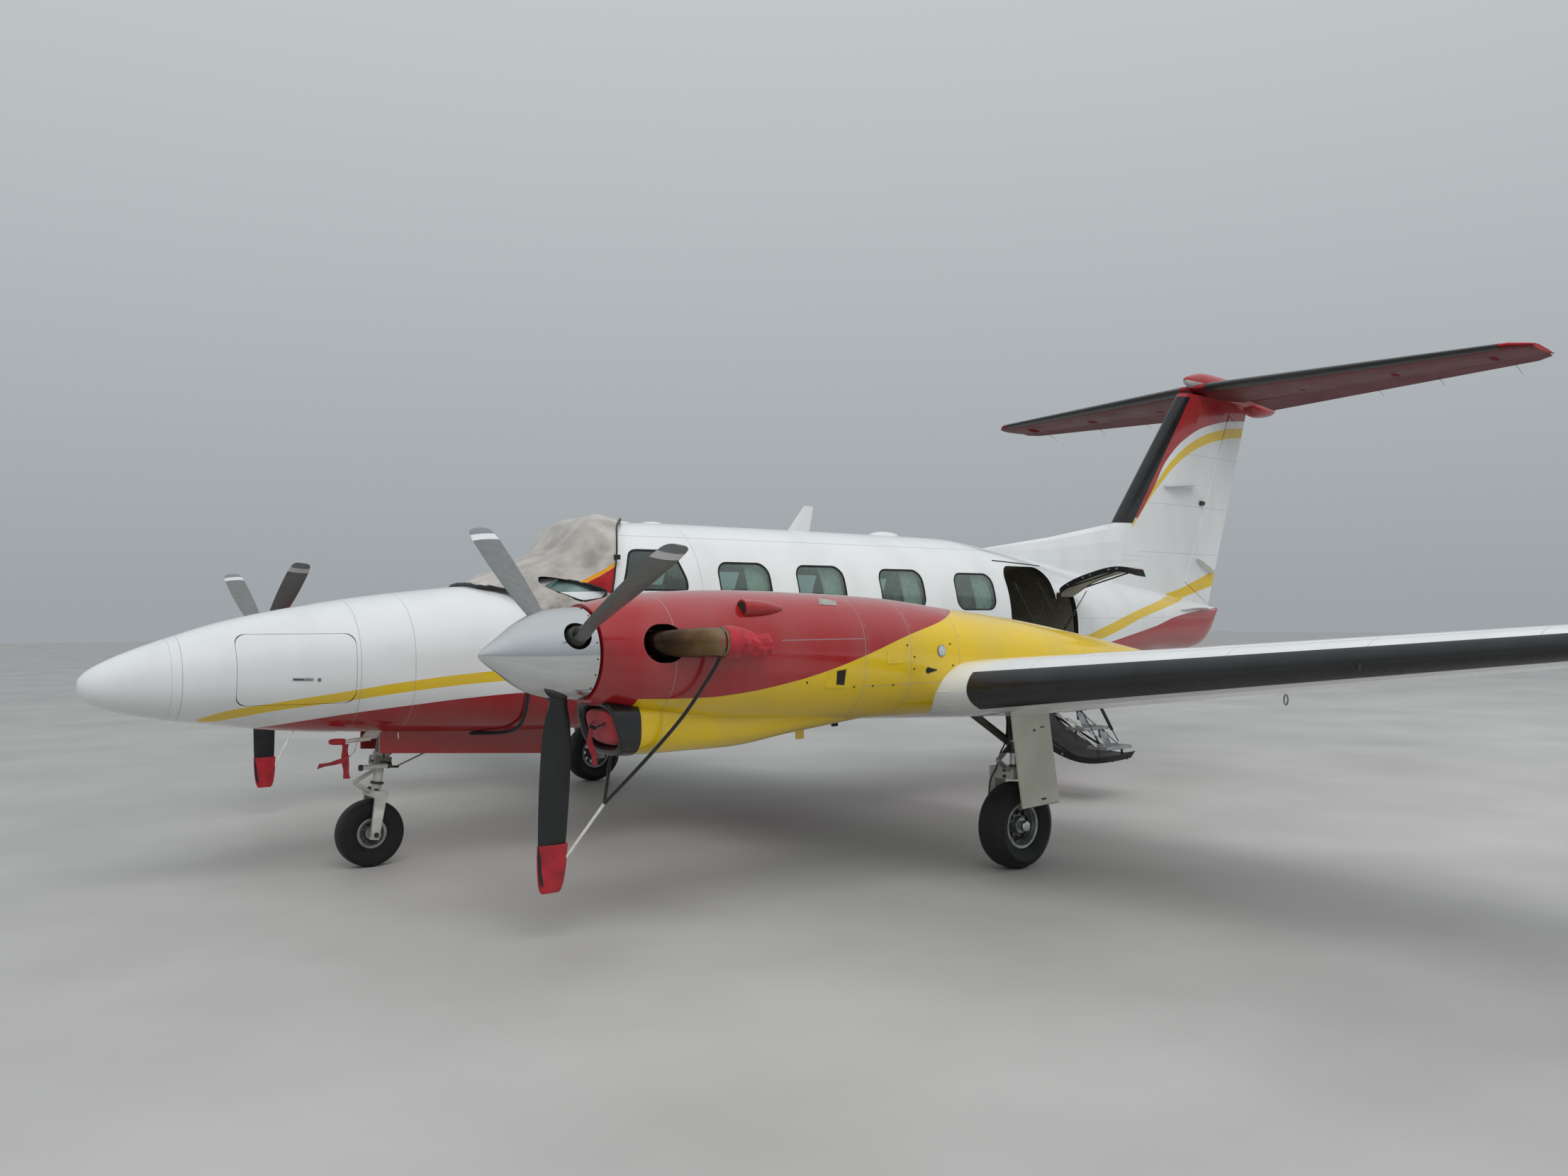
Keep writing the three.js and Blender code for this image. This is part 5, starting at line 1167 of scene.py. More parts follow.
# Propellers: radius, chord, thickness and twist of a blade's sections, in mm and degrees
BLADE = [(110, 88, 84, 20), (255, 92, 80, 18), (330, 124, 42, 14), (480, 158, 30, 9), (760, 170, 22, 2),
         (1020, 162, 15, -4), (1160, 138, 11, -7), (1195, 104, 8, -8), (1205, 70, 6, -8)]
PROPELLERS = (("left", -ENGINE_Y, -5.4), ("right", ENGINE_Y, 0.7))


def blade_section(chord, thickness, roundness):
    """Outline of a blade section, cambered side first, blended towards a round root."""
    outline = []
    for k in range(2 * HALF_SECTION):
        angle = math.pi * k / HALF_SECTION
        along = -math.cos(angle)
        camber = (0.56 if k <= HALF_SECTION else -0.40) * (1 - along ** 2) ** 0.75
        foil = (0.5 * along, camber)
        round_root = (0.5 * along, 0.5 * math.sin(angle))
        outline.append(tuple(roundness * c + (1 - roundness) * f for f, c in zip(foil, round_root)))
    return [(a * chord, b * thickness) for a, b in outline]


# Points on each face of a section, turns of the three blades, and radii of the sections
HALF_SECTION, BLADE_STEPS = 16, (0, 120, 240)
BLADE_PLACES = np.concatenate([np.linspace(0.11, 0.34, 8), np.linspace(0.38, 1.14, 18),
                               np.linspace(1.16, 1.205, 6)])


def blade_turn(x, y, degrees):
    """Place on a shaft, turned from a blade that hangs straight down."""
    return Matrix.Translation((x, y, ENGINE_Z)) @ Matrix.Rotation(math.radians(-degrees), 4, "X")


def blade_ring(r, turn):
    """The section of a blade at a radius, in its place."""
    radii, *columns = zip(*BLADE)
    chord, thick, twist = (float(smooth([v / 1000 for v in radii], column, r)) for column in columns)
    roundness = float(np.clip((0.33 - r) / 0.07, 0, 1))
    angle = -math.radians(twist)
    c, s = math.cos(angle), math.sin(angle)
    return [tuple(turn @ Vector((a * c - b * s, a * s + b * c, -r)))
            for a, b in blade_section(chord / 1000, thick / 1000, roundness)]


def blade_parts(y, first):
    """Each blade's vertices and faces, and which side of the blade a face is on."""
    parts = []
    for step in BLADE_STEPS:
        turn = blade_turn(PROPELLER_X, y, first + step)
        verts, faces = ring_parts([blade_ring(r, turn) for r in BLADE_PLACES])
        sides = [0 if j < HALF_SECTION else 1 for j in range(2 * HALF_SECTION)]
        parts.append((verts, faces, sides * (len(BLADE_PLACES) - 1) + [0, 0]))
    return parts


SPINNER_PROFILE = [(0, 1), (0.08, 0.975), (0.22, 0.90), (0.42, 0.775), (0.62, 0.655), (0.78, 0.53),
                   (0.90, 0.375), (0.965, 0.22), (1, 0)]
SPINNER_LENGTH, SPINNER_BASE, SPINNER_RADIUS = 0.544, -4.747, 0.239
HUB_PROFILE = [(0.0, -4.96), (0.118, -4.96), (0.118, -4.775), (0.226, -4.770), (0.226, -4.757),
               (0.048, -4.757), (0.048, -4.615), (0.0, -4.615)]
SPINNER_MATERIALS = [spinner_metal, seal_rubber]


def spinner_outline(inset):
    shares = np.linspace(0, 1, 25)
    ahead = smooth(*zip(*SPINNER_PROFILE), shares)
    return [(float(s) * (SPINNER_RADIUS - inset), SPINNER_BASE - float(a) * (SPINNER_LENGTH - inset))
            for s, a in zip(shares, ahead)]


def spinner_screws(y):
    """Eighteen screws round the spinner's rear edge."""
    screws = []
    for k in range(18):
        a = math.radians(20 * k + 6)
        at = Vector((-4.760, y + 0.2375 * math.cos(a), ENGINE_Z + 0.2375 * math.sin(a)))
        out = Vector((0, math.cos(a), math.sin(a)))
        screws.append(tube_parts([tuple(at - out * 0.003), tuple(at + out * 0.0022)], 0.0045, 10))
    return screws


for side, y, first in PROPELLERS:
    centre = (0, y, ENGINE_Z)
    pieces = [link("blade", verts, faces, [blade_grey, blade_black], kinds)
              for verts, faces, kinds in blade_parts(y, first)]
    pieces.append(solid("hub", [turned_parts(HUB_PROFILE, centre, "X", 48)], [blade_black]))
    propeller = joined(f"propeller_blades_{side}", pieces)
    place(propeller, "blade_alloy", 40, body=f"propeller_{side}")
    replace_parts(propeller, f"propeller_{side}")
    shell_outline = spinner_outline(0.0) + spinner_outline(0.006)[::-1]
    shell = solid(f"spinner_shell_{side}", [turned_parts(shell_outline, centre, "X", 96)], SPINNER_MATERIALS)
    cuffs = []
    for step in BLADE_STEPS:
        turn = blade_turn(PROPELLER_X - 0.012, y, first + step)
        hole = tube_parts([tuple(turn @ Vector((0, 0, -r))) for r in (0.15, 0.42)], 0.072, 32)
        carve(shell, cutter([hole], 1, SPINNER_MATERIALS))
        cuff = [tuple(turn @ Vector((0, 0, -r))) for r in (0.17, 0.20, 0.235)]
        cuffs.append(tube_parts(cuff, [0.052, 0.055, 0.05], 24))
    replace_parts(place(shell, "polished", 50, body=f"propeller_{side}"), f"spinner_{side}")
    place(solid(f"blade_root_cuffs_{side}", cuffs, [dark_enamel]), "blade_alloy", body=f"propeller_{side}")
    place(solid(f"spinner_screws_{side}", spinner_screws(y), [dark_enamel]), "polished",
          body=f"propeller_{side}")

# Tip tanks
TANK_Y = -7.06


def nose_spaced(start, end, count):
    """Places from a nose aft, closer together at the nose."""
    return start + np.linspace(0.0, math.sqrt(end - start), count) ** 2


tank_form = Body(TIP_TANK, TANK_Y, True)
tank_places = nose_spaced(-3.05, -0.04, 40)
tank = capped("tip_tank_shell_left", tank_form.grid(tank_places, RING), [white_paint])
twin = flipped(tank, "tip_tank_shell_right")
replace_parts(place(tank, "white_paint"), "tip_tank_left")
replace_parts(place(twin, "white_paint"), "tip_tank_right")

# Tail bullet
bullet_form = Body(TAIL_BULLET, 0.0, True)
bullet = capped("tail_bullet_shell", bullet_form.grid(nose_spaced(4.66, 6.615, 34), RING), [red_paint])
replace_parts(place(bullet, "red_paint"), "tail_bullet")

# Rubber boots over the leading edges

def foil_height(shares, table, column):
    roots = [math.sqrt(row[0]) for row in table]
    return smooth(roots, [row[column] for row in table], np.sqrt(shares))


def nose_wrap(lead, chord, thickness, drop, table, reach_top, reach_low, lift):
    """Points round a leading edge, from the top surface to the lower one, lifted off it."""
    top = np.linspace(math.sqrt(reach_top), 0, 18) ** 2
    low = np.linspace(0, math.sqrt(reach_low), 18)[1:] ** 2
    upper = [(lead + s * chord, h * thickness * chord - drop * s)
             for s, h in zip(top, foil_height(top, table, 1))]
    lower = [(lead + s * chord, -h * thickness * chord - drop * s)
             for s, h in zip(low, foil_height(low, table, 2))]
    line = np.array(upper + lower)
    tangent = np.gradient(line, axis=0)
    normal = np.stack([-tangent[:, 1], tangent[:, 0]], -1)
    normal /= np.linalg.norm(normal, axis=1)[:, None]
    if (normal @ np.array([-1.0, 0.0]))[len(upper) - 1] < 0:
        normal = -normal
    return line + normal * lift


def boot(name, table, foil, span, reaches, lifts, materials, upright=False):
    """A skin round a leading edge: span, reaches over the upper and lower face, outer and inner lift."""
    stations_along = [row[0] / 1000 for row in table]
    grids = [], []
    for at in np.linspace(*span, 24):
        columns = [np.interp(at, stations_along, column) for column in list(zip(*table))[1:]]
        if upright:
            lead, trail, thickness, height, drop = *columns, 0.0, 0.0
        else:
            lead, trail, height, thickness, drop = columns
        lead, trail, height, drop = lead / 1000, trail / 1000, height / 1000, drop / 1000
        for lift, rows in zip(lifts, grids):
            wrap = nose_wrap(lead, trail - lead, thickness, drop, foil, *reaches, lift)
            rows.append([(x, z, at) if upright else (x, -at, height + z) for x, z in wrap])
    return slab(name, np.array(grids[0]), np.array(grids[1]), materials)


for name, slot, material, *arguments in (("wing_nose_skin", "white_paint", wing_paint, WING, AEROFOIL,
                                          (0.72, 6.86), (0.30, 0.16), (0.001, -0.012)),
                                         ("wing_boot", "white_paint", boot_rubber, WING, AEROFOIL,
                                          (3.22, 6.80), (0.026, 0.052), (0.0045, -0.006)),
                                         ("stabilizer_nose_skin", "red_paint", tail_paint, STABILIZER,
                                          EVEN_AEROFOIL, (0.02, 3.40), (0.30, 0.30), (0.0008, -0.01)),
                                         ("stabilizer_boot", "red_paint", boot_rubber, STABILIZER,
                                          EVEN_AEROFOIL, (0.16, 3.18), (0.055, 0.055), (0.004, -0.005))):
    left = boot(f"{name}_left", *arguments, [material])
    for piece in (left, flipped(left, f"{name}_right")):
        place(piece, slot, 50)
for name, material, *arguments in (("fin_boot", boot_rubber, (2.66, 4.17), (0.115, 0.115), (0.0045, -0.006)),
                                   ("fin_nose_skin", fin_paint, (2.30, 4.20), (0.30, 0.30), (0.0008, -0.01))):
    place(boot(name, FIN, EVEN_AEROFOIL, *arguments, [material], True), "red_paint", 50)


def strut_finish(name, stops):
    """Finish of a gear leg by height: bottom of each band, colour, metal share."""
    material, tree = new_material(name)
    _, _, z, spot = axes(tree)
    colour, metal = hex_colour(stops[0][1]), stops[0][2]
    for low, shade, share in stops[1:]:
        above = node(tree, "Math GREATER_THAN", z, low)
        colour = node(tree, "Mix RGBA", above, colour, hex_colour(shade))
        metal = node(tree, "Math ADD", node(tree, "Math MULTIPLY", above, share),
                     node(tree, "Math MULTIPLY", node(tree, "Math SUBTRACT", 1.0, above), metal))
    oil = mottle(tree, spot, 14.0, 5.0)
    colour = node(tree, "Mix RGBA", node(tree, "MapRange", oil, 0.48, 0.8, 0.0, 0.5), colour, "3a3934")
    return close_material(material, tree, colour, node(tree, "MapRange", oil, 0.3, 0.7, 0.2, 0.45),
                          dents(tree, oil, 0.4, 0.3), Metallic=metal)


nose_strut_finish = strut_finish("enamelled_and_chromed_nose_leg",
                                 [(0, "c9c8c2", 0.0), (0.52, "bfc2c3", 0.9), (0.68, "77756d", 0.2)])
main_strut_finish = strut_finish("enamelled_and_chromed_main_leg",
                                 [(0, "b9b8b0", 0.0), (0.662, "d0d2d3", 0.95), (0.76, "4b4a45", 0.25)])

# CAD nodes whose shape is right get their finishes
FINISHES = {
    wing_paint: ["wing_left", "wing_right", "flap_inner_left", "flap_inner_right", "flap_outer_left",
                 "flap_outer_right", "aileron_left", "aileron_right"],
    cream_enamel: ["main_gear_door_left", "main_gear_door_right"],
    fin_paint: ["fin", "rudder"],
    red_paint: ["nose_gear_door_left", "nose_gear_door_right"],
    tail_paint: ["stabilizer", "elevator"],
    lining_cloth: ["cabin_floor_and_seats"],
    dark_cavity: ["engine_left", "engine_right"],
    window_acrylic: ["windscreen"],
    gear_white: ["nose_fork"],
    nose_strut_finish: ["nose_leg"],
    main_strut_finish: ["main_leg_left", "main_leg_right"],
}
for finish, names in FINISHES.items():
    for name in names:
        piece = frame["nodes"][name]
        piece.data.materials.clear()
        piece.data.materials.append(finish)
        shaded(piece, 24)


# Wheels
def tyre_profile(radius, half, rim):
    """Radius and place across of one tyre's outline."""
    wall = [(rim, 0.60), (rim + 0.012, 0.74), (radius * 0.80, 1.0), (radius * 0.93, 0.86),
            (radius * 0.988, 0.55), (radius, 0.18)]
    return [(r, -share * half) for r, share in wall] + [(r, share * half) for r, share in reversed(wall)]


def rim_profile(edge, hub, face, bore):
    """Radius and place across of a rim's outline, from its flange in to the bore and back."""
    half = [(edge, -face), (edge - 0.006, -face - 0.004), (edge - 0.020, -face + 0.001),
            (edge - 0.026, -0.55 * face), (edge - 0.036, -0.30 * face), (hub + 0.018, -0.36 * face),
            (hub + 0.008, -0.80 * face), (hub - 0.006, -0.86 * face), (bore, -0.86 * face)]
    return half + [(r, -across) for r, across in reversed(half)]


RIM_MATERIALS = [cast_aluminium, dark_enamel, wheel_web]


def wheel(name, x, y, radius, width, rim, hub, bore, count):
    """A tyre and a rim, with holes and bolts in the rim's web."""
    half = width / 2
    tyre_ring = [(r, y + across) for r, across in tyre_profile(radius, half, rim)]
    tyre = solid(f"{name}_tyre_carcass", [turned_parts(tyre_ring, (x, 0, radius), "Y", 80)], [tyre_rubber])
    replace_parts(place(tyre, "tyre_rubber", 45, body=name), f"{name}_tyre")
    edge, face = rim - 0.0005, half * 0.62
    rim_ring = [(r, y + across) for r, across in rim_profile(edge, hub, face, bore)]
    disc = solid(f"{name}_rim_casting", [turned_parts(rim_ring, (x, 0, radius), "Y", 72)], RIM_MATERIALS)
    # The web between hub and flange takes the darker grey
    for polygon in disc.data.polygons:
        reach = math.hypot(polygon.center.x - x, polygon.center.z - radius)
        if hub + 0.004 < reach < edge - 0.026:
            polygon.material_index = 2
    web_middle = (edge - 0.036 + hub + 0.018) / 2
    hole = (edge - 0.036 - hub - 0.018) * 0.36

    def on_web(k):
        angle = 2 * math.pi * k / count + 0.3
        return x + web_middle * math.cos(angle), radius + web_middle * math.sin(angle)

    holes = [tube_parts([(cx, y - half, cz), (cx, y + half, cz)], hole, 16)
             for cx, cz in map(on_web, range(count))]
    carve(disc, cutter(holes, 1, RIM_MATERIALS))
    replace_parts(place(disc, "bare_metal", 35, body=name), f"{name}_rim")
    bolts = []
    for k in range(count):
        cx, cz = on_web(k + 0.5)
        for sign in (-1, 1):
            at = y + sign * 0.34 * face
            bolts.append(tube_parts([(cx, at - sign * 0.006, cz), (cx, at + sign * 0.012, cz)], 0.0065, 6))
    place(solid(f"{name}_rim_bolts", bolts, [dark_enamel]), "bare_metal", body=name)


NOSE_WHEEL_X, NOSE_WHEEL_RADIUS = -4.880, 0.2225
MAIN_X, MAIN_Y, MAIN_RADIUS = -1.594, -2.803, 0.28075
wheel("nose_wheel", NOSE_WHEEL_X, 0.0, NOSE_WHEEL_RADIUS, 0.160, 0.102, 0.032, 0.0172, 6)
for side, y in (("left", MAIN_Y), ("right", -MAIN_Y)):
    wheel(f"main_wheel_{side}", MAIN_X, y, MAIN_RADIUS, 0.205, 0.152, 0.042, 0.0235, 9)

# Windscreen cover: height of its top line, then front and back edges by turn from the top

COVER_TOP = [(-4.238, 1.889), (-4.188, 1.910), (-4.088, 1.945), (-3.812, 2.072), (-3.715, 2.111),
             (-3.592, 2.158), (-3.521, 2.235), (-3.458, 2.341), (-3.347, 2.402), (-3.209, 2.424),
             (-3.059, 2.420), (-2.94, 2.400)]
COVER_FRONT = [(0, -4.238), (16, -4.225), (39, -4.06), (67, -3.965), (78, -3.93)]
COVER_BACK = [(0, -2.94), (12, -3.05), (32, -3.23), (49, -3.315), (61, -3.37), (71, -3.405), (78, -3.41)]
COVER_OPENING = [(-3.885, 1.905), (-3.85, 1.952), (-3.729, 1.938), (-3.612, 1.912), (-3.514, 1.880),
                 (-3.435, 1.845), (-3.47, 1.795), (-3.611, 1.772), (-3.716, 1.810), (-3.792, 1.845)]
# Thickness of cloth, and the cover's turns from the top at its hem and where its thick front cord ends
CLOTH, HEM_TURN, CORD_TURN = 0.0012, 77, 44


def cover_rise(share, turn):
    """Height of the cover over the skin at a share of its length and a turn from the top."""
    x = cover_x(share, turn)
    top = float(smooth(*zip(*COVER_TOP), x))
    lift = max(top - fuselage_form.at(x)[1], 0.010)
    spread = math.cos(math.radians(min(abs(turn) * 1.15, 90))) ** 1.4
    rise = 0.010 + (lift - 0.010) * spread
    edge = min(share, 1 - share, 0.12) / 0.12
    low = max(0.0, (abs(turn) - 52) / 26)
    fold = noise.noise((x * 5.5 + turn * 0.035, turn * 0.11 - x * 2.0, 0.3))
    crease = abs(noise.noise((x * 11 - turn * 0.10, turn * 0.16, 4.1)))
    crumple = abs(noise.noise((x * 24, turn * 0.42, 9.7)))
    folds = 0.020 * fold + 0.016 * (0.35 - crease) + low * 0.035 * crumple
    return max(rise + folds * (0.25 + 0.75 * edge), 0.006)


def cover_x(share, turn):
    front, back = (float(smooth(*zip(*table), abs(turn))) for table in (COVER_FRONT, COVER_BACK))
    return front + (back - front) * share


def cover_point(share, turn, more=0.0):
    return fuselage_form.point(cover_x(share, turn), 90 + turn, -cover_rise(share, turn) - more)


shares, turns = np.linspace(0, 1, 92), np.linspace(-HEM_TURN, HEM_TURN, 120)
cover = slab("windscreen_cover_cloth", np.array([[cover_point(s, t, CLOTH) for t in turns] for s in shares]),
             np.array([[cover_point(s, t) for t in turns] for s in shares]), [cover_canvas])
opening = softened(COVER_OPENING, 0.03, 4)
carve(cover, cutter([prism_parts(opening, -REACH, -0.2), prism_parts(opening, 0.2, REACH)]))
place(cover, "cover_cloth", 60)
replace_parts(cover, "windscreen_cover")

cords = [tube_parts([cover_point(1.0, t, 0.004) for t in np.linspace(-HEM_TURN, HEM_TURN, 90)], 0.0065, 8)]
for side in (1, -1):
    rim = []
    for x, z in opening:
        turn = fuselage_form.degrees(x, z) - 90
        front, back = (float(smooth(*zip(*table), turn)) for table in (COVER_FRONT, COVER_BACK))
        rise = cover_rise((x - front) / (back - front), turn)
        rim.append((x, side * fuselage_form.side(x, z, -rise - 0.002), z))
    cords.append(tube_parts(rim + rim[:1], 0.008, 8))
front_cord = [cover_point(0.0, t, 0.004 + 0.006 * noise.noise((t * 0.2, 0, 1)))
              for t in np.linspace(-CORD_TURN, CORD_TURN, 60)]
cords.append(tube_parts(front_cord, [0.013 + 0.005 * noise.noise((k * 0.5, 2, 3)) for k in range(60)], 10))
for turn in (50, -50):
    x, y, z = cover_point(0.995, turn, 0.01)
    cords.append(box_parts(x - 0.016, x + 0.03, y - 0.008, y + 0.008, z - 0.018, z + 0.018))
    x, y, z = cover_point(0.995, turn * 1.46, 0.012)
    cords.append(tube_parts([(x - 0.05, y, z + 0.03), (x - 0.01, y * 1.01, z), (x + 0.015, y, z - 0.05)],
                            0.012, 8))
place(solid("windscreen_cover_binding", cords, [strap_black]), "cover_cloth")

# Foil sunscreens inside the corner windows
SCREEN = [(-3.86, 1.80), (-3.36, 1.80), (-3.33, 2.02), (-3.62, 1.99)]
for side_name, side, first_turn, last_turn in (("left", -1, 116, 172), ("right", 1, 8, 64)):
    screen = skin_patch(f"sunscreen_{side_name}", -3.86, -3.34, first_turn, last_turn, 0.020, 0.0215,
                        [sunscreen_foil], 0.04)
    carve(screen, cutter([prism_parts(SCREEN, *sorted((side * 0.2, side * REACH)))]), "INTERSECT")
    place(screen, "lining")

# Pleated curtains at the aft edge of each cabin window
CURTAINS = [(x0 + 0.60 * (x1 - x0), x1 + 0.03, z0 - 0.03, z1 + 0.03) for x0, x1, z0, z1 in CABIN_WINDOWS]
PLEAT, PLEAT_DEPTH, CURTAIN_INSET = 0.034, 0.009, 0.070


def curtain_grids(number, side, x0, x1, z0, z1):
    """Outer and inner face of a curtain, with pleats that wander a little on their way down."""
    faces = [], []
    for z in np.linspace(z0, z1, 14):
        line = []
        for x in np.linspace(x0, x1, 70):
            wave = PLEAT_DEPTH * math.sin(2 * math.pi * (x - x0) / PLEAT + 1.3 * math.sin(z * 9 + number))
            line.append((x, fuselage_form.side(x, z, CURTAIN_INSET + wave)))
        for rows, depth in zip(faces, (0.0, CLOTH)):
            rows.append([(x, side * (y + depth), z) for x, y in line])
    return np.array(faces[0]), np.array(faces[1])


for number, opening_box in enumerate(CURTAINS):
    for side_name, side in (("left", 1), ("right", -1)):
        curtain = slab(f"curtain_{side_name}_{number + 1}", *curtain_grids(number, side, *opening_box),
                       [curtain_cloth])
        place(curtain, "lining", 60)

# Nacelle fittings, on the port engine and mirrored on the other

def skin_plate(form, outline, lift, sink=0.004, material=0):
    """A thin plate on the port side of a body, with its outline in X and Z."""
    top, low = [], []
    for x, z in outline:
        origin, _, _, out = form.frame(x, form.degrees(x, z))
        top.append(tuple(origin + out * lift))
        low.append(tuple(origin - out * sink))
    return top + low, prism_faces(len(outline)), material


def disc_outline(x, z, radius, count=20):
    return [(x + radius * math.cos(a), z + radius * math.sin(a)) for a in circle(count)]


def teardrop(x0, x1, z, half):
    """A round front with a tail that runs out to a point."""
    front = [(x0 + half + half * math.cos(a), z + half * math.sin(a))
             for a in np.linspace(math.pi / 2, 1.5 * math.pi, 9)]
    low, high = ([(x0 + (x1 - x0) * s, z + sign * half * (1 - s) ** 0.8) for s in (0.45, 0.7, 0.9)]
                 for sign in (-1, 1))
    return front + low + [(x1, z)] + high[::-1]


SCOOP_MOUTH, SCOOP_END, SCOOP_HEIGHT, SCOOP_SIZE = -3.945, -3.665, 1.702, 0.047


def scoop_ring(x, size, aft_by, tall, floor=-1.0):
    """A ring of the scoop, round and standing on the nacelle's side."""
    origin, aft, around, out = PORT_NACELLE.frame(x, PORT_NACELLE.degrees(x, SCOOP_HEIGHT))
    return [tuple(origin + aft * aft_by + around * size * math.cos(a)
                  + out * (size * tall * max(math.sin(a), floor) + 0.004)) for a in circle(24)]


scoop_rings = []
for x in np.linspace(SCOOP_MOUTH, SCOOP_END, 14):
    share = (x - SCOOP_MOUTH) / (SCOOP_END - SCOOP_MOUTH)
    scoop_rings.append(scoop_ring(x, SCOOP_SIZE * (1 - share ** 2.2) ** 0.75 + 0.001, 0.0, 1.1))
mouth_rings = [scoop_ring(SCOOP_MOUTH, size, at, 1.05, -0.3) for at, size in ((-0.002, 0.038), (0.03, 0.034))]
fittings = [(*ring_parts(scoop_rings), 0), (*ring_parts(mouth_rings), 1)]

# Plates: outline, height over the skin, depth in it and material
FITTING_MATERIALS = [red_paint, dark_cavity, yellow_paint, cast_aluminium, lamp_glass, leg_enamel]
UPPER_GILL = [(-3.375, 1.728), (-3.245, 1.722), (-3.215, 1.748), (-3.32, 1.764)]
LOW_VENT = [(-3.415, 1.266), (-3.262, 1.262), (-3.262, 1.376), (-3.405, 1.362)]
VENT_MOUTH = [(-3.338, 1.282), (-3.280, 1.276), (-3.280, 1.364), (-3.345, 1.356)]
OIL_DOOR = [(-2.965, 1.385), (-2.845, 1.385), (-2.845, 1.46), (-2.965, 1.46)]
for outline, lift, sink, material in (
        (UPPER_GILL, 0.0025, 0.004, 5),
        (softened(LOW_VENT, 0.008, 3), 0.003, 0.004, 2),
        (VENT_MOUTH, 0.0042, 0.0, 1),
        (softened(OIL_DOOR, 0.01, 3), 0.0022, 0.004, 2),
        (disc_outline(-2.911, 1.422, 0.020), 0.0035, 0.004, 2),
        (teardrop(-2.645, -2.548, 1.338, 0.018), 0.0045, 0.004, 1),
        (disc_outline(-2.512, 1.451, 0.036), 0.004, 0.004, 3),
        (disc_outline(-2.512, 1.451, 0.029), 0.0062, 0.002, 4)):
    fittings.append(skin_plate(PORT_NACELLE, outline, lift, sink, material))
for x, z in ((-2.80, 1.49), (-2.745, 1.42), (-2.745, 1.35), (-2.43, 1.49), (-2.41, 1.36), (-3.55, 1.30),
             (-3.20, 1.262), (-3.06, 1.262), (-2.9, 1.262)):
    fittings.append(skin_plate(PORT_NACELLE, disc_outline(x, z, 0.006, 8), 0.0022, 0.002, 1))
# Drain mast and fin under the chin
DRAIN_MAST = [(-3.300, -0.009), (-3.245, 0), (-3.300, 0.009), (-3.310, 0)]
DRAIN_FIN = [(-3.03, -0.004), (-2.98, 0), (-3.03, 0.004)]
for section, heights, material in ((DRAIN_MAST, (0.943, 1.01), 2), (DRAIN_FIN, (1.0, 1.05), 1)):
    rings = [[(x, -ENGINE_Y + y, z) for x, y in section] for z in heights]
    fittings.append((*ring_parts(rings), material))
twins("nacelle_fittings", fittings, FITTING_MATERIALS, "red_paint", 40)

# Intake boot and its plug
MOUTH_TOP, MOUTH_LOW = (-4.655, 1.232), (-4.568, 0.950)
BOOT_END, BOOT_DEPTH, CHIN_POINTS = -4.500, 0.118, 64


def chin_ring(depth, inset):
    """A ring of the chin behind its raked mouth; on the skin it runs out to the boot's straight end."""
    ring = []
    for k in range(CHIN_POINTS):
        degrees = 360 * k / CHIN_POINTS
        x = -4.55
        for _ in range(3):
            z = PORT_CHIN.point(x, degrees, inset)[2]
            x = (MOUTH_TOP[0] + (MOUTH_TOP[1] - z) * (MOUTH_LOW[0] - MOUTH_TOP[0])
                 / (MOUTH_TOP[1] - MOUTH_LOW[1]))
            x += depth if inset > 0.005 else depth / BOOT_DEPTH * (BOOT_END - x)
        ring.append(PORT_CHIN.point(x, degrees, inset))
    return ring


# Depth behind the mouth and inset from the skin of each ring, from inside the lip round to the rear end
LIP = [(0.075, 0.044), (0.030, 0.041), (0.004, 0.034), (-0.012, 0.022), (-0.012, 0.006), (-0.002, -0.005),
       (0.035, -0.006), (0.118, -0.006), (0.122, 0.004), (0.060, 0.012)]
PLUG = [(0.10, 0.050), (0.030, 0.048), (0.010, 0.056), (0.002, 0.076), (-0.002, 0.105)]
PLUG_HANDLE = [(-4.628, -0.075, 1.118), (-4.652, -0.045, 1.102), (-4.640, -0.01, 1.09), (-4.655, 0.03, 1.10),
               (-4.62, 0.06, 1.118)]
verts, faces = ring_parts([chin_ring(*numbers) for numbers in LIP])
last = (len(LIP) - 1) * CHIN_POINTS
faces = faces[:-2] + [(last + j, last + (j + 1) % CHIN_POINTS, (j + 1) % CHIN_POINTS, j)
                      for j in range(CHIN_POINTS)]
twins("intake_boot", [(verts, faces)], [boot_rubber], "lining", 50)
plug_parts = ring_parts([chin_ring(*numbers) for numbers in PLUG])
plugs = twins("intake_plug", [plug_parts], [cover_red], "cover_cloth", 50)
handle = curved([(x, -ENGINE_Y + y, z) for x, y, z in PLUG_HANDLE], 6)
twins("intake_plug_handle", [tube_parts(handle, 0.010, 8, 0.35)], [strap_black], "cover_cloth")

# Exhaust plugs with their crumpled tails: place along the stack and radius
EXHAUST_PLUG = [(-4.230, 0.064), (-4.184, 0.066), (-4.181, 0.082), (-4.162, 0.085), (-4.118, 0.084),
                (-4.102, 0.080), (-4.096, 0.060)]


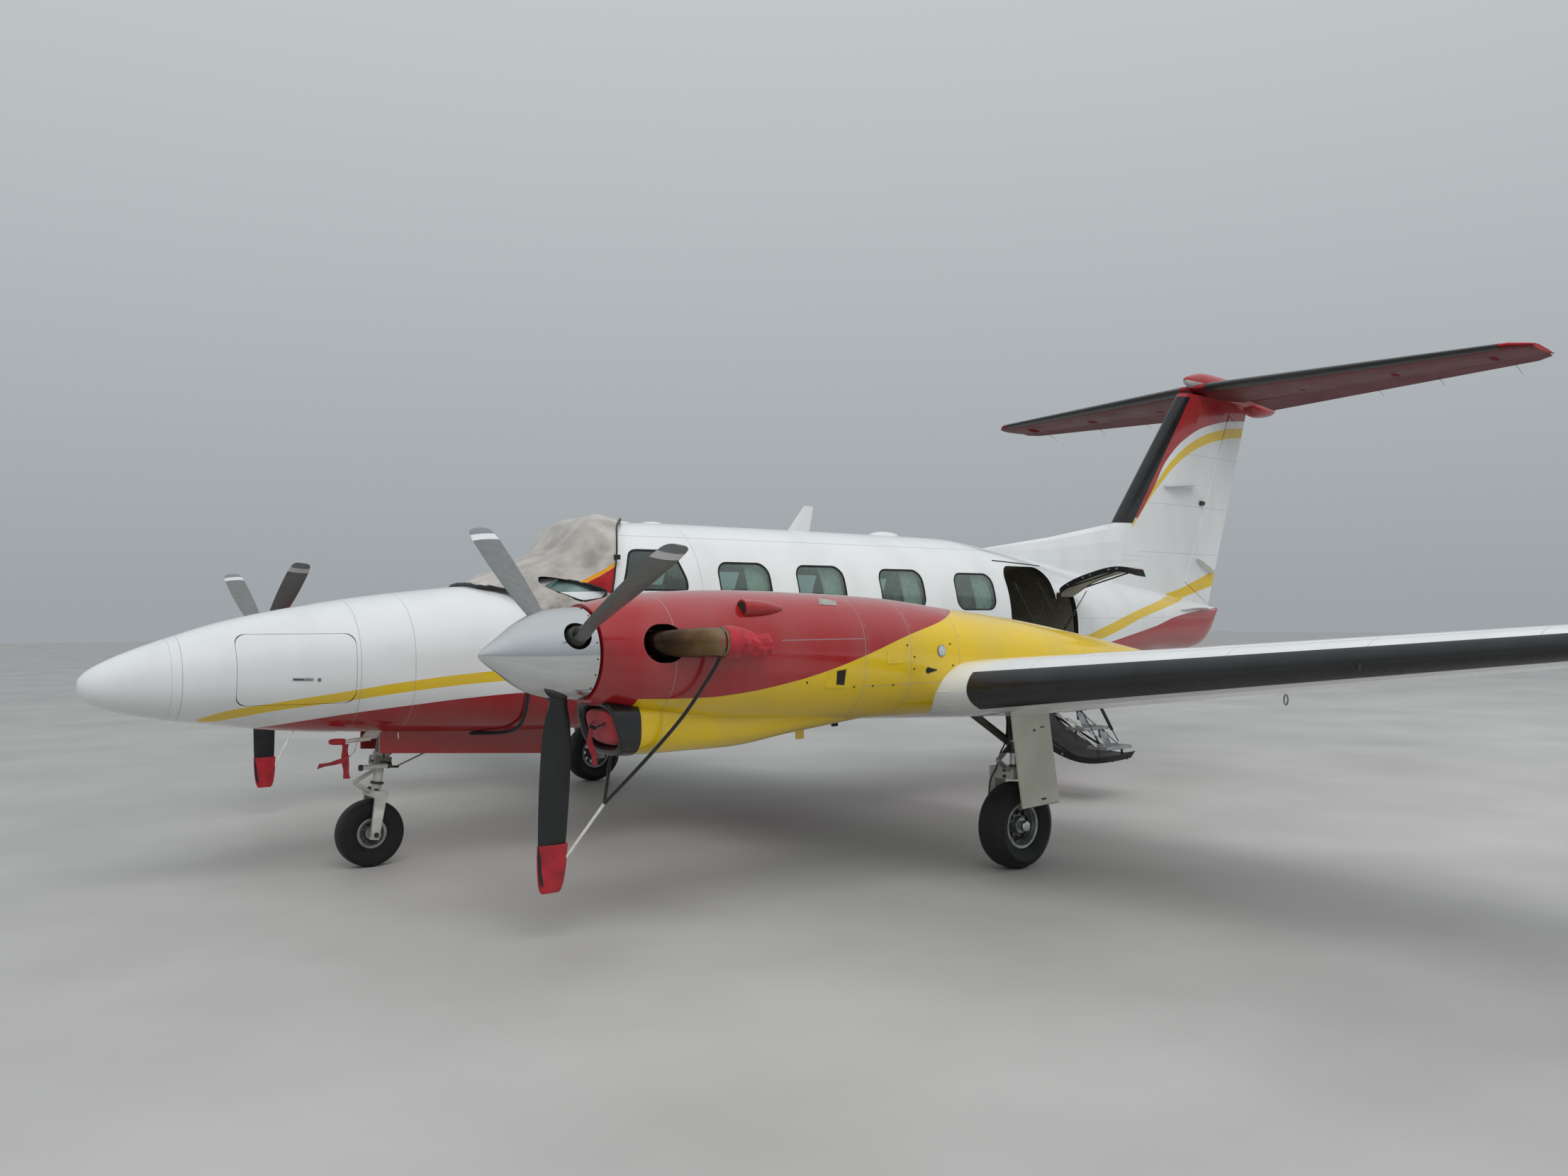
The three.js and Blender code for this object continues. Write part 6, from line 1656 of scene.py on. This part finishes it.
def plug_tail(side, y):
    """Vertices and faces of the crumpled cloth behind a plug."""
    sheets = [], []
    for s in np.linspace(0, 1, 26):
        line = []
        for t in np.linspace(-1, 1, 20):
            half = 0.080 - 0.026 * s + 0.004 * math.sin(9 * s)
            wrinkle = 0.009 * noise.noise((s * 6, t * 2.5, side)) + 0.003 * noise.noise((s * 14, t * 7, 5))
            bulge = side * 0.045 * (1 - t * t) * (1 - 0.6 * s)
            line.append((-4.103 + 0.235 * s + 0.01 * noise.noise((t * 3, 1, 1)), y + wrinkle + bulge,
                         1.532 + half * t - 0.02 * s))
        for rows, depth in zip(sheets, (0.0, CLOTH)):
            rows.append([(x, across + depth, z) for x, across, z in line])
    verts, faces, _ = slab_parts(np.array(sheets[0]), np.array(sheets[1]))
    return [tuple(v) for v in verts], faces


plug_parts, tails = [], []
for side in (1, -1):
    y = -ENGINE_Y + side * STACK_Y
    plug_parts.append(ring_parts([[(x, y + radius * math.cos(a), STACK_Z + radius * math.sin(a))
                                   for a in circle(36)] for x, radius in EXHAUST_PLUG]))
    tails.append(plug_tail(side, y))
for piece in twins("exhaust_plug", plug_parts, [cover_red], "cover_cloth", 40):
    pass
for number, tail_part in enumerate(tails):
    pair = twins(f"exhaust_plug_tail_{number + 1}", [tail_part], [cover_red], "cover_cloth", 50)

# Propeller ties: a sewn sleeve on the lowest blade, and a strap to both exhaust plugs
# The sleeve's rings: radius from the shaft, half width and half thickness
SLEEVE = [(0.985, 0.088, 0.013), (1.05, 0.087, 0.0125), (1.12, 0.083, 0.012), (1.19, 0.074, 0.0105),
          (1.225, 0.062, 0.0075), (1.238, 0.050, 0.004)]
TIE_RING_X, TIE_RING_Z, STACK_END = -4.60, 0.70, (-4.195, 0.487, 1.452)


def sleeve_ring(r, half, thick, less, y, lean):
    """A ring of the sleeve with five soft puckers, turned with the blade's twist; less is the cloth."""
    twist = math.radians(4 + (r - 1) * 20)
    ring = []
    for a in circle(40):
        along = (half - less) * math.cos(a) + 0.004
        across = (thick * (1 + 0.05 * math.sin(5 * a + r * 40)) - less) * math.sin(a)
        ring.append((PROPELLER_X + along * math.cos(twist) + across * math.sin(twist),
                     y - r * math.sin(lean) + across, ENGINE_Z - r * math.cos(lean)))
    return ring


for side_name, y, first in PROPELLERS:
    lean = math.radians(first)
    sign = -1 if y < 0 else 1
    outer, inner = (np.array([sleeve_ring(*numbers, less, y, lean) for numbers in SLEEVE])
                    for less in (0.0, CLOTH))
    sleeve = slab(f"blade_tip_sleeve_{side_name}", outer, inner, [cover_red], True)
    place(sleeve, "cover_cloth", 50, body=f"propeller_{side_name}")
    start = Vector((PROPELLER_X + 0.086, y - 1.06 * math.sin(lean), ENGINE_Z - 1.06 * math.cos(lean)))
    ring_at = Vector((TIE_RING_X, y + sign * 0.02, TIE_RING_Z))
    outboard, inboard = (Vector((STACK_END[0], y + way * STACK_END[1], STACK_END[2]))
                         for way in (sign, -sign))
    thin = tube_parts([tuple(start), tuple(start.lerp(ring_at, 0.5)), tuple(ring_at)], 0.008, 8)
    sag = Vector((0, 0, -0.06))
    webs = []
    for end in (outboard, inboard):
        line = [ring_at, ring_at.lerp(end, 0.35) + sag * 0.7, ring_at.lerp(end, 0.68) + sag,
                ring_at.lerp(end, 0.93) + sag * 0.4, end]
        webs.append((*tube_parts(curved([tuple(p) for p in line], 8), 0.0125, 8, 0.8), 1))
    strap = solid(f"propeller_tie_strap_{side_name}", [(*thin, 0), *webs], [curtain_cloth, strap_black])
    shaded(strap)
    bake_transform(strap)


# Ribbons: narrow red strips that hang or blow aft
def ribbon(name, line, width, across):
    points = [Vector(p) for p in curved(line, 6)]
    across = Vector(across).normalized()
    outer, inner = [], []
    for i, point in enumerate(points):
        ahead = (points[min(i + 1, len(points) - 1)] - points[max(i - 1, 0)]).normalized()
        out = ahead.cross(across).normalized()
        turn = 0.35 * math.sin(i * 0.55)
        wide = (across * math.cos(turn) + out * math.sin(turn)) * width / 2
        row = [point + wide * t for t in (-1, -0.5, 0, 0.5, 1)]
        outer.append([tuple(p + out * 0.0005) for p in row])
        inner.append([tuple(p - out * 0.0005) for p in row])
    strip = slab(name, np.array(outer), np.array(inner), [ribbon_red])
    place(strip, "cover_cloth", 60)


for side_name, y in (("left", -ENGINE_Y), ("right", ENGINE_Y)):
    intake_line = [(-4.665, y, 1.085), (-4.672, y + 0.004, 1.02), (-4.655, y - 0.01, 0.95),
                   (-4.652, y - 0.012, 0.90)]
    ribbon(f"intake_ribbon_{side_name}", intake_line, 0.034, (0.55, -0.8, 0))

# Pitot mast with its red cover and two ribbons, under the nose on the port side
PITOT_Y = -0.20
mast_rings = [[(-4.93 + lean + 0.055 * math.cos(a), PITOT_Y + 0.011 * math.sin(a), z) for a in circle(16)]
              for z, lean in ((0.935, 0.02), (0.90, -0.01), (0.872, -0.03))]
tube_line = [(-4.95, PITOT_Y, 0.876), (-5.02, PITOT_Y, 0.870), (-5.14, PITOT_Y, 0.863)]
pitot = [ring_parts(mast_rings), tube_parts(tube_line, [0.018, 0.015, 0.012], 14)]
place(solid("pitot_mast", pitot, [gear_white]), "gear_steel")
cover_line = curved([(-5.115, PITOT_Y, 0.864), (-5.165, PITOT_Y, 0.866), (-5.215, PITOT_Y, 0.868)], 4)
cover_radii = [0.018, 0.020, 0.021, 0.021, 0.021, 0.021, 0.020, 0.018, 0.013]
pitot_cover = solid("pitot_cover", [tube_parts(cover_line, cover_radii, 14)], [cover_red])
place(pitot_cover, "cover_cloth")
SHORT_RIBBON = [(-5.115, -0.215, 0.850), (-5.12, -0.22, 0.78), (-5.112, -0.215, 0.70),
                (-5.108, -0.218, 0.625)]
LONG_RIBBON = [(-5.04, -0.222, 0.860), (-5.065, -0.232, 0.80), (-5.12, -0.24, 0.755), (-5.21, -0.245, 0.735),
               (-5.30, -0.25, 0.722)]
ribbon("pitot_ribbon", SHORT_RIBBON, 0.045, (0.78, -0.62, 0))
ribbon("pitot_long_ribbon", LONG_RIBBON, 0.036, (0.35, -0.3, 0.85))

# Nose gear fittings, along the raked leg
RAKE = math.tan(math.radians(8.5))


def on_nose_leg(z, y=0.0, ahead=0.0):
    """A point at a height on the nose leg's line, or beside and ahead of it."""
    return (NOSE_WHEEL_X + (z - NOSE_WHEEL_RADIUS) * RAKE - ahead, y, z)


def leg_rods(rows):
    """Tubes between two points by the nose leg: both points, radius, sides and material."""
    return [(*tube_parts([on_nose_leg(*low), on_nose_leg(*high)], radius, sides), material)
            for low, high, radius, sides, material in rows]


# Cylinder with its end caps and rod, thin arm, leg collar and two pipes: both ends, radius, sides, material
NOSE_LEG_RODS = [((0.668, -0.062, 0.145), (0.672, -0.062, -0.035), 0.0165, 16, 0),
                 ((0.668, -0.062, 0.160), (0.668, -0.062, 0.140), 0.021, 16, 1),
                 ((0.672, -0.062, -0.030), (0.674, -0.062, -0.055), 0.022, 16, 1),
                 ((0.660, -0.055, -0.05), (0.655, -0.05, -0.115), 0.008, 10, 1),
                 ((0.657, -0.05, -0.10), (0.735, -0.03, -0.30), 0.006, 10, 2),
                 ((0.70, 0.0, 0.0), (0.76, 0.0, 0.0), [0.060, 0.054], 28, 0),
                 ((0.690, 0.0, 0.0), (0.702, 0.0, 0.0), 0.066, 28, 1),
                 ((0.72, -0.058, 0.0), (0.90, -0.058, 0.02), 0.006, 8, 1),
                 ((0.72, 0.058, 0.0), (0.90, 0.058, 0.02), 0.006, 8, 1)]
leg_bits = solid("nose_leg_fittings", leg_rods(NOSE_LEG_RODS), [gear_white, dark_enamel, chrome])
place(leg_bits, "gear_steel", 40)

# Axle caps, bolts and a ring on the fork
fork_bits = []
for sign in (1, -1):
    for y0, y1, radius, material in ((0.118, 0.128, 0.030, 0), (0.126, 0.140, 0.017, 1)):
        axle_line = [(NOSE_WHEEL_X, sign * y, NOSE_WHEEL_RADIUS) for y in (y0, y1)]
        fork_bits.append((*tube_parts(axle_line, radius, 24), material))
fork_bits += leg_rods([((0.512, sign * 0.050, 0.02), (0.512, sign * 0.078, 0.02), 0.012, 6, 1)
                       for sign in (1, -1)])
fork_bits += leg_rods([((0.545,), (0.562,), 0.043, 28, 1)])
place(solid("nose_fork_fittings", fork_bits, [gear_white, dark_enamel]), "gear_steel", 40, body="nose_fork")

# Main gear fittings: gland rings, brake pipes with their unions, axle cap and the marks on the leg door
main_bits = []
for z, radius, tall, material in ((0.755, 0.0575, 0.022, 1), (0.83, 0.056, 0.012, 0), (0.97, 0.057, 0.03, 1),
                                  (1.08, 0.056, 0.02, 0), (0.664, 0.037, 0.014, 1)):
    main_bits.append((*tube_parts([(MAIN_X, MAIN_Y, z), (MAIN_X, MAIN_Y, z + tall)], radius, 28), material))
BRAKE_PIPES = [[(-1.645, -2.79, 1.14), (-1.655, -2.785, 0.86), (-1.700, -2.775, 0.76), (-1.690, -2.73, 0.66),
                (-1.675, -2.66, 0.56), (-1.65, -2.62, 0.42)],
               [(-1.648, -2.82, 1.12), (-1.660, -2.815, 0.90), (-1.668, -2.81, 0.80)]]
main_bits += [(*tube_parts(curved(pipe, 6), 0.0055, 8), 1) for pipe in BRAKE_PIPES]
main_bits += [(*tube_parts([(-1.668, -2.77, z), (-1.650, -2.77, z)], 0.011, 6), 1) for z in (0.60, 0.64)]
main_bits.append((*tube_parts([(-1.600, MAIN_Y + 0.118, 0.30), (-1.600, MAIN_Y + 0.180, 0.30)], 0.040, 24),
                  0))
twins("main_leg_fittings", main_bits, [cast_aluminium, dark_enamel], "gear_steel", 40)
LEG_DOOR_FACE = (-2.9668, -2.9655)
marks = [box_parts(x0, x1, *LEG_DOOR_FACE, z0, z1)
         for x0, x1, z0, z1 in ((-1.60, -1.575, 0.905, 0.918), (-1.53, -1.49, 0.925, 0.932),
                                (-1.52, -1.475, 0.452, 0.464))]
marks.append(tube_parts([(-1.700, -2.9575, 0.412), (-1.340, -2.9575, 0.425)], 0.006, 8))
twins("main_gear_door_marks", marks, [dark_enamel], "white_paint")

# Hub caps of the main wheels
for side_name, sign in (("left", -1), ("right", 1)):
    cap_profile = [(0.0, 2.880), (0.036, 2.880), (0.036, 2.896), (0.030, 2.903), (0.0, 2.905)]
    cap = turned_parts([(r, sign * at) for r, at in cap_profile], (MAIN_X, 0, MAIN_RADIUS), "Y", 32)
    place(solid(f"main_wheel_hub_cap_{side_name}", [cap], [chrome]), "bare_metal", 40,
          body=f"main_wheel_{side_name}")

# Door stays: the stair's cables, with their end fittings and a sleeve, and the cargo door's gas strut
STAYS = [([(0.90, -0.655, 1.95), (0.907, -0.685, 1.895), (0.908, -0.69, 1.885), (0.99, -1.05, 1.22),
           (1.072, -1.415, 0.585), (1.073, -1.42, 0.575), (1.08, -1.45, 0.52)],
          [0.009, 0.009, 0.0045, 0.0045, 0.0045, 0.009, 0.009]),
         ([(1.27, -0.62, 1.97), (1.31, -0.99, 1.32), (1.315, -1.03, 1.25), (1.351, -1.385, 0.625),
           (1.352, -1.395, 0.61), (1.36, -1.45, 0.52)], [0.0045, 0.0045, 0.015, 0.015, 0.0045, 0.0045])]
for number, (line, radii) in enumerate(STAYS):
    stay = solid(f"airstair_cable_{number + 1}", [tube_parts(line, radii, 8)], [strap_black])
    shaded(stay)
    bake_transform(stay)
strut_foot, strut_middle, strut_head = (1.60, -0.655, 1.50), (1.60, -0.80, 1.70), (1.60, -0.93, 1.88)
strut_parts = [(*tube_parts([strut_foot, strut_middle], 0.011, 14), 0),
               (*tube_parts([strut_middle, strut_head], 0.006, 12), 1)]
gas_strut = solid("cargo_door_gas_strut", strut_parts, [dark_enamel, chrome])
shaded(gas_strut)
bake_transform(gas_strut)

# Fuselage fittings: baggage door latch and lock, cover strap, belly aerials, moulding over the stair door
LATCH_PLATE = [(-5.506, 1.281), (-5.385, 1.277), (-5.385, 1.294), (-5.506, 1.298)]
LATCH_HANDLE = [(-5.498, 1.285), (-5.44, 1.283), (-5.44, 1.290), (-5.498, 1.292)]
fittings = [skin_plate(fuselage_form, *numbers)
            for numbers in ((softened(LATCH_PLATE, 0.008, 3), 0.0022, 0.004, 0),
                            (softened(LATCH_HANDLE, 0.003, 2), 0.0035, 0.002, 1),
                            (disc_outline(-5.352, 1.283, 0.012), 0.0025, 0.004, 0),
                            (disc_outline(-5.352, 1.283, 0.005, 10), 0.0035, 0.004, 1))]
place(solid("baggage_door_latch", fittings, [cast_aluminium, dark_enamel]), "bare_metal",
      body="nose_baggage_door")
NOSE_STRAP = [(-4.026, -0.632, 1.176), (-4.021, -0.588, 1.04), (-4.017, -0.470, 0.915), (-4.06, -0.33, 0.868),
              (-4.20, -0.20, 0.860), (-4.42, -0.12, 0.866)]
nose_strap = solid("cover_strap_under_nose", [tube_parts(curved(NOSE_STRAP, 8), 0.013, 10)], [strap_black])
place(nose_strap, "cover_cloth")


def hanging_blade(section, rings):
    """A small aerial under the belly: its section, then place along X, height and size of each ring."""
    return ring_parts([[(x + dx * size, -0.16 + dy, z) for dx, dy in section] for x, z, size in rings])


aerial_base = hanging_blade([(-0.06, 0), (-0.02, 0.006), (0.04, 0), (-0.02, -0.006)],
                            [(-4.42, 0.90, 1), (-4.41, 0.862, 1)])
aerial_blade = hanging_blade([(-0.03, 0), (0, 0.005), (0.03, 0), (0, -0.005)],
                             [(-4.36, 0.875, 1.0), (-4.33, 0.805, 0.7)])
rod = tube_parts([(-3.90, -0.18, 0.845), (-4.05, -0.18, 0.84)], 0.006, 8)
pin = tube_parts([(-4.80, -0.30, 0.91), (-4.80, -0.31, 0.87)], 0.003, 6)
aerials = solid("belly_aerials", [aerial_base, aerial_blade, rod, pin], [white_paint])
place(aerials, "white_paint")
moulding = [(x, fuselage_form.side(x, z, -0.003), z)
            for x, z in [(0.76 + 0.05 * k, 2.168 - 0.002 * k) for k in range(17)]]
place(solid("stair_door_moulding", [tube_parts(moulding, 0.006, 8, 0.6)], [seal_rubber]), "white_paint")

# Strakes low on the tail cone, and the delta aerials on the fin with their wires
STRAKE_X0, STRAKE_X1, STRAKE_Z, STRAKE_TALL, STRAKE_DEPTH = 4.12, 5.05, 1.700, 0.012, 0.075
DELTA_X0, DELTA_X1 = 4.10, 4.67
strake, delta = [], []
for x in np.linspace(STRAKE_X0, STRAKE_X1, 12):
    share = (x - STRAKE_X0) / (STRAKE_X1 - STRAKE_X0)
    origin, _, _, out = fuselage_form.frame(x, fuselage_form.degrees(x, STRAKE_Z))
    reach = STRAKE_DEPTH * math.sin(math.pi * min(share * 1.15 + 0.02, 0.98)) ** 0.6
    root, tip = Vector((0, 0, STRAKE_TALL / 2)), Vector((0, 0, 0.002))
    strake.append([tuple(origin - out * 0.01 + root), tuple(origin + out * reach + tip),
                   tuple(origin + out * reach - tip), tuple(origin - out * 0.01 - root)])
for x in np.linspace(DELTA_X0, DELTA_X1, 12):
    share = (x - DELTA_X0) / (DELTA_X1 - DELTA_X0)
    z, reach = 3.100 + 0.04 * share, 0.105 + 0.085 * math.sin(math.pi * (0.04 + 0.92 * share)) ** 0.7
    delta.append([(x, -0.09, z - 0.016), (x, -reach, z - 0.003), (x, -reach, z + 0.003),
                  (x, -0.09, z + 0.012)])
wire = tube_parts([(4.64, -0.115, 3.138), (4.76, -0.105, 3.04), (4.862, -0.095, 2.962)], 0.003, 6)
twins("tail_strakes", [ring_parts(strake), ring_parts(delta), wire], [white_paint], "white_paint")

# Lamp on the fin: a tapered block
LAMP_SECTION = [(-0.034, -0.02), (0.026, -0.026), (0.034, 0.02), (-0.026, 0.026)]
lamp = ring_parts([[(4.865 + dx * size, -y, 2.948 + dz * size) for dx, dz in LAMP_SECTION]
                   for y, size in ((0.05, 1.1), (0.085, 1.0), (0.102, 0.7))])
twins("fin_lamp", [lamp], [dark_enamel], "bare_metal")

# Push rod fairing low on the rudder: place, reach to the side, height and half height of each ring
rod_cover = [[(x, -0.012, z + h), (x, -y, z + 0.2 * h), (x, -y, z - 0.2 * h), (x, -0.012, z - h)]
             for x, y, z, h in ((4.78, 0.085, 2.295, 0.006), (4.86, 0.100, 2.262, 0.028),
                                (5.00, 0.092, 2.205, 0.036), (5.12, 0.062, 2.150, 0.022),
                                (5.15, 0.040, 2.138, 0.004))]
twins("rudder_rod_fairing", [ring_parts(rod_cover)], [white_paint], "white_paint", body="rudder")

# The rounded tail of the bullet under the elevator: place, half width, height and half height of each ring
tail_lobe = [[(x, w * math.cos(a), z + h * math.sin(a)) for a in circle(28)]
             for x, w, z, h in ((6.010, 0.030, 4.205, 0.035), (6.016, 0.062, 4.195, 0.068),
                                (6.06, 0.086, 4.178, 0.088), (6.16, 0.098, 4.176, 0.095),
                                (6.28, 0.094, 4.182, 0.092), (6.40, 0.080, 4.190, 0.080),
                                (6.50, 0.060, 4.198, 0.062), (6.57, 0.036, 4.205, 0.038),
                                (6.60, 0.012, 4.210, 0.012))]
place(solid("tail_bullet_lower_lobe", [ring_parts(tail_lobe)], [red_paint]), "red_paint", 50)

# Lamp glass round the front of the bullet, and the lamps of the tip tanks
lens_places = nose_spaced(4.66, 4.91, 12)
lens_outer, lens_inner = (bullet_form.grid(lens_places, RING, inset)[:, 38:70] for inset in (-0.0025, 0.004))
place(slab("tail_beacon_lens", lens_outer, lens_inner, [lamp_glass]), "pane")
tank_lamp = blister_parts(tank_form, -1.95, 180, 0.16, 0.07, 0.022)
twins("tip_tank_lamps", [tank_lamp], [lamp_glass], "pane", 50)

# Static wicks, trailing from the elevator, and hinge fairings under the tail plane,
# with place, half width and half height of a fairing's rings
FAIRING_Z = 4.255
FAIRING_RINGS = [(5.40, 0.004, 0.010), (5.48, 0.014, 0.022), (5.58, 0.015, 0.024), (5.66, 0.006, 0.016)]
for side_name, sign in (("left", -1), ("right", 1)):
    wicks, fairings = [], []
    for y in (1.55, 2.25, 3.05):
        x = 6.22 - 0.085 * y
        wick_line = [(x - 0.03, sign * y, 4.215), (x + 0.06, sign * y, 4.185), (x + 0.15, sign * y, 4.14)]
        wicks.append(tube_parts(wick_line, [0.003, 0.002, 0.0015], 6))
    for y in (0.95, 2.0, 3.0):
        rings = [[(x, sign * y + w * math.cos(a), FAIRING_Z - h + h * 0.9 * math.sin(a)) for a in circle(12)]
                 for x, w, h in FAIRING_RINGS]
        fairings.append(ring_parts(rings))
    place(solid(f"static_wicks_{side_name}", wicks, [dark_enamel]), "bare_metal", body="elevator")
    place(solid(f"elevator_hinge_fairings_{side_name}", fairings, [tail_paint]), "red_paint", 50)

# Stall vane on the wing's leading edge
vane_rings = []
for k, z in enumerate((1.436, 1.420, 1.398)):
    x, y0, y1 = -2.168 + 0.004 * k, -5.400 + 0.005 * k, -5.370 - 0.005 * k
    vane_rings.append([(x, y0, z), (-2.118, y0, z), (-2.118, y1, z), (x, y1, z)])
twins("stall_vane", [ring_parts(vane_rings)], [strap_black], "bare_metal")

# Tie-down ring under the wing
RING_X, RING_Y, RING_Z = -0.95, -4.35, 1.150
ring_line = [(RING_X + 0.022 * math.cos(2 * math.pi * k / 20), RING_Y,
              RING_Z + 0.030 * math.sin(2 * math.pi * k / 20)) for k in range(21)]
twins("wing_tie_down_ring", [tube_parts(ring_line, 0.005, 8)], [cast_aluminium], "bare_metal")

# Floor, light and sky

floor_material, tree = new_material("pale_studio_floor")
patches = mottle(tree, axes(tree)[3], 0.6, 3.0)
floor_colour = node(tree, "Mix RGBA", node(tree, "MapRange", patches, 0.3, 0.7, 0.0, 1.0), "a9a8a5", "b9b8b5")
close_material(floor_material, tree, floor_colour, 0.55)
HALF_FLOOR = 90
floor_corners = [(HALF_FLOOR * x, HALF_FLOOR * y, 0) for x, y in ((-1, -1), (1, -1), (1, 1), (-1, 1))]
link("floor", floor_corners, [(0, 1, 2, 3)], [floor_material])


def overcast_sky():
    """A grey sky that brightens from the horizon up."""
    world = bpy.data.worlds.new("overcast")
    world.use_nodes = True
    bpy.context.scene.world = world
    sky = world.node_tree
    direction = node(sky, "TexCoord").node.outputs["Generated"]
    upward = node(sky, "SeparateXYZ", direction).node.outputs["Z"]
    ramp = node(sky, "ValToRGB", node(sky, "MapRange", upward, -0.1, 0.9, 0.0, 1.0)).node
    for element, (at, shade) in zip(ramp.color_ramp.elements, ((0.1, "9da3a7"), (1.0, "dfe3e6"))):
        element.position = at
        element.color = hex_colour(shade)
    background = sky.nodes["Background"]
    sky.links.new(ramp.outputs[0], background.inputs[0])
    background.inputs[1].default_value = 1.0


def area_light(name, spot, size, power):
    """A soft round light aimed at the middle of the aircraft."""
    data = bpy.data.lights.new(name, "AREA")
    data.shape, data.size, data.energy = "DISK", size, power
    lamp = bpy.data.objects.new(name, data)
    aim = (Vector((0, 0, 1)) - Vector(spot)).to_track_quat("-Z", "Y").to_matrix().to_4x4()
    lamp.matrix_world = Matrix.Translation(spot) @ aim
    lamp.visible_glossy = False
    bpy.context.scene.collection.objects.link(lamp)


overcast_sky()
area_light("soft_key", (-9, -16, 22), 18, 2600)
area_light("soft_fill", (14, -10, 14), 16, 900)
bpy.context.scene.view_settings.view_transform = "Standard"
